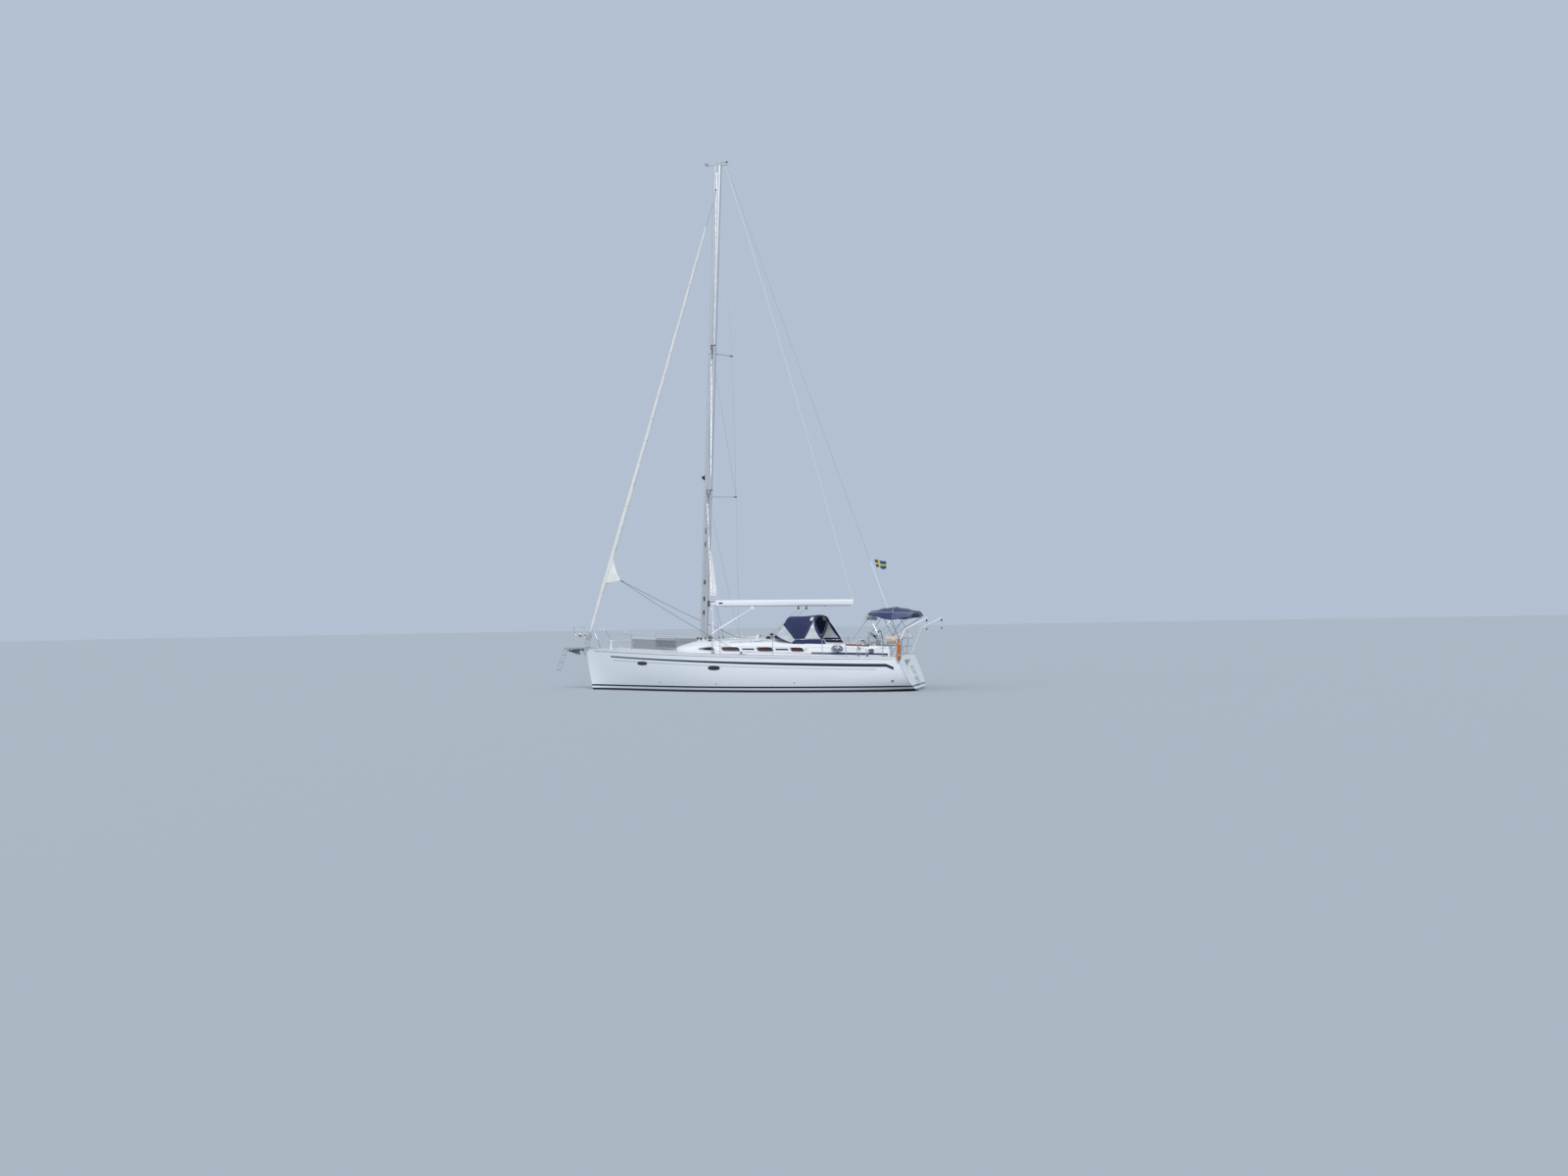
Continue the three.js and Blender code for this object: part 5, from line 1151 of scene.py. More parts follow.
# %% Pipe the bimini's seams and hem
cream = grained("cream_piping", 0.7, (15.0, EVEN, 4.0), (0.50, 0.46, 0.36), (0.66, 0.62, 0.50))
cream.relief(weave(cream.x, cream.z, 0.004), 0.0006, 0.4)
SEAM_ACROSS = 0.72
SEAM_STATION = 2.05
stations = [BIMINI_LAST * i / 60 for i in range(61)]
side_seams = [[bimini_spot(s, side * SEAM_ACROSS, 0.004) for s in stations] for side in (-1, 1)]
cross_seam = [bimini_spot(SEAM_STATION, -SEAM_ACROSS + 2 * SEAM_ACROSS * k / 40, 0.004) for k in range(41)]
ropes("bimini_piping", side_seams + [cross_seam], 0.008, cream, step=0.04, sides=6)
hem = [bimini_spot(s, 1.0) for s in stations]
hem += [bimini_spot(BIMINI_LAST, 1 - k / 30) for k in range(1, 61)]
hem += [bimini_spot(BIMINI_LAST - s, -1.0) for s in stations[1:]]
hem += [bimini_spot(0.0, -1 + k / 30) for k in range(1, 61)]
ropes("bimini_hem", [hem], 0.009, canvas, step=0.04, sides=6)

# %% Roll the visor up at the bimini's front
VISOR_RADIUS = 0.070
VISOR_HALF = 1.00
VISOR_X = -4.735
VISOR_Z = 2.545
VISOR_SKEW = 0.03
VISOR_DROP = 0.03
VISOR_RINGS = 48
VISOR_SIDES = 24
TIE_SPOTS = (-0.80, -0.40, 0.0, 0.40, 0.80)
roll = Shape()
rings = []
for k in range(VISOR_RINGS + 1):
    y = VISOR_HALF * (2 * k / VISOR_RINGS - 1)
    centre = Vector((VISOR_X - y * VISOR_SKEW, y, VISOR_Z - VISOR_DROP * (abs(y) / VISOR_HALF) ** 2))
    tied = abs(math.sin(math.pi * (k / VISOR_RINGS) * len(TIE_SPOTS))) ** 0.35
    size = VISOR_RADIUS * (0.80 + 0.20 * tied)
    ring = []
    for j in range(VISOR_SIDES):
        angle = math.tau * j / VISOR_SIDES
        wrap = size * (1 - 0.10 * j / VISOR_SIDES)
        ring.append(centre + Vector((math.cos(angle) * wrap, 0, math.sin(angle) * wrap)))
    rings.append(ring)
roll.rings(rings)

# %% Lace the visor
visor_cloth = Finish("visor_cloth", 0.75)
dirt = visor_cloth.noise(9.0, detail=4.0)
visor_cloth.paint(dirt.mix(colour(0.34, 0.36, 0.40), colour(0.56, 0.58, 0.60)))
visor_cloth.relief(weave(visor_cloth.y, visor_cloth.z) + dirt * 4, 0.0015, 0.6)
visor = roll.piece("visor_roll", visor_cloth, crease=60)
ties = []
for y in TIE_SPOTS:
    middle = Vector((VISOR_X - y * VISOR_SKEW, y, VISOR_Z - VISOR_DROP * (y / VISOR_HALF) ** 2))
    ties.append(arc(middle, VISOR_RADIUS * 0.88, 60, 400, 22) + [bimini_spot(0.02, y / BIMINI_HALF)])
ropes("visor_ties", ties, 0.006, black, step=0.02, sides=6)

# %% [markdown]
# ## The furled genoa
# A furled headsail is cloth wound round the forestay: thick low down where the sail is wide, thin
# at the top, with its outer edge spiralling up. It follows a rule, so each ring is a spiral whose
# start turns with height. Only the clew is still free: a small stiff corner with the sheets
# knotted to it.

# %% Find places on the forestay
STAY_FOOT = Vector((6.500, 0, 1.640))
STAY_HEAD = Vector((1.000, 0, 18.250))
STAY_SAG = 0.040
# Columns: share of the stay's length, radius of the roll
ROLL_ROWS = [(0.036, 0.034), (0.05, 0.050), (0.10, 0.062), (0.16, 0.080), (0.35, 0.080),
             (0.45, 0.069), (0.65, 0.055), (0.85, 0.047), (0.945, 0.034)]
ROLL_TURNS = 7.0
ROLL_RINGS = 180
ROLL_SIDES = 30


def on_stay(share):
    """A point on the sagging forestay."""
    return STAY_FOOT.lerp(STAY_HEAD, share) - Vector((4 * STAY_SAG * share * (1 - share), 0, 0))


def roll_radius(share):
    """The roll's radius, joined smoothly between its rows."""
    for (low, first), (high, second) in zip(ROLL_ROWS, ROLL_ROWS[1:]):
        if share <= high:
            part = max((share - low) / (high - low), 0)
            return first + (second - first) * part * part * (3 - 2 * part)
    return ROLL_ROWS[-1][1]


# %% Wind the genoa round the forestay
stay_turn = up(1).rotation_difference((STAY_HEAD - STAY_FOOT).normalized())
rings = []
first_share, last_share = ROLL_ROWS[0][0], ROLL_ROWS[-1][0]
for i in range(ROLL_RINGS + 1):
    share = between(first_share, last_share, i / ROLL_RINGS)
    radius = roll_radius(share)
    ring = []
    for j in range(ROLL_SIDES):
        wound = j / ROLL_SIDES
        angle = math.tau * (wound + ROLL_TURNS * share)
        bulge = 1.0 + 0.03 * math.sin(share * 160 + j * 0.9) * math.sin(share * 61)
        reach = radius * (1.05 - 0.13 * wound) * bulge
        ring.append(on_stay(share) + stay_turn @ Vector((
            math.cos(angle) * reach, math.sin(angle) * reach, 0)))
    rings.append(ring)

# %% Give the roll its cloth
SEAM_PITCH = 0.82
rolled_cloth = Finish("rolled_sailcloth", 0.6, Sheen_Weight=0.1, slot="sailcloth")
height = rolled_cloth.z
wrap = rolled_cloth.noise(5.0, (1, 1, 0.5), 5.0)
seam = (height % SEAM_PITCH).band(SEAM_PITCH / 2, 0.008, 0.004)
aged = wrap.mix(colour(0.66, 0.65, 0.61), colour(0.80, 0.79, 0.755))
rolled_cloth.paint(seam.mix(aged, colour(0.50, 0.49, 0.46)))
rolled_cloth.relief(wrap - seam * 0.4, 0.010, 0.5)
genoa = Shape().rings(rings).piece("genoa_roll", rolled_cloth, None, crease=50)

# %% Leave the genoa's clew free
CLEW = Vector((4.985, 0, 4.165))
FLAP_TOP = 5.06
FLAP_LOW = 4.05
FLAP_STEPS = 22
FLAP_ACROSS = 14
SAIL_THICK = 0.005


def stay_at_height(z):
    low, high = 0.0, 1.0
    for _ in range(30):
        middle = (low + high) / 2
        low, high = (middle, high) if on_stay(middle).z < z else (low, middle)
    return on_stay(low)


grid = []
uv = []
for i in range(FLAP_STEPS + 1):
    drop = i / FLAP_STEPS
    z = between(FLAP_TOP, FLAP_LOW, drop)
    inner = stay_at_height(z) - Vector((0.045, 0, 0))
    bend = (FLAP_TOP - CLEW.z) / (FLAP_TOP - FLAP_LOW)
    widest = inner.x - CLEW.x
    wide = 0.02 + (widest - 0.02) * (drop / bend if drop < bend else (1 - drop) / (1 - bend))
    line = []
    for k in range(FLAP_ACROSS + 1):
        out = k / FLAP_ACROSS
        belly = 0.035 * math.sin(out * math.pi) * math.sin(drop * math.pi) + 0.012 * math.sin(drop * 13)
        line.append(inner + Vector((-wide * out, belly * out + 0.045 * (1 - out), -0.03 * out * drop)))
    grid.append(line)
    uv.append([(k / FLAP_ACROSS, drop) for k in range(FLAP_ACROSS + 1)])

# %% Hang the clew's flap
flap_data = sheet_mesh("genoa_clew_flap", grid, uv)
flap = finished("genoa_clew_flap", flap_data, sailcloth, None, crease=80)
thicken(flap, SAIL_THICK)
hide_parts("furled_genoa")
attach(genoa, "yacht")
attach(flap, "yacht")

# %% Ring the genoa's clew
clew_ring = grid[int(FLAP_STEPS * 0.88)][-1] + Vector((0.035, 0, 0))
ring_shape = Shape()
ring_shape.tube(arc(clew_ring, 0.024, 0, 360, 24), 0.006, 8)
ring_shape.turned([(0.034, -0.006), (0.037, -0.003), (0.037, 0.003), (0.034, 0.006)],
                  clew_ring, (0, 1, 0), 20)
ring_shape.piece("clew_ring", steel)

# %% [markdown]
# ## Sheets
# Two dark blue sheets run from the clew down past the mast to blocks on the side decks, aft along
# the deck to a turning block and up to the winches. Braided rope shows a fine herringbone of
# light and dark strands, made here from two crossed waves in the rope's finish.

# %% Lead the genoa sheets
SHEET_RADIUS = 0.0075
BRAID_WAVES = 420
blue_rope = Finish("blue_rope", 0.75)
braid = ((blue_rope.x + blue_rope.z) * BRAID_WAVES).sine()
braid = braid * ((blue_rope.x - blue_rope.z) * BRAID_WAVES).sine()
worn_rope = blue_rope.noise(30.0)
blues = braid.fade(-0.6, 0.6).mix(colour(0.020, 0.040, 0.110), colour(0.075, 0.110, 0.200))
blue_rope.paint(worn_rope.fade(0.55, 0.75).mix(blues, colour(0.12, 0.14, 0.19)))
blue_rope.relief(braid * 0.5 + 0.5, 0.001, 0.6)
CAR = (-0.350, 1.520)
FOOT_BLOCK = (-4.950, 1.560)
sheet_routes = []
for side in (1, -1):
    car = deck_at(CAR[0], side * CAR[1]) + up(0.075)
    foot = deck_at(FOOT_BLOCK[0], side * FOOT_BLOCK[1]) + up(0.055)
    start = clew_ring + Vector((-0.024, side * 0.008, 0))
    route = sagging(start, car, 0.10, 24)
    route += [point + up(0.012) for point in sagging(car, foot, 0.012, 16)[1:]]
    route += [Vector((-5.00, side * 1.52, foot.z + 0.03)), Vector((-4.90, side * 1.30, 1.665)),
              Vector((-4.775, side * 1.165, 1.700))]
    sheet_routes.append(route)
ropes("genoa_sheets", sheet_routes, SHEET_RADIUS, blue_rope, step=0.10)

# %% Knot the sheets to the clew
knots = Shape()
for side in (1, -1):
    knot_at = clew_ring + Vector((-0.10, side * 0.014, -0.045))
    for k in range(3):
        knots.tube(arc(knot_at + Vector((0.012 * k, 0, 0.006 * k)), 0.017, 0, 330, 14, "yz"),
                   SHEET_RADIUS, 8)
knots.piece("sheet_knots", blue_rope)

# %% [markdown]
# ## The mainsail's clew
# This mainsail rolls up inside the mast, so all that shows is a narrow corner of white cloth
# standing out of the slot, held by the outhaul. It is a flat tapered sheet with a gentle belly.

# %% Find places on the mast
MAST_FOOT = Vector((1.645, 0, 1.900))
MAST_RAKE = math.radians(2.8)
MAST_UP = Vector((-math.sin(MAST_RAKE), 0, math.cos(MAST_RAKE)))
MAST_FORE = Vector((math.cos(MAST_RAKE), 0, math.sin(MAST_RAKE)))
MAST_HALF_CHORD = 0.1475
MAST_HALF_WIDTH = 0.0785


def on_mast(height, fore=0.0, side=0.0):
    """A point in the mast's own directions, at a height above the waterline."""
    return MAST_FOOT + MAST_UP * ((height - MAST_FOOT.z) / MAST_UP.z) + MAST_FORE * fore + Vector(
        (0, side, 0))


# %% Hang the mainsail's corner from the mast
# Columns: height, distance of the free edge behind the mast's middle
MAIN_ROWS = [(5.150, 0.200), (4.700, 0.275), (4.200, 0.360), (3.680, 0.455), (3.560, 0.470),
             (3.490, 0.420)]
MAIN_STEPS = 25
MAIN_ACROSS = 10
grid = []
uv = []
for i in range(MAIN_STEPS + 1):
    drop = i / MAIN_STEPS
    share = drop * (len(MAIN_ROWS) - 1)
    k = min(int(share), len(MAIN_ROWS) - 2)
    height, reach = [between(a, b, share - k) for a, b in zip(MAIN_ROWS[k], MAIN_ROWS[k + 1])]
    line = []
    for j in range(MAIN_ACROSS + 1):
        out = j / MAIN_ACROSS
        belly = 0.02 * math.sin(out * math.pi) * math.sin(drop * math.pi) + 0.006 * math.sin(i * 0.8)
        line.append(on_mast(height, -between(0.150, reach, out), belly * out))
    grid.append(line)
    uv.append([(j / MAIN_ACROSS, drop) for j in range(MAIN_ACROSS + 1)])
main_data = sheet_mesh("mainsail_corner", grid, uv)
corner = finished("mainsail_corner", main_data, sailcloth, None, crease=80)
thicken(corner, SAIL_THICK)
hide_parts("mainsail_clew")
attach(corner, "yacht")

# %% Ring the mainsail's clew
main_ring = Shape()
for height in (3.585, 3.655):
    spot = on_mast(height, -0.425)
    main_ring.turned([(0.014, -0.009), (0.026, -0.007), (0.026, 0.007), (0.014, 0.009)],
                     spot, (0, 1, 0), 20)
main_ring.piece("mainsail_rings", steel)

# %% [markdown]
# ## The furling drum
# Under the roll sits the furler: a drum with a light line wound on it, led aft along the rail to
# a jamming cleat on the side of the cockpit's coaming.

# %% Wind the furling line and lead it aft
light_rope = grained("light_rope", 0.7, (60.0, EVEN, 2.0), (0.42, 0.43, 0.45), (0.66, 0.66, 0.64),
                     None, (0.0008, 0.5))
DRUM_STEPS = 240
DRUM_TURNS = 10
DRUM_RADIUS = 0.100
DRUM_FOOT_SHARE = 0.0195
DRUM_TALL_SHARE = 0.008
drum_turns = []
for k in range(DRUM_STEPS + 1):
    share = DRUM_FOOT_SHARE + DRUM_TALL_SHARE * k / DRUM_STEPS
    angle = math.tau * DRUM_TURNS * k / DRUM_STEPS
    drum_turns.append(on_stay(share) + stay_turn @ Vector((
        math.cos(angle) * DRUM_RADIUS, math.sin(angle) * DRUM_RADIUS, 0)))
lead = [drum_turns[0], Vector((6.02, 0.30, 1.86)), Vector((5.60, 0.50, 1.66))]
lead += [post_at(x, 1, 0.11) - Vector((0, 0.04, 0)) for x in STANCHIONS[:5]]
jam_spot = surface("cockpit", (-4.62, 3.0, 1.500), (0, -1, 0))[0]
lead.append(jam_spot + Vector((0, 0.022, 0)))
ropes("furling_line", [drum_turns, lead], 0.005, light_rope, step=0.03, sides=6)
jammer = Shape().block(jam_spot + Vector((0.010, 0.008, -0.006)), (0.085, 0.040, 0.046), 0.008)
jammer.piece("furling_jammer", black)

# %% Cap the drum
drum_cap = Shape()
for share in (0.0165, 0.0305):
    drum_cap.turned([(0.092, -0.004), (0.112, -0.003), (0.112, 0.003), (0.092, 0.004)],
                    on_stay(share), STAY_HEAD - STAY_FOOT, 28)
drum_cap.piece("drum_flanges", steel)
print("furling line leads:", len(lead))

# %% [markdown]
# ## On the mast
# A mast carries a lot of small things: a halyard or two along its face, cleats and exit boxes, a
# light half way up, turning blocks at its foot, and at the top the wind instruments and lamp. They
# are placed in the mast's own leaning directions, so each still sits on its surface.

# %% Fit the cleats and exit boxes
MAST_TURN = (0, -2.8, 0)
CLEAT_HEIGHTS = (3.995, 3.375, 2.864)
EXIT_HEIGHTS = (5.4, 5.9, 7.35, 12.75, 18.6)
cleats = Shape()
for side in (1, -1):
    for height in CLEAT_HEIGHTS:
        place = on_mast(height, 0.0, side * (MAST_HALF_WIDTH + 0.012))
        cleats.block(place, (0.045, 0.026, 0.16), 0.008, MAST_TURN)
        cleats.block(place + Vector((0, side * 0.030, 0)), (0.030, 0.034, 0.060), 0.008, MAST_TURN)
        for end in (-1, 1):
            horn = place + Vector((0, side * 0.045, 0))
            cleats.tube([horn, horn + Vector((0, side * 0.006, end * 0.085))], (0.012, 0.007), 8)
    for height in EXIT_HEIGHTS:
        place = on_mast(height, 0.02, side * (MAST_HALF_WIDTH + 0.003))
        cleats.block(place, (0.034, 0.010, 0.20), 0.004, MAST_TURN)
cleats.piece("mast_cleats", black)

# %% Stand the blocks at the mast's foot
BLOCK_ANGLES = (35, 75, 110, 145, 215, 250, 285, 325)
COLLAR_X = 1.60
COLLAR_LONG = 0.29
COLLAR_WIDE = 0.225
blocks = Shape()
cheeks = Shape()
for angle in BLOCK_ANGLES:
    turn = math.radians(angle)
    spot = roof_at(COLLAR_X + COLLAR_LONG * math.cos(turn), COLLAR_WIDE * math.sin(turn))
    blocks.turned([(0.012, -0.024), (0.044, -0.022), (0.036, 0.0), (0.044, 0.022), (0.012, 0.024)],
                  spot + up(0.066), (-math.sin(turn), math.cos(turn), 0), 18)
    cheeks.block(spot + up(0.014), (0.07, 0.07, 0.026), 0.006, (0, 0, angle))
    cheeks.tube([spot + up(0.02), spot + up(0.066)], 0.007, 8)
blocks.piece("mast_foot_blocks", black)
cheeks.piece("mast_foot_shackles", steel)

# %% Run the halyards down the mast
halyards = []
for fore, side in ((0.095, 0.088), (-0.06, 0.092), (0.095, -0.088), (-0.06, -0.092)):
    foot_side = math.copysign(0.15, side)
    halyards.append([on_mast(z, fore, side) for z in (18.55, 12.0, 7.0, 2.45)] + [
        roof_at(1.64 + fore * 1.6, foot_side) + up(0.075)])
ropes("halyards", halyards, 0.006, light_rope, step=0.25, sides=6)
signal = both_sides([(1.02, 1.05, 7.28), (0.60, 1.86, 1.46)])
ropes("signal_halyards", signal, 0.0025, light_rope, step=0.3, sides=5)

# %% Hang the deck light and glaze the lamps
lamp = Shape()
lamp_at = on_mast(7.89, MAST_HALF_CHORD + 0.045)
lamp.block(lamp_at - MAST_FORE * 0.03, (0.06, 0.07, 0.19), 0.012, MAST_TURN)
lamp.turned([(0.030, -0.055), (0.052, -0.04), (0.058, 0.0), (0.05, 0.035), (0.02, 0.05)],
            lamp_at + MAST_FORE * 0.025, (0.45, 0, -1.0), 20)
lamp.piece("deck_light", black)
lit = Finish("lamp_glass", 0.12, Coat_Weight=0.5)
# The ribs' wave gives their bump, and in the colour their painted shade in the grooves and painted highlight
# on the ridges.
rib_wave_and_painted_shade = (lit.z * 900).sine()
lit.paint(rib_wave_and_painted_shade.fade(-1, 1).mix(colour(0.62, 0.64, 0.66), colour(0.80, 0.82, 0.84)))
lit.relief(rib_wave_and_painted_shade, 0.0006, 0.4)
lens_glass = Shape()
lens_glass.turned([(0.002, 0.0), (0.040, 0.004), (0.046, 0.02), (0.040, 0.045), (0.002, 0.05)],
                  on_mast(7.97, MAST_HALF_CHORD + 0.04), (0, 0, 1), 20)
lens_glass.turned([(0.034, 0), (0.036, 0.055), (0.030, 0.07), (0.002, 0.074)],
                  on_mast(19.655, -0.06), (0, 0, 1), 20)
lens_glass.piece("lamp_lenses", lit)

# %% Stand the wind instruments at the masthead
gear = Shape()
arm_end = on_mast(19.605, 0.31)
gear.tube([arm_end, arm_end + Vector((0.10, 0, 0.035)), arm_end + Vector((0.13, 0, 0.07))], 0.006)
for k in range(3):
    turn = math.tau * k / 3
    cup = arm_end + Vector((0.13 + 0.045 * math.cos(turn), 0.045 * math.sin(turn), 0.035))
    gear.tube([arm_end + Vector((0.13, 0, 0.035)), cup], 0.003, 6)
    gear.turned([(0.004, -0.014), (0.015, -0.008), (0.017, 0.008), (0.013, 0.014)], cup,
                (-math.sin(turn), math.cos(turn), 0), 12)
gear.plate([arm_end + Vector((x, 0, z)) for x, z in ((0.06, 0.082), (0.19, 0.076), (0.215, 0.112),
                                                    (0.165, 0.105), (0.135, 0.090))], 0.004)
vane_at = on_mast(19.665, -0.18)
gear.tube([on_mast(19.62, -0.18), vane_at + up(0.028)], 0.004, 8)
gear.tube([vane_at + Vector((0.17, 0, 0.03)), vane_at + Vector((-0.15, 0, 0.03))], 0.004, 8)
gear.plate([vane_at + Vector((x, 0, z)) for x, z in ((0.15, 0.012), (0.22, 0.03), (0.15, 0.048))], 0.004)
gear.plate([vane_at + Vector((x, 0, z)) for x, z in ((-0.10, 0.03), (-0.17, -0.005), (-0.21, 0.0),
                                                    (-0.21, 0.058), (-0.17, 0.060))], 0.004)
gear.piece("wind_gear", black)

# %% Boot the spreaders
boots = Shape()
for name, reach in (("spreaders_lower", 1.31), ("spreaders_upper", 0.945)):
    for side in (1, -1):
        low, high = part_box(name)
        tip = Vector((low.x + 0.045, side * reach, high.z - 0.018))
        boots.block(tip, (0.13, 0.060, 0.045), 0.014, (side * 5, 0, side * -24))
boots.piece("spreader_boots", black)

# %% Screw down the wires' ends
SHROUD_Y = 1.480
# Columns: radius, distance up the wire
SCREW = [(0.009, 0.03), (0.009, 0.085), (0.014, 0.09), (0.014, 0.125), (0.0095, 0.13),
         (0.0095, 0.26), (0.014, 0.265), (0.014, 0.30), (0.0085, 0.305), (0.0085, 0.40),
         (0.011, 0.405), (0.011, 0.50), (0.007, 0.51)]
screws = Shape()
for side in (1, -1):
    deck = deck_at(0.73, side * SHROUD_Y)
    wires = ((0.770, Vector((0.84, side * 1.36, 7.29))), (0.690, Vector((1.37, side * 0.09, 7.05))))
    for foot_x, head in wires:
        start = Vector((foot_x, side * SHROUD_Y, deck.z + 0.05))
        way = (head - start).normalized()
        screws.turned(SCREW, start, way, 14)
        screws.block(start + way * 0.03, (0.030, 0.034, 0.055), 0.006)
BACKSTAY_FOOT = Vector((-5.930, 0, 1.226))
back_way = (Vector((0.46, 0, 19.56)) - BACKSTAY_FOOT).normalized()
screws.turned([(0.012, 0.06), (0.012, 0.14), (0.024, 0.15), (0.024, 0.62), (0.018, 0.64), (0.010, 0.70)],
              BACKSTAY_FOOT, back_way, 18)
screws.piece("turnbuckles", steel)
sleeve_path = [BACKSTAY_FOOT + back_way * along for along in (0.72, 3.55)]
pale_sleeve = Shape().tube(sleeve_path, (0.016, 0.013), 14)
pale_sleeve.piece("backstay_sleeve", white_paint)

# %% [markdown]
# ## On the boom
# The boom is a white extrusion with a groove along its underside, cast ends, a sheave for the
# outhaul and bails for the mainsheet. All of this swings with it. The mainsheet joins the boom to
# the coachroof, so it rides on neither body.

# %% Fit out the boom
BOOM_FORE = Vector((1.120, 0, 3.200))
BOOM_AFT = Vector((-4.130, 0, 3.120))
BOOM_HALF_HEIGHT = 0.113
BOOM_TURN = (0, -0.87, 0)
BAILS = (-2.05, -2.35, -3.05)


def on_boom(x, rise=0.0, side=0.0):
    """A point beside the boom's middle line at a distance forward or aft."""
    share = (BOOM_FORE.x - x) / (BOOM_FORE.x - BOOM_AFT.x)
    return BOOM_FORE.lerp(BOOM_AFT, share) + Vector((0, side, rise))


ends = Shape()
for x in (1.075, -4.095):
    ends.block(on_boom(x), (0.050, 0.137, 0.233), 0.030, BOOM_TURN)
ends.piece("boom_ends", white_paint, "boom")

# %% Screw the track and the bails under the boom
dark = Shape()
dark.block(on_boom(-4.115, 0.05), (0.030, 0.030, 0.09), 0.008)
dark.block(on_boom(-1.50, -BOOM_HALF_HEIGHT - 0.002), (5.00, 0.020, 0.010), 0.003, BOOM_TURN)
for x in (0.75,) + BAILS:
    dark.block(on_boom(x, -BOOM_HALF_HEIGHT - 0.006), (0.085, 0.050, 0.018), 0.006, BOOM_TURN)
for side in (1, -1):
    dark.block(on_boom(0.93, 0.0, side * 0.068), (0.15, 0.010, 0.055), 0.004)
dark.piece("boom_track", black, "boom")
bails = Shape()
for x in BAILS:
    middle = on_boom(x, -BOOM_HALF_HEIGHT - 0.012)
    bails.tube(arc(middle, 0.030, 180, 360, 14, "yz"), 0.005, 8)
bails.piece("boom_bails", steel, "boom")
reefing = [[on_boom(-4.06, 0.124), on_boom(-1.5, 0.119), on_boom(0.85, 0.124)]]
ropes("outhaul", reefing, 0.005, light_rope, "boom", 0.2, 6)

# %% Rig the mainsheet between boom and coachroof
SHEET_DECK_X = -1.020
MAIN_SHEET_RADIUS = 0.006
# Columns: the upper block's x on the boom, the lower block's y on the roof
MAIN_SHEET_BLOCKS = [(-2.05, 0.10), (-2.35, -0.10)]
falls = []
for boom_x, deck_y in MAIN_SHEET_BLOCKS:
    for offset in (0.018, -0.018):
        upper = on_boom(boom_x, -BOOM_HALF_HEIGHT - 0.11, offset)
        lower = roof_at(SHEET_DECK_X, deck_y + offset) + up(0.13)
        falls.append([upper.lerp(lower, k / 24) for k in range(25)])
mainsheet = ropes("mainsheet", falls, MAIN_SHEET_RADIUS, light_rope, None, 0.05, 6)
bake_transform(mainsheet)


# %% Hang the mainsheet's blocks
def pulley(shape, middle, turn=(0, 0, 0), radius=0.038):
    """A rope block: two cheeks and a strap; its wheel's axis is across the boat."""
    shape.turned([(0.010, -0.021), (radius, -0.019), (radius * 0.82, 0.0), (radius, 0.019), (0.010, 0.021)],
                 middle, (0, 1, 0), 18)
    shape.block(middle, (0.020, 0.052, radius * 2.3), 0.006, turn)


upper_blocks = Shape()
lower_blocks = Shape()
for boom_x, deck_y in MAIN_SHEET_BLOCKS:
    pulley(upper_blocks, on_boom(boom_x, -BOOM_HALF_HEIGHT - 0.085), (0, 30, 0))
    spot = roof_at(SHEET_DECK_X, deck_y)
    pulley(lower_blocks, spot + up(0.105), (0, 30, 0))
    lower_blocks.block(spot + up(0.030), (0.05, 0.04, 0.06), 0.008)
upper_blocks.piece("mainsheet_upper_blocks", black, "boom")
lower_blocks.block(roof_at(SHEET_DECK_X, 0.0) + up(0.006), (0.07, 0.46, 0.016), 0.004)
lower_blocks.piece("mainsheet_lower_blocks", black)
print("mainsheet parts:", len(falls))

# %% [markdown]
# ## Windows, curtains and the coloured band
# One band runs along the coachroof: four smoked windows, the first one pointed, short navy stripes
# between them and white mouldings around. It is one strip of acrylic and paint, so one finish draws
# it. The windows are see-through there, and gathered red curtains hang behind the last three.

# %% Paint the window band
WINDOWS = [(1.480, 0.800), (0.520, -0.190), (-0.860, -1.480), (-2.120, -2.600)]
BAND_STRIPES = [(-0.290, -0.770), (-1.570, -2.040), (-2.670, -2.760)]
BAND_HEIGHT = 1.5218
BAND_SLOPE = 0.0162
WINDOW_RISE = 0.076
STRIPE_RISE = 0.030
WINDOW_LEAN = 0.7
POINT_TAPER = 0.30
PANE_EDGE = 0.78
PANE_CLEAR = 0.72

window_paint = Finish("window_band", 0.12, Coat_Weight=0.5, Coat_Roughness=0.04, IOR=1.49)
height = window_paint.z - window_paint.x * BAND_SLOPE - BAND_HEIGHT
slanted = window_paint.x - height * WINDOW_LEAN
panes = 0.0
rims = 0.0
for fore, aft in WINDOWS:
    pointed = 1.0 if fore > 1 else 0.0
    along = (slanted - (fore + aft) / 2) / ((fore - aft) / 2)
    rise = height / WINDOW_RISE / (1 - (along + 1) * POINT_TAPER * pointed)
    corner = along * along * along * along + rise * rise * rise * rise
    panes = panes + (corner < PANE_EDGE)
    rims = rims + (corner < 1.0)
stripes = 0.0
for fore, aft in BAND_STRIPES:
    stripes = stripes + slanted.band((fore + aft) / 2, (fore - aft) / 2)
stripes = stripes * height.band(0.0, STRIPE_RISE)
smoke = window_paint.noise(1.5, detail=2.0)
shown = stripes.mix(colour(0.77, 0.785, 0.80), NAVY)
shown = rims.mix(shown, colour(0.012, 0.014, 0.018))
shown = panes.mix(shown, smoke.mix(colour(0.008, 0.010, 0.014), colour(0.020, 0.024, 0.030)))
window_paint.paint(shown)
window_paint.shine(0.06 + (1 - panes) * 0.14 + smoke * 0.04)
(1 - panes * PANE_CLEAR).feeds(window_paint.shader, "Alpha")
for side in ("port", "starboard"):
    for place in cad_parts[f"window_strip_{side}"].material_slots:
        place.material = window_paint.material

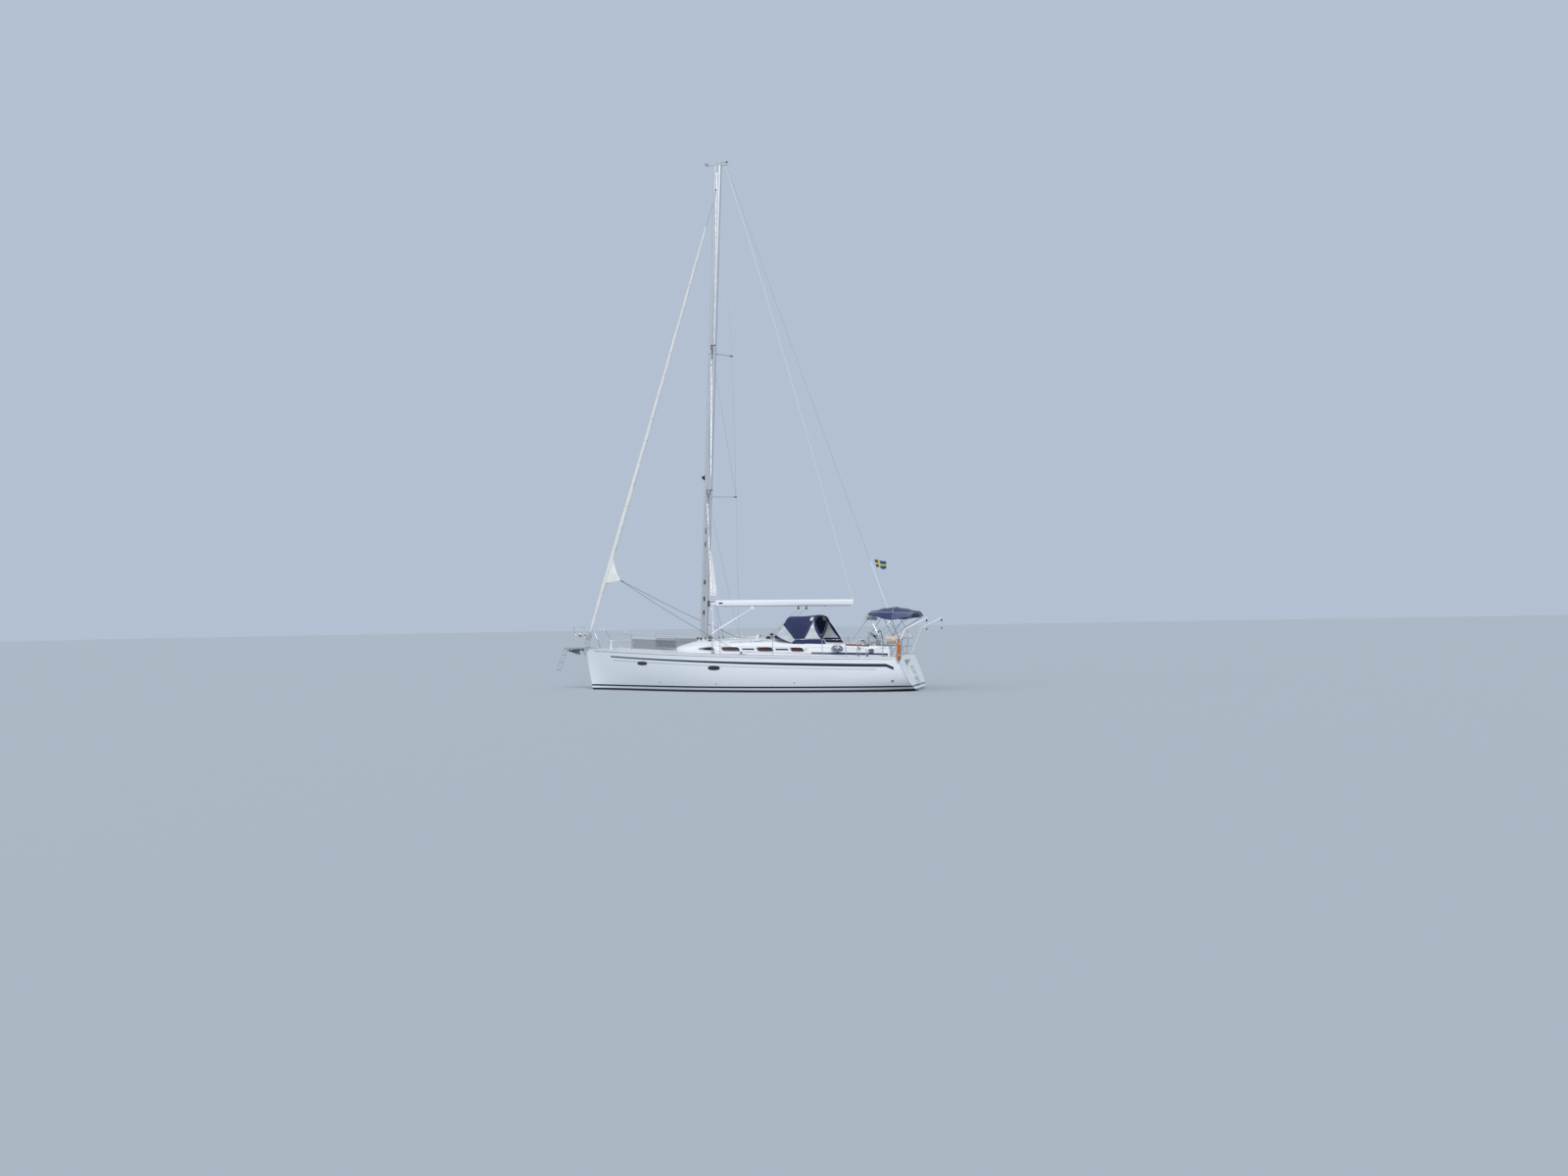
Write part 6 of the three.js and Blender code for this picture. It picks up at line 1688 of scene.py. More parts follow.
# %% Fold the curtains
CURTAIN_BACK = 0.070
CURTAIN_HALF = 0.105
CURTAIN_PLEAT = 0.055
CURTAIN_DEPTH = 0.011
CURTAIN_STEP = 0.008

curtain_cloth = grained("curtain_cloth", 0.9, (3.0,), (0.27, 0.055, 0.045), (0.42, 0.105, 0.085),
                        Sheen_Weight=0.2, slot="orange_webbing")
curtain_cloth.relief(weave(curtain_cloth.x, curtain_cloth.z, 0.003), 0.0008, 0.4)


def curtain_point(x, share, side):
    """A point of a curtain: share runs from 0 at its lower hem to 1 at its rail."""
    middle = BAND_HEIGHT + x * BAND_SLOPE
    strip = surface(f"window_strip_{'port' if side > 0 else 'starboard'}", (x, 0, middle), (0, side, 0))
    swing = math.sin(math.tau * x / CURTAIN_PLEAT + 0.5 * math.sin(x * 9))
    depth = CURTAIN_DEPTH * swing * (1.1 - 0.35 * share)
    return Vector((x, strip[0].y - side * CURTAIN_BACK + depth,
                   middle + CURTAIN_HALF * (2 * share - 1)))


# %% Hang the curtains
CURTAIN_OVERLAP = 0.03
CURTAIN_ROWS = 6
CURTAIN_THICK = 0.001
for side, word in SIDES:
    grid = bmesh.new()
    for fore, aft in WINDOWS[1:]:
        count = round((fore - aft + 2 * CURTAIN_OVERLAP) / CURTAIN_STEP)
        xs = [fore + CURTAIN_OVERLAP - CURTAIN_STEP * k for k in range(count + 1)]
        lines = [[grid.verts.new(curtain_point(x, k / CURTAIN_ROWS, side)) for x in xs]
                 for k in range(CURTAIN_ROWS + 1)]
        for low, high in zip(lines, lines[1:]):
            for a, b, c, d in zip(low, low[1:], high[1:], high):
                grid.faces.new((a, b, c, d) if side > 0 else (d, c, b, a))
    data = bpy.data.meshes.new(f"curtains_{word}")
    grid.to_mesh(data)
    grid.free()
    curtain = finished(f"curtains_{word}", data, curtain_cloth, "yacht", crease=180)
    solidify = curtain.modifiers.new("cloth", "SOLIDIFY")
    solidify.thickness = CURTAIN_THICK

# %% [markdown]
# ## Nets between the foredeck's lifelines
# Two nets keep a lowered sail on the foredeck: a square knotted net set on its corners,
# laced to a rope all round, and tied to the upper lifeline and the rail. Two families of parallel
# cords crossing a flat panel make the diamonds, and the rope tree gives them their thickness.

# %% Lay out a net's cords
NET_PITCH = 0.021
CORD = 0.0023
NET_HEIGHT = 0.345
NET_SLACK = 0.010
NET_AFT = Vector((2.105, 1.625, 1.504))
NET_FORE = Vector((4.038, 1.103, 1.582))
NET_LENGTH = (NET_FORE - NET_AFT).length
WIRE_UP = 0.462
RAIL_DOWN = -0.040
NET_TIES = 24


def net_point(along, rise, side):
    """A point of a net's panel from metres along its foot and metres up."""
    spot = NET_AFT.lerp(NET_FORE, along / NET_LENGTH) + up(rise)
    slack = math.sin(math.pi * along / NET_LENGTH) * math.sin(math.pi * rise / NET_HEIGHT)
    return Vector((spot.x, (spot.y - NET_SLACK * slack) * side, spot.z))


def net_cords(side):
    """Both families of cords, each from edge to edge of the panel."""
    paths = []
    start = -NET_HEIGHT
    while start < NET_LENGTH:
        low, high = max(start, 0.0), min(start + NET_HEIGHT, NET_LENGTH)
        if high - low > 0.01:
            shares = [low + (high - low) * k / 8 for k in range(9)]
            paths.append([net_point(s, s - start, side) for s in shares])
            paths.append([net_point(s, NET_HEIGHT - (s - start), side) for s in shares])
        start += NET_PITCH
    return paths


# %% Knot the nets and lace them
for side, word in SIDES:
    net = ropes(f"net_{word}", net_cords(side), CORD, netting, step=0.09, sides=4)
    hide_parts(f"foredeck_net_{word}")
edges = []
lacing = []
for side in (1, -1):
    foot = [net_point(NET_LENGTH * k / 12, 0, side) for k in range(13)]
    head = [net_point(NET_LENGTH * k / 12, NET_HEIGHT, side) for k in range(13)]
    edges.append(foot + head[::-1] + foot[:1])
    for edge, beyond in ((NET_HEIGHT, WIRE_UP), (0.0, RAIL_DOWN)):
        lacing.append([net_point(NET_LENGTH * k / NET_TIES / 2, edge if k % 2 else beyond, side)
                       for k in range(NET_TIES * 2 + 1)])
ropes("net_bolt_ropes", edges, 0.0045, netting, step=0.10, sides=8)
ropes("net_lacing", lacing, 0.0022, white_paint, step=0.012, sides=5, slot="grey_net")
print("cords in one net:", len(net_cords(1)))

# %% [markdown]
# ## What is set into the hull's sides
# Two long oval ports in each side, a rubbing strip just under the deck with a black line below it
# for its painted shadow, the exhaust and the sink outlets. The hull curves both ways, so each piece
# takes its points from the hull itself: a straight line from outside meets the solid at the right place.

# %% Find the hull's side and its upper edge
OUTSIDE = 3.0
SHEER_SEARCH = 1.60
SHEER_STEP = 0.003


def from_side(solid, x, z, side):
    """Where a straight line from well outside meets a solid's side, and the normal there."""
    return surface(solid, (x, OUTSIDE * side, z), (0, -side, 0))


def side_point(x, z, side, out=0.0, solid="hull"):
    """A point on the side of the hull or of another solid, moved outwards."""
    place, normal = from_side(solid, x, z, side)
    return place + normal * out


def sheer(x, side):
    """The hull's upper edge, found by lowering a straight line until it meets the hull."""
    z = SHEER_SEARCH
    while True:
        try:
            return side_point(x, z, side)
        except ValueError:
            z -= SHEER_STEP


# %% Set the ports
# Columns: middle x, middle z, length, height
PORTS = [(3.600, 1.037, 0.460, 0.143), (0.555, 0.875, 0.475, 0.156)]


def port_ring(port, side, size, out, count=36):
    x, z, length, tall = port
    ring = []
    for k in range(count):
        angle = math.tau * k / count
        across = math.copysign(abs(math.cos(angle)) ** 0.8, math.cos(angle))
        rise = math.copysign(abs(math.sin(angle)) ** 0.8, math.sin(angle))
        ring.append(side_point(x + across * length / 2 * size, z + rise * tall / 2 * size, side, out))
    return ring


panes = Shape()
frames = Shape()
for port in PORTS:
    for side in (1, -1):
        panes.rings([port_ring(port, side, 0.93, -0.004), port_ring(port, side, 0.93, 0.004),
                     port_ring(port, side, 0.90, 0.006)])
        frames.rings([port_ring(port, side, 1.00, -0.003), port_ring(port, side, 0.99, 0.006),
                      port_ring(port, side, 0.94, 0.009), port_ring(port, side, 0.91, 0.003),
                      port_ring(port, side, 0.91, -0.003)])
panes.piece("hull_ports", glass)
frames.piece("hull_port_frames", black)

# %% Lay the rubbing strip and its painted shadow under it
STRIP_FORE = 5.95
STRIP_AFT = -5.86
STRIP_STEPS = 70
DECK_RISE = 0.012
RUB_SHADOW_DROP = 0.022
strips = []
# seams here gathers the line of the rubbing strip's painted shadow, just below the strip.
seams = []
for side in (1, -1):
    edge = [sheer(between(STRIP_FORE, STRIP_AFT, k / STRIP_STEPS), side) for k in range(STRIP_STEPS + 1)]
    deck_edge = [from_side("deck", place.x, place.z + DECK_RISE, side)[0] for place in edge]
    strips.append([place - Vector((0, side * 0.004, 0.002)) for place in deck_edge])
    seams.append([side_point(place.x, place.z - RUB_SHADOW_DROP, side) for place in edge])
ropes("rubbing_strip", strips, 0.011, moulding, step=0.16, sides=10)
# A thin black rope under the rubbing strip: the strip's painted shadow, not a real seam.
ropes("hull_seam", seams, 0.0065, black, step=0.16, sides=6)

# %% Let the outlets in
# Columns: x, z, radius, sides. The exhaust comes first, and it is on one side only
OUTLETS = [(-5.80, 0.38, 0.045, (1,)), (-2.40, 0.34, 0.020, (1, -1)), (0.55, 0.30, 0.018, (1, -1)),
           (2.90, 0.34, 0.018, (1, -1))]
outlets = Shape()
for x, z, radius, sides in OUTLETS:
    for side in sides:
        place, normal = from_side("hull", x, z, side)
        outlets.turned([(radius * 0.5, -0.03), (radius * 0.5, 0.004), (radius * 0.62, 0.012),
                        (radius * 0.9, 0.011), (radius, 0.0), (radius, -0.02)], place, normal, 20)
outlets.piece("hull_outlets", black)

# %% Edge the transom
TRANSOM_FOOT = -6.488
TRANSOM_LEAN = 0.44
TRANSOM_TOP = 1.10
TRANSOM_DROP = 1.06
heights = [TRANSOM_TOP - TRANSOM_DROP * (k / 14) ** 0.8 for k in range(15)]
edge = [side_point(TRANSOM_FOOT + TRANSOM_LEAN * z, z, 1, 0.001) for z in heights]
ropes("transom_edge", both_sides(edge), 0.005, rubber, step=0.06, sides=6)

# %% Measure the navy band along the cockpit coaming
# Columns: x, middle height
COAMING_BAND = [(-5.60, 1.285), (-4.72, 1.316), (-2.89, 1.352)]
# Columns: height from the middle, distance out of the coaming
COAMING_BAND_RING = [(-0.034, -0.002), (-0.034, 0.0016), (0.034, 0.0016), (0.034, -0.002)]
vinyl = grained("navy_vinyl", 0.35, (5.0,), (0.013, 0.030, 0.080), (0.024, 0.048, 0.110), (0.30, 0.15),
                slot="navy_canvas")

# %% Fasten the band
coaming_band = Shape()
for side in (1, -1):
    rings = []
    for k in range(41):
        x = between(COAMING_BAND[0][0], COAMING_BAND[2][0], k / 40)
        i = 0 if x < COAMING_BAND[1][0] else 1
        (x0, z0), (x1, z1) = COAMING_BAND[i], COAMING_BAND[i + 1]
        z = between(z0, z1, (x - x0) / (x1 - x0))
        rings.append([side_point(x, z + rise, side, out, "cockpit") for rise, out in COAMING_BAND_RING])
    coaming_band.rings(rings)
coaming_band.piece("coaming_band", vinyl)
print("ports, strips and band laid on the hull")

# %% [markdown]
# ## Deck fittings along the rail
# Lifelines stand in bolted bases, mooring lines go round horn cleats, and the genoa's sheets run
# through a car on a track. Each fitting is a small turned or moulded shape, so a few functions
# make them, and straight lines from above find how high the cambered deck is under each.

# %% Set the stanchion bases
bases = Shape()
for x in STANCHIONS:
    for side in (1, -1):
        foot = post_at(x, side, 0.0)
        bases.turned([(0.034, -0.012), (0.034, 0.006), (0.019, 0.012), (0.0175, 0.050), (0.0145, 0.052)],
                     foot, sides=20)
bases.piece("stanchion_bases", steel)

# %% End the lifelines
# Columns: a place on the lifeline, its end, and the place on the rail that it is screwed to
WIRE_ENDS = [
    ((-4.680, 1.745, 1.805), (-4.9001, 1.7249, 1.8015), (-4.936, 1.7172, 1.8015)),
    ((-4.680, 1.745, 1.525), (-4.9001, 1.7249, 1.5212), (-4.936, 1.7172, 1.5212)),
    ((4.100, 1.085, 2.044), (5.8981, 0.5102, 2.2679), (5.9117, 0.5089, 2.2593)),
    ((4.100, 1.085, 1.764), (5.6628, 0.5944, 1.8612), (5.6858, 0.5799, 1.8613)),
]
swages = Shape()
for side in (1, -1):
    for places in WIRE_ENDS:
        wire, end, rail = [Vector((x, y * side, z)) for x, y, z in places]
        way = (end - wire).normalized()
        swages.tube([end - way * 0.060, end - way * 0.055, end - way * 0.006, end,
                     rail + (rail - end) * 0.1], [0.0050, 0.0080, 0.0080, 0.0050, 0.0050], 12)
swages.piece("lifeline_ends", steel)


# %% Fasten the mooring cleats
def horn_cleat(shape, foot, length=0.25, bearing=0.0):
    """A mooring cleat: two feet and a bar whose ends rise like horns."""
    ahead = Vector((math.cos(bearing), math.sin(bearing), 0))
    for share in (-0.14, 0.14):
        shape.turned([(0.020, -0.006), (0.016, 0.008), (0.012, 0.040)], foot + ahead * length * share,
                     sides=14)
    bar = [(-0.5, 0.058), (-0.36, 0.050), (-0.16, 0.044), (0.16, 0.044), (0.36, 0.050), (0.5, 0.058)]
    path = [foot + ahead * length * share + up(rise) for share, rise in bar]
    shape.tube(path, [0.006, 0.011, 0.013, 0.013, 0.011, 0.006], 12)


CLEATS = [(5.35, 0.52, -0.35), (-0.55, 1.87, 0.02), (-5.55, 1.52, 0.06)]
cleats = Shape()
for x, y, bearing in CLEATS:
    for side in (1, -1):
        horn_cleat(cleats, deck_at(x, y * side), bearing=bearing * side)
cleats.piece("mooring_cleats", steel)

# %% Lay the genoa tracks
TRACK_Y = 1.52
TRACK_FORE = 0.45
TRACK_AFT = -1.35
TRACK_RING = [(-0.016, -0.004), (0.016, -0.004), (0.016, 0.012), (-0.016, 0.012)]
tracks = Shape()
lines = []
for side in (1, -1):
    path = [deck_at(between(TRACK_FORE, TRACK_AFT, k / 8), TRACK_Y * side) for k in range(9)]
    tracks.rings([[point + Vector((0, y, z)) for y, z in TRACK_RING] for point in path])
    lines.append([point + up(0.0115) for point in path])
tracks.piece("genoa_tracks", rail_metal, bevel=0.002)
bolt = pattern("bolt_head", Shape().turned([(0.0065, 0.0), (0.0065, 0.0015), (0.0045, 0.0035)],
                                           (0, 0, 0), sides=8))
row("track_bolts", lines, 0.10, bolt, steel)

# %% Set the cars and the foot blocks
cars = Shape()
for side in (1, -1):
    spot = deck_at(CAR[0], CAR[1] * side)
    cars.block(spot + up(0.024), (0.13, 0.046, 0.028), 0.007)
    pulley(cars, spot + up(0.070), (0, 12, 0), 0.030)
    spot = deck_at(FOOT_BLOCK[0], FOOT_BLOCK[1] * side)
    cars.block(spot + up(0.014), (0.12, 0.060, 0.030), 0.008)
    cars.turned([(0.034, 0.028), (0.034, 0.034), (0.026, 0.042), (0.034, 0.052), (0.034, 0.058),
                 (0.008, 0.062)], spot, sides=20)
cars.piece("genoa_cars", black)

# %% Fasten the chainplates
plates = Shape()
for x in (0.770, 0.690):
    for side in (1, -1):
        spot = deck_at(x, SHROUD_Y * side)
        plates.block(spot + up(0.003), (0.070, 0.055, 0.010), 0.003)
        plates.block(spot + up(0.034), (0.030, 0.008, 0.060), 0.003)
plates.piece("chainplates", steel)
print("cleats:", 2 * len(CLEATS), "bases:", 2 * len(STANCHIONS))

# %% [markdown]
# ## On the coachroof
# Halyards and reefing lines come down to blocks at the mast's foot, turn at flat organisers and
# run aft to clutches and a winch on each side of the companionway. Next to them are grab rails
# and white ventilators.

# %% Lead the halyards aft
TAILS = 4
TAIL_INNER = 0.44
TAIL_GAP = 0.046
TAIL_LIFT = up(0.026)
ORGANISER_X = 1.20
CLUTCH_X = -1.07
organisers = Shape()
clutches = Shape()
tails = []
for side in (1, -1):
    plate_middle = roof_at(ORGANISER_X, 0.52 * side)
    organisers.block(plate_middle + up(0.016), (0.085, 0.20, 0.008), 0.003)
    organisers.block(plate_middle + up(0.038), (0.085, 0.20, 0.006), 0.003)
    for k in range(TAILS):
        across = (TAIL_INNER + k * TAIL_GAP) * side
        organisers.turned([(0.019, 0.018), (0.013, 0.027), (0.019, 0.036)], roof_at(ORGANISER_X, across),
                          sides=14)
        start = roof_at(1.50 - k * 0.02, (0.16 + k * 0.012) * side) + up(0.060)
        run = [roof_at(between(1.18, -1.00, j / 12), across) + TAIL_LIFT for j in range(13)]
        tails.append([start, roof_at(1.30, across * 0.96) + TAIL_LIFT] + run)
    middle = roof_at(CLUTCH_X, 0.509 * side)
    clutches.block(middle + up(0.026), (0.17, 0.19, 0.052), 0.010)
    for k in range(TAILS):
        spot = roof_at(CLUTCH_X, (TAIL_INNER + k * TAIL_GAP) * side)
        clutches.block(spot + Vector((0.012, 0, 0.060)), (0.12, 0.026, 0.020), 0.007, (0, -6, 0))
organisers.piece("line_organisers", black)
clutches.piece("rope_clutches", black)
ropes("halyard_tails", tails, 0.0050, light_rope, step=0.10, sides=7, slot="sailcloth")

# %% Turn the roof winches
roof_winches = Shape()
for side in (1, -1):
    roof_winches.turned([(0.064, -0.004), (0.066, 0.018), (0.046, 0.030), (0.042, 0.060), (0.046, 0.088),
                         (0.058, 0.094), (0.058, 0.110), (0.030, 0.118), (0.012, 0.118)],
                        roof_at(-1.24, 0.70 * side), sides=28)
roof_winches.piece("roof_winches", steel)

# %% Mould the ventilators
VENT_X = -0.78
VENT_Y = 0.90
VENT_BEND = [(0.03, 0.03), (0.03, 0.11), (0.015, 0.16), (-0.030, 0.185), (-0.075, 0.190)]
vents = Shape()
mouths = Shape()
for side in (1, -1):
    foot = roof_at(VENT_X, VENT_Y * side)
    vents.block(foot + up(0.028), (0.24, 0.16, 0.070), 0.022)
    vents.tube([foot + Vector((x, 0, z)) for x, z in VENT_BEND], [0.042, 0.042, 0.046, 0.056, 0.066], 22)
    mouths.turned([(0.055, -0.004), (0.055, 0.003), (0.010, 0.004)],
                  foot + Vector((-0.0745, 0, 0.190)), (-1, 0, 0.06), 22)
vents.piece("ventilators", moulding, bevel=0.002)
mouths.piece("ventilator_mouths", black)

# %% Bend the grab rails
GRAB_Y = 0.985
GRAB_FEET = (0.248, -0.150, -0.550, -0.950, -1.349)
grab_rails = Shape()
for side in (1, -1):
    feet = [roof_at(x, GRAB_Y * side) for x in GRAB_FEET]
    rail = [feet[0] - up(0.004), feet[0] + Vector((-0.02, 0, 0.036))]
    for foot in feet[1:-1]:
        rail.append(foot + up(0.048))
        grab_rails.tube([foot - up(0.004), foot + up(0.046)], 0.009, 12)
    rail += [feet[-1] + Vector((0.02, 0, 0.036)), feet[-1] - up(0.004)]
    grab_rails.tube(rail, 0.0115, 14)
    for foot in feet:
        grab_rails.turned([(0.022, -0.004), (0.022, 0.003), (0.014, 0.006)], foot, sides=16)
grab_rails.piece("grab_rails", steel)

# %% [markdown]
# ## Hatches, lids and their hinges
# A deck hatch is a smoked acrylic pane in an aluminium frame, the lids over lockers are moulded
# with a drain groove round them. What opens carries its own pane, handle and hinge leaf, so those
# ride with the lid, and the other leaf stays on deck.

# %% Glaze and hinge the hatches
def hatch_dressing(name, body, hinge_side):
    """A frame, a pane, two handles and hinges on a hatch lid; hinge_side is +1 forward, -1 aft."""
    low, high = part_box(name)
    middle = (low + high) / 2
    size = high - low
    pane = Shape().block(Vector((middle.x, middle.y, high.z + 0.001)),
                         (size.x - 0.075, size.y - 0.075, 0.008), 0.003)
    pane.piece(f"{name}_pane", glass, body)
    frame_shape = Shape()
    for along in (-1, 1):
        frame_shape.block(Vector((middle.x + along * (size.x / 2 - 0.020), middle.y, high.z)),
                          (0.036, size.y - 0.004, 0.010), 0.004)
        frame_shape.block(Vector((middle.x, middle.y + along * (size.y / 2 - 0.020), high.z)),
                          (size.x - 0.050, 0.036, 0.010), 0.004)
    frame_shape.piece(f"{name}_frame", anodised, body)
    handles = Shape()
    for along in (-1, 1):
        spot = Vector((middle.x - hinge_side * (size.x / 2 - 0.070), middle.y + along * size.y * 0.27,
                       high.z + 0.007))
        handles.turned([(0.016, -0.003), (0.016, 0.005), (0.010, 0.008)], spot, sides=16)
        handles.block(spot + Vector((0, along * 0.020, 0.009)), (0.016, 0.060, 0.008), 0.003)
        edge = Vector((middle.x + hinge_side * (size.x / 2 - 0.016), middle.y + along * size.y * 0.30,
                       high.z + 0.006))
        handles.block(edge, (0.030, 0.050, 0.008), 0.003)
    handles.piece(f"{name}_handles", black, body)


hatch_dressing("fore_hatch", "fore_hatch", 1)
hatch_dressing("saloon_hatch", "saloon_hatch", 1)

# %% Catch the anchor locker's lid and grip the sliding hatch
lid_low, lid_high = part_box("anchor_locker_lid")
# Columns: x, distance from the middle line, size, rounding
CATCHES = [(lid_low.x + 0.055, 0.192, (0.050, 0.030, 0.008), 0.003),
           (lid_high.x - 0.050, 0.096, (0.040, 0.050, 0.007), 0.002)]
catches = Shape()
for side in (-1, 1):
    for x, y, size, rounding in CATCHES:
        catches.block(surface("anchor_locker_lid", (x, y * side, 3))[0] + up(0.002), size, rounding)
catches.piece("anchor_locker_catches", steel, "anchor_locker_lid")

grip_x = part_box("companionway_hatch")[0].x + 0.070
slide = Shape()
slide.block(surface("companionway_hatch", (grip_x, 0, 3))[0] + up(0.010), (0.022, 0.34, 0.022), 0.008)
slide.piece("companionway_hatch_grip", black, "companionway_hatch")

# %% [markdown]
# ## At the bow
# The anchor hangs under the end of the platform with its shank on a roller, and a short chain
# leads back to the locker. Links repeat along a path, each turned against the last, so one
# pair of links is the shape that the row tree repeats. Lamps stand on the rails.

# %% Shackle the chain and turn the roller
LINK_LENGTH = 0.034
LINK_WIRE = 0.0045


def link(shape, middle, upright):
    """One chain link: a stadium of round wire, flat or upright."""
    path = []
    for k in range(13):
        angle = math.tau * k / 12
        along = math.cos(angle) * LINK_LENGTH * 0.62
        across = math.sin(angle) * LINK_LENGTH * 0.36
        path.append(Vector((middle + along, 0 if upright else across, across if upright else 0)))
    shape.tube(path, LINK_WIRE, 6)


pair = Shape()
link(pair, -LINK_LENGTH / 2, True)
link(pair, LINK_LENGTH / 2, False)
links = pattern("chain_links", pair)
CHAIN_PATH = [(6.570, 0.0, 1.590), (6.480, 0.030, 1.628), (6.330, 0.100, 1.634), (6.245, 0.128, 1.600),
              (6.130, 0.120, 1.580), (6.000, 0.080, 1.570), (5.940, 0.060, 1.568)]
chain_places = []
for a, b in zip(CHAIN_PATH, CHAIN_PATH[1:]):
    chain_places += [between(a, b, k / 6) for k in range(6)]
row("anchor_chain", [chain_places + [Vector(CHAIN_PATH[-1])]], LINK_LENGTH * 2, links, galvanised)

# %% Turn the bow roller
roller = Shape()
roller.turned([(0.046, -0.055), (0.030, -0.020), (0.030, 0.020), (0.046, 0.055)], (7.265, 0, 1.535),
              (0, 1, 0), 24)
roller.piece("bow_roller", black)
cheeks = Shape()
for side in (1, -1):
    cheeks.plate([(7.18, 0.062 * side, 1.50), (7.32, 0.062 * side, 1.50), (7.32, 0.062 * side, 1.60),
                  (7.18, 0.062 * side, 1.60)], 0.006)
cheeks.piece("bow_roller_cheeks", steel)

# %% Fit the navigation lamps
RIBS = (30.0, (1, 1, 6))
LENS = {"Coat_Weight": 0.6, "slot": "tinted_glass"}
red_lens = grained("red_lens", 0.1, RIBS, (0.35, 0.012, 0.010), (0.50, 0.030, 0.020), **LENS)
green_lens = grained("green_lens", 0.1, RIBS, (0.010, 0.22, 0.10), (0.020, 0.36, 0.17), **LENS)
white_lens = grained("white_lens", 0.1, RIBS, (0.62, 0.66, 0.70), (0.80, 0.82, 0.84), **LENS)
LAMP_RADIUS = 0.030
LAMP_HEIGHT = 0.062
# Columns: name, lens, place, way it faces
LAMPS = [
    ("red_lamp", red_lens, Vector((6.62, 0.178, 2.064)), Vector((0.55, 1, 0))),
    ("green_lamp", green_lens, Vector((6.62, -0.178, 2.064)), Vector((0.55, -1, 0))),
    ("stern_lamp", white_lens, Vector((-5.972, 0.560, 1.812)), Vector((-1, 0, 0))),
]
housings = Shape()
for name, finish, place, facing in LAMPS:
    away = facing.normalized()
    foot = place + away * 0.036 - up(LAMP_HEIGHT / 2)
    lens_shape = Shape().turned([(LAMP_RADIUS * 0.86, 0.004), (LAMP_RADIUS * 0.92, LAMP_HEIGHT / 2),
                                 (LAMP_RADIUS * 0.86, LAMP_HEIGHT - 0.004)], foot, sides=24)
    lens_shape.piece(name, finish)
    for low, high in ((-0.006, 0.006), (LAMP_HEIGHT - 0.006, LAMP_HEIGHT + 0.008)):
        housings.turned([(LAMP_RADIUS, low), (LAMP_RADIUS, high - 0.002), (LAMP_RADIUS * 0.85, high)],
                        foot, sides=24)
    bearing = math.degrees(math.atan2(away.y, away.x))
    housings.block(place + away * 0.010, (0.024, 0.050, LAMP_HEIGHT + 0.010), 0.006, (0, 0, bearing))
housings.piece("lamp_housings", black)
print("links, lamps and rollers fitted at the ends")

# %% [markdown]
# ## Teak in the cockpit
# Seats and soles are laid with narrow teak slats, dark caulking between them. A slat
# is one plank with rounded edges, and the row tree repeats it across each seat. The slats on the
# locker lids are pieces of their own, because they lift with the lids.

# %% Lay the slats
SLAT_WIDTH = 0.042
SLAT_STEP = 0.047
SLAT_THICK = 0.007
SEAT_Z = 1.262
SEAT_INNER = 0.46
SEAT_OUTER = 0.95
SOLE_Z = 0.860
LID_X = -3.80


def slat(length):
    return pattern("slat", Shape().block((0, 0, SLAT_THICK / 2), (SLAT_WIDTH, length, SLAT_THICK), 0.0018))


def slat_path(x, y_from, y_to, z):
    """A path across the boat along which slats are laid."""
    return [Vector((x, y_from, z)), Vector((x, y_to, z))]


for name, x, length in (("teak_seat_fore", -3.035, 0.39), ("teak_seat_aft", -4.540, 0.33)):
    seats = [slat_path(x, side * SEAT_INNER, side * SEAT_OUTER, SEAT_Z) for side in (1, -1)]
    row(name, seats, SLAT_STEP, slat(length), teak)
for name, x, half, length in (("teak_sole", -3.800, 0.36, 1.70), ("teak_helm_sole", -5.020, 0.86, 0.44)):
    row(name, [slat_path(x, -half, half, SOLE_Z)], SLAT_STEP, slat(length), teak)

# %% Slat the locker lids
for side, word in SIDES:
    lid = f"locker_lid_{word}"
    low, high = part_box(lid)
    row(f"teak_lid_{word}", [slat_path(LID_X, side * 0.52, side * 0.93, high.z)], SLAT_STEP,
        slat(1.02), teak, lid)
    catch = Shape()
    catch.turned([(0.026, -0.003), (0.026, 0.0020), (0.020, 0.0028), (0.018, 0.0010), (0.004, 0.0010)],
                 Vector((LID_X, side * 0.500, high.z)), sides=20)
    catch.piece(f"locker_catch_{word}", steel, lid)

# %% [markdown]
# ## The companionway
# Two louvred doors close the cabin under a sliding hatch, which runs into a raised garage on the
# roof. The garage is a thin shell over the hatch's path, and each door carries its own louvres and
# knob. The gap round the moving hatch stays as wide as on the solid model.

# %% Raise the hatch's garage
GARAGE_FORE = -1.500
GARAGE_AFT = -2.110
GARAGE_HALF = 0.440
GARAGE_TOP = 2.022
garage = Shape()
middle_x = (GARAGE_FORE + GARAGE_AFT) / 2
garage.block((middle_x, 0, GARAGE_TOP), (GARAGE_FORE - GARAGE_AFT, GARAGE_HALF * 2, 0.016), 0.007)
for side in (1, -1):
    garage.block((middle_x, side * (GARAGE_HALF - 0.009), 1.960),
                 (GARAGE_FORE - GARAGE_AFT, 0.018, 0.125), 0.006)
garage.block((GARAGE_FORE - 0.009, 0, 1.965), (0.018, GARAGE_HALF * 2, 0.115), 0.006)
garage.piece("hatch_garage", moulding)

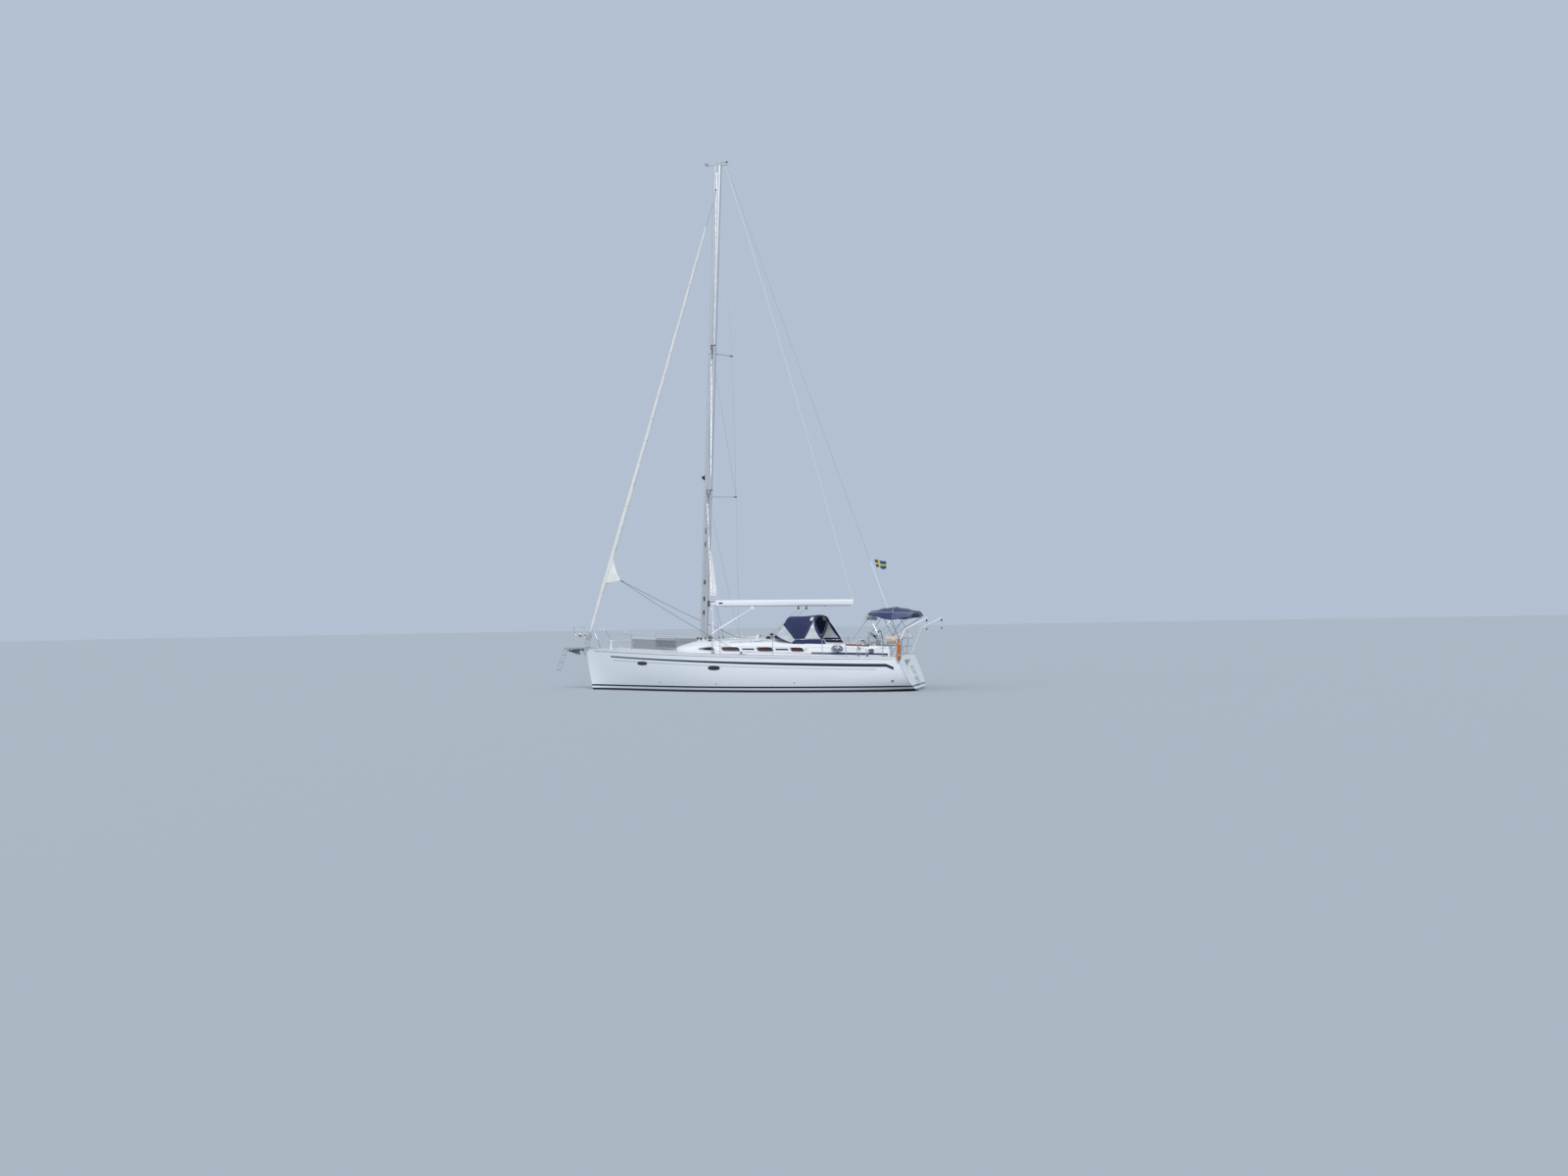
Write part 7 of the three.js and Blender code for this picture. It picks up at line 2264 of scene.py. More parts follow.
# %% Slot the doors
LOUVRES = 7
LOUVRE_STEP = 0.034
for side, word in SIDES:
    low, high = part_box(f"companionway_door_{word}")
    louvres = Shape()
    middle = (low + high) / 2
    for k in range(LOUVRES):
        z = high.z - 0.075 - k * LOUVRE_STEP
        louvres.block((low.x - 0.0005, middle.y, z), (0.006, 0.240, 0.016), 0.0025, (0, 24, 0))
    for z, tall in ((high.z - 0.038, 0.022), (high.z - 0.310, 0.018)):
        louvres.block((low.x - 0.0005, middle.y, z), (0.005, 0.280, tall), 0.002)
    louvres.piece(f"door_louvres_{word}", louvre_wood, f"companionway_door_{word}", "teak")
    knob = Shape().turned([(0.010, -0.002), (0.007, 0.004), (0.012, 0.012), (0.007, 0.017), (0.002, 0.018)],
                          (low.x, side * 0.040, middle.z - 0.05), (-1, 0, 0), 18)
    knob.piece(f"door_knob_{word}", bronze, f"companionway_door_{word}")
print("louvres in a door:", LOUVRES)

# %% [markdown]
# ## The helm
# The pedestal carries a compass, three instruments and the engine lever inside a bent guard rail.
# The wheel's rim is wrapped in stitched leather. Dials face the place at the wheel, so they are on
# the pod's sloping face, each with a ring of strokes and a needle.

# %% Find places on the pod's face
POD_LOW = Vector((-4.985, 0, 1.715))
POD_HIGH = Vector((-4.800, 0, 1.975))
POD_FACING = Vector((-(POD_HIGH.z - POD_LOW.z), 0, POD_HIGH.x - POD_LOW.x)).normalized()
# Columns: how far up the face, how far to port, radius
DIALS = [(0.68, 0.120, 0.046), (0.68, 0.0, 0.046), (0.68, -0.120, 0.046)]
PANEL_SHARE = 0.28


def on_pod(share, y, out=0.0):
    """A point on the pod's face, from its lower edge at 0 to its upper edge at 1."""
    spot = POD_LOW.lerp(POD_HIGH, share) + POD_FACING * out
    return Vector((spot.x, y, spot.z))


# %% Draw the dials
dial_glass = Finish("dial_glass", 0.08, Coat_Weight=0.6, slot="tinted_glass")
smear = dial_glass.noise(9.0, detail=4.0)
dial_glass.paint(smear.mix(colour(0.014, 0.017, 0.020), colour(0.030, 0.035, 0.040)))
dial_glass.shine(smear.fade(0.2, 0.8, 0.05, 0.16))
TICKS = 12
UP_FACE = (POD_HIGH - POD_LOW).normalized()
rims_shape = Shape()
faces = Shape()
marks = Shape()


def dial_stroke(share, y, angle, inner, outer):
    """A painted stroke on a dial, from one radius to another."""
    out = Vector((0, math.cos(angle), 0)) + UP_FACE * math.sin(angle)
    middle = on_pod(share, y, 0.0130)
    marks.tube([middle + out * inner, middle + out * outer], 0.0009, 6)


for index, (share, y, radius) in enumerate(DIALS):
    for k in range(TICKS):
        dial_stroke(share, y, math.tau * k / TICKS, radius * 0.64, radius * 0.76)
    dial_stroke(share, y, 0.9 + index * 0.8, -radius * 0.12, radius * 0.56)
    rims_shape.turned([(radius, -0.004), (radius, 0.014), (radius * 0.86, 0.018), (radius * 0.84, 0.010)],
                      on_pod(share, y), POD_FACING, 28)
    faces.turned([(radius * 0.84, 0.002), (radius * 0.84, 0.0125), (radius * 0.10, 0.0130)],
                 on_pod(share, y), POD_FACING, 28)

# %% Mount the panel under the dials
lean = math.degrees(math.atan2(POD_FACING.x, POD_FACING.z))
rims_shape.block(on_pod(PANEL_SHARE, 0.0, 0.006), (0.100, 0.170, 0.020), 0.006, (0, lean, 0))
faces.block(on_pod(PANEL_SHARE, 0.0, 0.016), (0.080, 0.140, 0.004), 0.0015, (0, lean, 0))
for k in range(4):
    rims_shape.block(on_pod(PANEL_SHARE, 0.108, 0.004) + UP_FACE * 0.022 * (k - 1.5),
                     (0.012, 0.016, 0.010), 0.003, (0, lean, 0))
rims_shape.piece("instrument_housings", black)
faces.piece("instrument_glasses", dial_glass)
marks.piece("instrument_marks", cream, slot="sailcloth")

# %% Set the compass
COMPASS_FOOT = (-4.768, 0, 1.952)
COMPASS_AXIS = (0.15, 0, 1)
DOME_RADIUS = 0.052
compass = Shape()
compass.turned([(0.062, -0.020), (0.064, 0.006), (0.058, 0.014), (DOME_RADIUS, 0.014)], COMPASS_FOOT,
               COMPASS_AXIS, 28)
compass.piece("compass_bowl", black)
dome = [(DOME_RADIUS * math.cos(a), 0.012 + 0.036 * math.sin(a)) for a in
        [math.pi / 2 * k / 7 for k in range(7)]]
dome_shape = Shape().turned(dome + [(0.003, 0.0482)], COMPASS_FOOT, COMPASS_AXIS, 28)
dome_shape.piece("compass_dome", dial_glass)

# %% Fit the engine lever
lever = Shape()
lever.turned([(0.036, -0.006), (0.036, 0.016), (0.022, 0.024), (0.004, 0.025)], (-4.860, -0.190, 1.800),
             (0, -1, 0), 22)
lever.tube([(-4.860, -0.208, 1.800), (-4.866, -0.222, 1.880), (-4.874, -0.226, 1.925)], 0.007, 12)
lever.turned([(0.004, -0.016), (0.014, -0.010), (0.016, 0.0), (0.014, 0.010), (0.004, 0.016)],
             (-4.875, -0.226, 1.935), sides=18)
lever.piece("engine_lever", steel)

# %% Bend the pedestal's guard
GUARD_X = -4.690
GUARD_HALF = 0.235
GUARD_CORNER = 0.135
GUARD_TOP = 2.037
GUARD_FOOT = 0.855
guard_path = [(GUARD_X, GUARD_HALF, GUARD_FOOT)]
for side, first in ((1, 0), (-1, 90)):
    corner = (GUARD_X, side * (GUARD_HALF - GUARD_CORNER), GUARD_TOP - GUARD_CORNER)
    guard_path += arc(corner, GUARD_CORNER, first, first + 90, 9, "yz")
guard_path.append((GUARD_X, -GUARD_HALF, GUARD_FOOT))
guard = Shape().tube(guard_path, 0.0125, 14)
for side in (1, -1):
    guard.turned([(0.034, -0.004), (0.034, 0.006), (0.014, 0.010)], (GUARD_X, side * GUARD_HALF, SOLE_Z),
                 sides=20)
    guard.tube([(GUARD_X, side * GUARD_HALF, 1.62), (-4.78, side * 0.188, 1.74)], 0.009, 10)
guard.piece("pedestal_guard", steel)

# %% Wrap the wheel's rim
WHEEL_MIDDLE = Vector((-5.046, 0, 1.590))
WHEEL_RADIUS = 0.500
RIM_THICK = 0.0172
leather = Finish("stitched_leather", 0.6, slot="black_fittings")
worn = leather.noise(14.0, detail=5.0)
leather.paint(worn.mix(colour(0.16, 0.165, 0.17), colour(0.26, 0.265, 0.27)))
leather.relief(worn + leather.noise(220.0, detail=2.0) * 0.5, 0.0008, 0.5)
rim_path = arc(WHEEL_MIDDLE, WHEEL_RADIUS, 0, 360, 72, "yz")
ropes("wheel_leather", [rim_path], RIM_THICK, leather, "steering_wheel", step=0.03, sides=12)
stitch = pattern("leather_stitch", Shape().block((0, 0, 0), (0.0016, 0.007, 0.0016), 0.0006))
seam = arc(WHEEL_MIDDLE, WHEEL_RADIUS - RIM_THICK, 0, 360, 72, "yz")
row("wheel_stitches", [seam], 0.014, stitch, thread, "steering_wheel")
top_mark = arc(WHEEL_MIDDLE, WHEEL_RADIUS, 86, 94, 6, "yz")
ropes("wheel_mark", [top_mark], 0.0205, cream, "steering_wheel", step=0.012, sides=10, slot="sailcloth")

# %% Finish the sheet winches
WINCH_X = -4.702
WINCH_Y = 1.134
WINCH_TOP = 1.756
winch_tops = Shape()
for side in (1, -1):
    middle = Vector((WINCH_X, side * WINCH_Y, WINCH_TOP))
    winch_tops.turned([(0.060, 0.0), (0.071, 0.003), (0.071, 0.010), (0.056, 0.014), (0.056, 0.018),
                       (0.071, 0.020), (0.070, 0.027), (0.030, 0.031), (0.014, 0.031), (0.012, 0.024)],
                      middle, sides=32)
    winch_tops.block(middle + Vector((0.040, side * 0.048, 0.012)), (0.030, 0.014, 0.022), 0.004,
                     (0, 0, side * 50))
winch_tops.piece("winch_self_tailers", black)

# %% Hang the winch handles' pockets
pockets = Shape()
for side in (1, -1):
    spot = side_point(-5.03, 1.40, side, 0.020, "cockpit")
    pockets.block(spot, (0.150, 0.044, 0.150), 0.014, (side * 12, 0, 0), 1.08)
slate = grained("slate_canvas", 0.8, (10.0, EVEN, 4.0), (0.055, 0.085, 0.130), (0.100, 0.140, 0.195),
                slot="navy_canvas")
slate.relief(weave(slate.x, slate.z, 0.003), 0.0006, 0.5)
pockets.piece("winch_handle_pockets", slate)
print("instruments:", len(DIALS))

# %% [markdown]
# ## Padded things
# The red roll along the coaming's shoulder and the rescue sling's orange bag are cloth round a
# filling. Each starts as a slightly small closed shape, remeshed to even faces. A cloth simulation
# blows it up, with a limit on how far any point may go. Seams and straps are laid on its skin.

# %% Blow up a padded shape
PAD_VOXEL = 0.006
PAD_PRESSURE = 4.0
PAD_FRAMES = 20


def padded(name, shape, cap, finish):
    """A padded piece from a closed shape, simulated as cloth under pressure."""
    draft = bpy.data.objects.new(name + "_draft", bpy.data.meshes.new(name + "_draft"))
    bmesh.ops.recalc_face_normals(shape.mesh, faces=shape.mesh.faces[:])
    shape.mesh.to_mesh(draft.data)
    shape.mesh.free()
    bpy.context.collection.objects.link(draft)
    remesh = draft.modifiers.new("even", "REMESH")
    remesh.mode = "VOXEL"
    remesh.voxel_size = PAD_VOXEL
    depsgraph = bpy.context.evaluated_depsgraph_get()
    data = bpy.data.meshes.new_from_object(draft.evaluated_get(depsgraph))
    data.name = name
    bpy.data.objects.remove(draft)
    piece = bpy.data.objects.new(name, data)
    bpy.context.collection.objects.link(piece)
    cloth = piece.modifiers.new("cloth", "CLOTH")
    cloth.settings.use_pressure = True
    cloth.settings.uniform_pressure_force = PAD_PRESSURE
    cloth.settings.effector_weights.gravity = 0
    scene = bpy.context.scene
    for frame_number in range(1, PAD_FRAMES + 1):
        scene.frame_set(frame_number)
    blown = piece.evaluated_get(bpy.context.evaluated_depsgraph_get()).data
    moved = [vertex.co.copy() for vertex in blown.vertices]
    piece.modifiers.remove(cloth)
    for vertex, target in zip(data.vertices, moved):
        shift = target - vertex.co
        vertex.co += shift * min(1.0, cap / max(shift.length, 1e-9))
    scene.frame_set(1)
    bpy.data.objects.remove(piece)
    piece = finished(name, data, finish, "yacht", crease=180)
    smooth = piece.modifiers.new("soft", "SUBSURF")
    smooth.levels = 1
    smooth.render_levels = 1
    return piece


# %% Make the coaming's bolster
BOLSTER_FORE = -4.115
BOLSTER_AFT = -4.951
BOLSTER_HALF = 0.024
BOLSTER_SAMPLES = 60
red_cloth = Finish("red_canvas", 0.85, Sheen_Weight=0.2, slot="orange_webbing")
sunned = red_cloth.noise(4.0, detail=4.0)
red_cloth.paint(sunned.mix(colour(0.16, 0.020, 0.022), colour(0.26, 0.042, 0.040)))
red_cloth.relief(weave(red_cloth.x, red_cloth.z, 0.003) + sunned * 3, 0.0010, 0.6)


def bolster_middle(share):
    """The roll's middle line, on the shoulder of the coaming and clear of the winch."""
    x = between(BOLSTER_FORE, BOLSTER_AFT, share)
    top = surface("cockpit", (x, 1.16, 3.0))[0].z
    return side_point(x, top - 0.020, 1, 0.0, "cockpit") + Vector((0, 0.010, BOLSTER_HALF))


bolster_line = [bolster_middle(k / BOLSTER_SAMPLES) for k in range(BOLSTER_SAMPLES + 1)]
bolster = Shape()
rings = []
for k, middle in enumerate(bolster_line):
    end = min(k, BOLSTER_SAMPLES - k) / 2
    size = BOLSTER_HALF * (1 - 0.55 * max(0.0, 1 - end) ** 2)
    rings.append([middle + Vector((0, math.cos(a) * size, math.sin(a) * size))
                  for a in [math.tau * j / 20 for j in range(20)]])
bolster.rings(rings)
bolster_piece = padded("coaming_bolster", bolster, 0.004, red_cloth)


# %% Tie the bolster
def hug(piece, spots, out):
    """Move points onto a piece's skin, a little out from it."""
    moved = []
    for spot in spots:
        _, place, normal, _ = piece.closest_point_on_mesh(Vector(spot))
        moved.append(place + normal * out)
    return moved


BOLSTER_TIES = 5
seams = []
for k in range(BOLSTER_TIES):
    middle = bolster_middle((k + 0.5) / BOLSTER_TIES)
    around = [middle + Vector((0, math.cos(a), math.sin(a))) * BOLSTER_HALF * 1.2
              for a in [math.tau * j / 24 for j in range(25)]]
    seams.append(hug(bolster_piece, around, 0.0012))
for y, z in ((0.7, 0.7), (-0.7, 0.7)):
    along = [middle + Vector((0, y, z)) * BOLSTER_HALF * 1.2 for middle in bolster_line[2:-2]]
    seams.append(hug(bolster_piece, along, 0.0010))
ropes("bolster_ties", seams, 0.0026, red_cloth, step=0.01, sides=8)

# %% [markdown]
# ## The rescue sling
# A rescue sling hangs on the stern rail in an orange bag: narrow at its neck, widest low down, with
# the stiff foam inside showing as a soft swelling between two straps. The bag is a loft of rounded
# sections that hangs from its neck, blown up a little as the red roll was.

# %% Measure the sling's bag
SLING_TOP = Vector((-6.080, 1.665, 1.838))
# Columns: distance down, half width across, half depth along the boat
SLING_SECTIONS = [
    (0.000, 0.026, 0.022), (0.030, 0.036, 0.030), (0.110, 0.050, 0.040), (0.210, 0.068, 0.051),
    (0.420, 0.082, 0.058), (0.600, 0.091, 0.061), (0.690, 0.086, 0.057), (0.745, 0.074, 0.048),
    (0.760, 0.055, 0.034),
]
SLING_RINGS = 30
SLING_LENGTH = 0.7599
STRAPS = (0.185, 0.560)


def sling_point(down, angle, half_width, half_depth):
    across = math.copysign(abs(math.cos(angle)) ** 0.7, math.cos(angle))
    ahead = math.copysign(abs(math.sin(angle)) ** 0.7, math.sin(angle))
    return SLING_TOP + Vector((ahead * half_depth, across * half_width, -down))


def sling_size(down):
    """Half width and half depth of the bag at a distance below its top."""
    i = max(k for k, section in enumerate(SLING_SECTIONS[:-1]) if section[0] <= down)
    first, second = SLING_SECTIONS[i], SLING_SECTIONS[i + 1]
    share = (down - first[0]) / (second[0] - first[0])
    return between(first[1], second[1], share), between(first[2], second[2], share)


# %% Blow up the bag
bag = Shape()
rings = []
for k in range(SLING_RINGS + 1):
    down = SLING_LENGTH * k / SLING_RINGS
    wide, deep = sling_size(down)
    rings.append([sling_point(down, math.tau * j / 24, wide, deep) for j in range(24)])
bag.rings(rings)
sling = padded("rescue_sling_bag", bag, 0.006, orange)
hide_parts("rescue_sling")


# %% Strap the bag
def sling_band(down, out, tall):
    """A flat strap round the bag."""
    wide, deep = sling_size(down)
    rings = []
    edge = ((-tall, out - 0.004), (-tall, out), (tall, out), (tall, out - 0.004))
    for k in range(33):
        angle = math.tau * k / 32
        rings.append([sling_point(down + z, angle, wide + o, deep + o) for z, o in edge])
    return rings


webbing = grained("white_webbing", 0.8, (14.0, EVEN, 4.0), (0.42, 0.42, 0.40), (0.62, 0.61, 0.58),
                  slot="sailcloth")
webbing.relief(weave(webbing.y, webbing.z, 0.003), 0.0005, 0.5)
straps = Shape()
for down in STRAPS:
    straps.rings(sling_band(down, 0.008, 0.014), caps=False)
DAVIT_AT = Vector((-6.119, 1.500, 1.800))
straps.tube([DAVIT_AT + Vector((0, 0.028, 0)), SLING_TOP + Vector((-0.015, -0.060, -0.006)),
             SLING_TOP + up(-0.004)], 0.008, 10)
straps.tube(arc(DAVIT_AT, 0.031, 0, 360, 24, "xy"), 0.007, 8)
straps.piece("rescue_sling_straps", webbing)
buckles = Shape()
for down in STRAPS:
    wide, deep = sling_size(down)
    spot = sling_point(down, math.tau * 0.18, wide + 0.012, deep + 0.012)
    buckles.block(spot, (0.030, 0.034, 0.036), 0.005, (0, 0, -35))
buckles.piece("rescue_sling_buckles", black)

# %% [markdown]
# ## The line reel
# A long flat shore line is stored on a reel in the stern rail. The reel is two flanges and a drum,
# and the webbing lies on it in rows of turns, sand and white by the way its weave was dyed.
# Everything that turns rides with the reel.

# %% Turn the reel's flanges
REEL_FORE = Vector((-5.560, 1.215, 1.780))
REEL_LENGTH = 0.360
REEL_BACK = (-1, 0, 0)
FLANGE_RADIUS = 0.1595
CORE_RADIUS = 0.070
reel_flanges = Shape()
for start, sense in ((0.0, 1), (REEL_LENGTH, -1)):
    profile = [(0.019, 0.0), (0.045, -0.004), (0.060, 0.0), (FLANGE_RADIUS - 0.006, 0.0),
               (FLANGE_RADIUS, 0.003), (FLANGE_RADIUS, 0.009), (FLANGE_RADIUS - 0.006, 0.012),
               (CORE_RADIUS, 0.012), (CORE_RADIUS, 0.030), (0.019, 0.030)]
    foot = REEL_FORE + Vector((-start, 0, 0))
    reel_flanges.turned(profile, foot, Vector(REEL_BACK) * sense, 36)
reel_side = reel_flanges.piece("reel_flanges", white_paint, "line_reel")
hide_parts("line_reel")

# %% Wind the webbing on the reel
reel_webbing = Finish("reel_webbing", 0.8, slot="sailcloth")
BAND_PITCH = 0.060
across_band = (reel_webbing.x * (1 / BAND_PITCH)) % 1.0
bands = across_band.fade(0.46, 0.50) - across_band.fade(0.96, 1.0)
sun_bleach = reel_webbing.noise(12.0, detail=4.0)
sand = sun_bleach.mix(colour(0.42, 0.26, 0.11), colour(0.56, 0.38, 0.19))
reel_webbing.paint(bands.mix(sand, colour(0.70, 0.66, 0.56)))
reel_webbing.relief(weave(reel_webbing.x, reel_webbing.y + reel_webbing.z, 0.004), 0.0008, 0.6)
WINDINGS = 6
WINDING_FORE = 0.014
width = (REEL_LENGTH - 2 * WINDING_FORE) / WINDINGS
wound = Shape()
for k in range(WINDINGS):
    start = WINDING_FORE + width * k
    radius = 0.128 + 0.004 * math.sin(k * 2.1)
    profile = [(CORE_RADIUS - 0.002, start + 0.001), (radius - 0.003, start + 0.001)]
    profile += [(radius, start + 0.005), (radius + 0.001, start + width / 2)]
    profile += [(radius, start + width - 0.005), (radius - 0.003, start + width - 0.001)]
    profile.append((CORE_RADIUS - 0.002, start + width - 0.001))
    wound.turned(profile, REEL_FORE, REEL_BACK, 40)
wound.piece("reel_webbing", reel_webbing, "line_reel")

# %% Leave the webbing's end free
tongue_rings = []
for k in range(9):
    angle = math.radians(-70 + 10 * k)
    out = Vector((0, math.sin(angle), math.cos(angle)))
    tongue_rings.append([REEL_FORE + Vector((-0.20 + x, 0, 0)) + out * radius for x, radius in
                         ((-0.024, 0.131), (-0.024, 0.135), (0.024, 0.135), (0.024, 0.131))])
tongue = Shape().rings(tongue_rings)
tongue.piece("reel_webbing_end", reel_webbing, "line_reel")

# %% [markdown]
# ## The ensign
# A blue flag with a yellow cross flies from the backstay in a light wind: its hoist is laced
# to the stay, the fly droops and two folds run across it. It is one sheet with its own map, so the
# cross bends with the cloth, and a hem keeps its edges from looking like paper.

# %% Let the ensign droop
FLAG_ACROSS = 0.455
FLAG_DOWN = 0.285
FLAG_HOIST = Vector((-4.905, 0.0, 4.628))
FLAG_COLUMNS = 40
FLAG_ROWS = 26
BUNTING_THICK = 0.0012


def flag_point(along, down):
    """A point of the flag: along from its hoist to its fly, down from its head to its foot."""
    x = FLAG_HOIST.x - along * FLAG_ACROSS * 0.94 - down * 0.070 * (1 - along * 1.1)
    z = FLAG_HOIST.z - 0.085 * along ** 1.3 - down * FLAG_DOWN * (1 - 0.06 * along)
    z += 0.020 * math.sin(along * 7.2) * (0.4 + down)
    y = 0.030 * along ** 0.7 * math.sin(along * 9.5 + down * 1.9) + 0.012 * down * math.sin(along * 5)
    return Vector((x, y, z))


# %% Dye the ensign
flag_grid = [[flag_point(c / FLAG_COLUMNS, r / FLAG_ROWS) for c in range(FLAG_COLUMNS + 1)]
             for r in range(FLAG_ROWS + 1)]
flag_uv = [[(c / FLAG_COLUMNS, r / FLAG_ROWS) for c in range(FLAG_COLUMNS + 1)]
           for r in range(FLAG_ROWS + 1)]
flag_data = sheet_mesh("ensign_cloth", flag_grid, flag_uv)
bunting = Finish("ensign_bunting", 0.8, Sheen_Weight=0.1, slot="ensign_cloth")
hoist_share, head_share = bunting.sewn()
cross = hoist_share.band(0.375, 0.0625, 0.002).most(head_share.band(0.5, 0.10, 0.003))
washed = bunting.noise(9.0, detail=4.0)
blue = washed.mix(colour(0.010, 0.055, 0.150), colour(0.020, 0.085, 0.210))
bunting.paint(cross.mix(blue, washed.mix(colour(0.60, 0.42, 0.035), colour(0.74, 0.55, 0.070))))
bunting.relief(weave(hoist_share * FLAG_ACROSS, head_share * FLAG_DOWN, 0.003), 0.0006, 0.5)
flag = finished("ensign_cloth", flag_data, bunting, "yacht", crease=180)
thicken(flag, BUNTING_THICK)
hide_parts("ensign")

# %% Lace the ensign to the backstay
BACKSTAY_HEAD = Vector((0.461, 0, 19.564))


def backstay_at(z):
    share = (z - BACKSTAY_FOOT.z) / (BACKSTAY_HEAD.z - BACKSTAY_FOOT.z)
    return BACKSTAY_FOOT.lerp(BACKSTAY_HEAD, share)


hoist = [flag_point(0.004, k / 8) for k in range(9)]
rig_line = [[backstay_at(4.72), hoist[0]] + hoist[1:] + [backstay_at(4.24)]]
ropes("ensign_hoist", rig_line, 0.0026, thread, step=0.02, sides=6)
hem_path = [flag_point(k / 24, 0) for k in range(1, 25)] + [flag_point(1, k / 12) for k in range(1, 13)]
hem_path += [flag_point(1 - k / 24, 1) for k in range(1, 24)]
ropes("ensign_hem", [hem_path], 0.0016, bunting, step=0.012, sides=5)

# %% [markdown]
# ## Coiled ropes
# The sheet's tail is coiled in wide loops on two hooks at the coaming, and a mooring line hangs in
# a hank from the upper lifeline. A coil is one rope on a smooth path: loops that hang from the
# same hooks to different depths, each a rope's width beside the last, ending in a knot.

# %% Coil the sheet's tail on the coaming
COIL_ROPE = 0.012
COIL_TURNS = 9
COIL_X = -3.850
COIL_TOP = 1.622
COIL_HALF_LONG = 0.200
COIL_HALF_TALL = 0.125
HOOK_Z = 1.585


def coil_point(turn):
    """A point of the coil after a number of turns, out from the coaming's side."""
    angle = math.tau * turn
    size = 0.78 + 0.22 * math.cos(turn * 2.3 + 0.6)
    x = COIL_X + COIL_HALF_LONG * size * math.sin(angle) + 0.012 * math.sin(turn * 3.3)
    z = COIL_TOP - COIL_HALF_TALL * size * (1 - math.cos(angle))
    y = 1.352 + turn * COIL_ROPE * 1.08 + 0.003 * math.sin(angle * 2 + turn)
    return Vector((x, y, z))


start = side_point(-3.800, HOOK_Z, 1, 0.0, "cockpit")
coil_path = [start, start + Vector((0.004, 0.020, 0.006)), start + Vector((0.020, 0.045, 0.018))]
coil_path += [coil_point(0.12 + k / 24) for k in range(int(COIL_TURNS * 24))]
last = coil_path[-1]
coil_path += [last + Vector((0.004, 0.014, -0.012)), last + Vector((0.010, 0.016, -0.055)),
              last + Vector((0.012, 0.014, -0.105))]
coil_length = sum((b - a).length for a, b in zip(coil_path, coil_path[1:]))
coil = ropes("sheet_coil", [coil_path], COIL_ROPE / 2, blue_rope, step=0.012, sides=8, slot="navy_canvas")
knot_middle = coil_path[-1]
coil_knot = Shape()
for k, radius in ((0, 0.010), (1, 0.011), (2, 0.009)):
    coil_knot.turned([(0.003, -0.006), (radius, -0.003), (radius, 0.003), (0.003, 0.006)],
                     knot_middle + up(-0.008 * k + 0.004), sides=14)
coil_end = coil_knot.piece("sheet_coil_knot", blue_rope, slot="navy_canvas")
print("coiled sheet in metres:", round(coil_length, 2))

# %% Fit the coil's hooks
hooks = Shape()
for x in (-3.795, -3.905):
    foot = side_point(x, HOOK_Z, 1, -0.002, "cockpit")
    hooks.block(foot + Vector((0, 0.006, 0)), (0.030, 0.010, 0.060), 0.003)
    hooks.tube([foot, foot + Vector((0, 0.050, 0.008)), foot + Vector((0, 0.195, 0.014)),
                foot + Vector((0, 0.210, 0.042))], 0.006, 10)
hooks.piece("coil_hooks", steel)

# %% Fold a mooring line in a hank
HANK_ROPE = 0.011
HANK_TURNS = 6
HANK_X = -4.680
WIRE_Z = 1.805
WIRE_Y = 1.745
FOLD_TOP = 1.610
FOLD_FOOT = 1.300
TOP_RADIUS = 0.036
FOOT_RADIUS = 0.046
WAIST_Z = 1.545
HANK_STEPS = 48


def hank_point(turn):
    """A point of the hanging loops: over the top fold, down, round the foot and up again."""
    part, share = divmod(turn % 1.0 * 4, 1.0)
    foot = FOLD_FOOT + 0.012 * math.sin(turn // 1.0 * 2.7)
    if part == 0:
        x, z = -TOP_RADIUS * math.cos(math.pi * share), FOLD_TOP + TOP_RADIUS * math.sin(math.pi * share)
    if part == 1:
        x, z = between(TOP_RADIUS, FOOT_RADIUS, share), between(FOLD_TOP, foot, share)
    if part == 2:
        x, z = FOOT_RADIUS * math.cos(math.pi * share), foot - FOOT_RADIUS * math.sin(math.pi * share)
    if part == 3:
        x, z = -between(FOOT_RADIUS, TOP_RADIUS, share), between(foot, FOLD_TOP, share)
    x *= 1 - 0.55 * math.exp(-((z - WAIST_Z) / 0.038) ** 2)
    return Vector((HANK_X + x, WIRE_Y + (turn - HANK_TURNS / 2) * HANK_ROPE * 1.05, z))


# %% Hang the hank from the lifeline
over = Vector((HANK_X, WIRE_Y, WIRE_Z))
first = hank_point(0.27)
hank_path = [over + up(-0.004), over + Vector((0.002, -0.002, -0.034)),
             between(over, first, 0.40), between(over, first, 0.66), between(over, first, 0.86)]
hank_path += [hank_point(0.27 + k / HANK_STEPS) for k in range(HANK_TURNS * HANK_STEPS + 3)]
hank_length = sum((b - a).length for a, b in zip(hank_path, hank_path[1:]))
shore_rope = grained("shore_rope", 0.85, (120.0,), (0.26, 0.25, 0.23), (0.42, 0.41, 0.38),
                     None, (0.0010, 0.6), slot="grey_net")
hank = ropes("mooring_hank", [hank_path], HANK_ROPE / 2, shore_rope, step=0.010, sides=8)

# %% Bind the hank
binding = Shape()
for k in range(4):
    band = [Vector((HANK_X + 0.027 * math.cos(a), WIRE_Y + 0.045 * math.sin(a), WAIST_Z + 0.015 - k * 0.010))
            for a in [math.tau * j / 24 for j in range(25)]]
    binding.tube(band, 0.0052, 8)
for k in range(3):
    binding.tube(arc(over + Vector((0.0115 * (k - 1), 0, -0.002)), 0.0105, 0, 360, 16, "yz"), 0.0050, 8)
hank_tie = binding.piece("mooring_hank_tie", shore_rope)
print("mooring line in metres:", round(hank_length, 2))
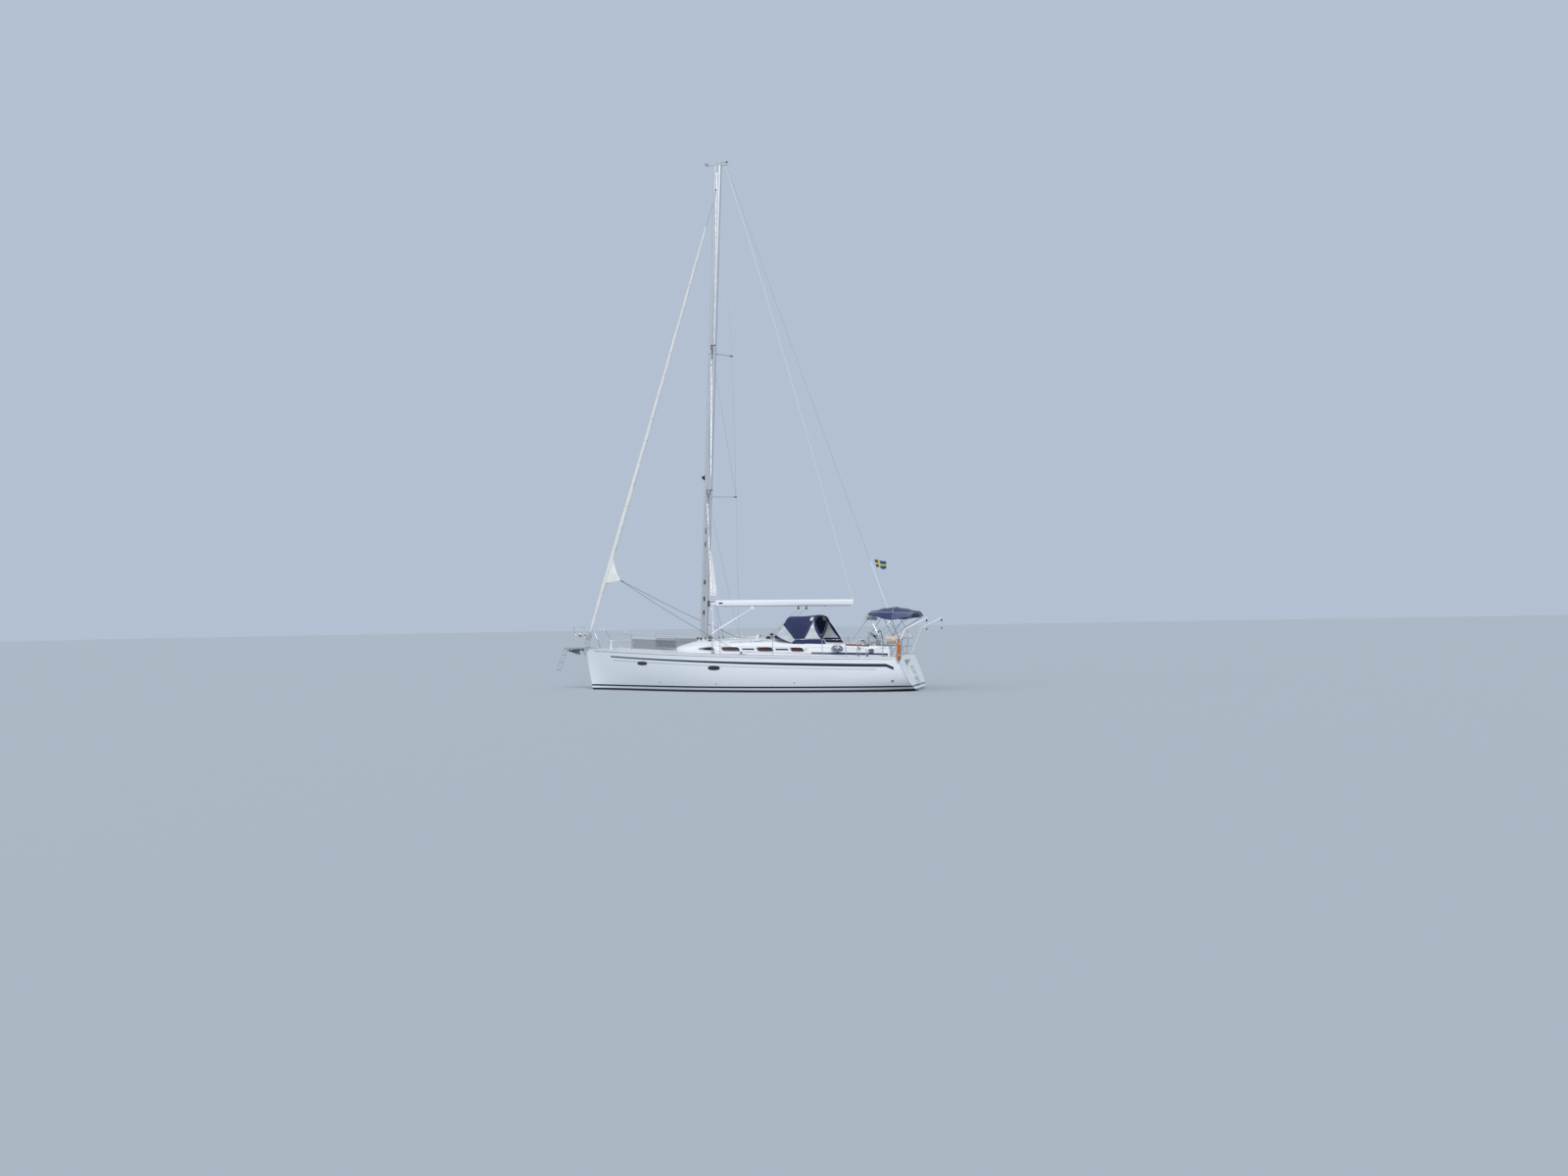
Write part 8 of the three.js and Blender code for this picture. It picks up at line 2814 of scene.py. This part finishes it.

# %% [markdown]
# ## Last small things
# Two lines come down from the boom's fore end, tackles hang from the davits and an antenna
# stands on the stern rail. The lines from the boom join it to the coachroof, so, like the
# mainsheet, they ride on neither body.

# %% Lead the boom's lines down
LINE_FOOT = (0.952, 0.22)
LINE_HEAD_X = 1.125
down_lines = []
foot_blocks = Shape()
for side in (1, -1):
    spot = roof_at(LINE_FOOT[0], side * LINE_FOOT[1])
    head = Vector((LINE_HEAD_X, side * 0.066, 3.130))
    down_lines.append([between(head, spot + up(0.070), k / 12) for k in range(13)])
    foot_blocks.turned([(0.018, -0.004), (0.018, 0.006), (0.007, 0.012), (0.007, 0.034)], spot, sides=14)
    pulley(foot_blocks, spot + up(0.052), (0, 8, 0), 0.024)
boom_lines = ropes("boom_lines", down_lines, 0.0045, blue_rope, None, step=0.10, sides=7, slot="navy_canvas")
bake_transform(boom_lines)
foot_blocks.piece("boom_line_blocks", black)

# %% Hang the davits' tackles
DAVIT_Y = 1.500
tackles = Shape()
falls = []
for side in (1, -1):
    tip = Vector((-7.018, side * DAVIT_Y, 2.468))
    tackles.block(tip + up(0.004), (0.030, 0.020, 0.040), 0.005)
    pulley(tackles, tip - up(0.045), (0, 0, 0), 0.030)
    low = tip - up(0.330)
    pulley(tackles, low, (0, 0, 0), 0.026)
    for across in (-0.022, 0.022):
        falls.append([tip - Vector((across, 0, 0.050)), low + Vector((-across, 0, 0.0))])
    falls.append([tip - Vector((-0.03, 0, 0.045)), Vector((-6.66, side * DAVIT_Y, 2.30)),
                  Vector((-6.245, side * DAVIT_Y, 2.085)), Vector((-6.04, side * DAVIT_Y, 1.62))])
tackles.piece("davit_tackles", black)
ropes("davit_falls", falls, 0.0040, light_rope, step=0.06, sides=7, slot="sailcloth")

# %% Stand the antenna
antenna = Shape()
rail_spot = surface("pushpit", (-8.0, 0.980, 1.808), (1, 0, 0))[0] + Vector((0.012, 0, 0))
antenna.turned([(0.012, 0.0), (0.012, 0.120), (0.016, 0.124), (0.062, 0.132), (0.066, 0.142),
                (0.050, 0.160), (0.020, 0.168), (0.003, 0.169)], rail_spot, sides=28)
antenna.turned([(0.015, -0.022), (0.019, -0.020), (0.019, 0.020), (0.015, 0.022)], rail_spot, (0, 1, 0), 20)
antenna.piece("antenna", moulding)
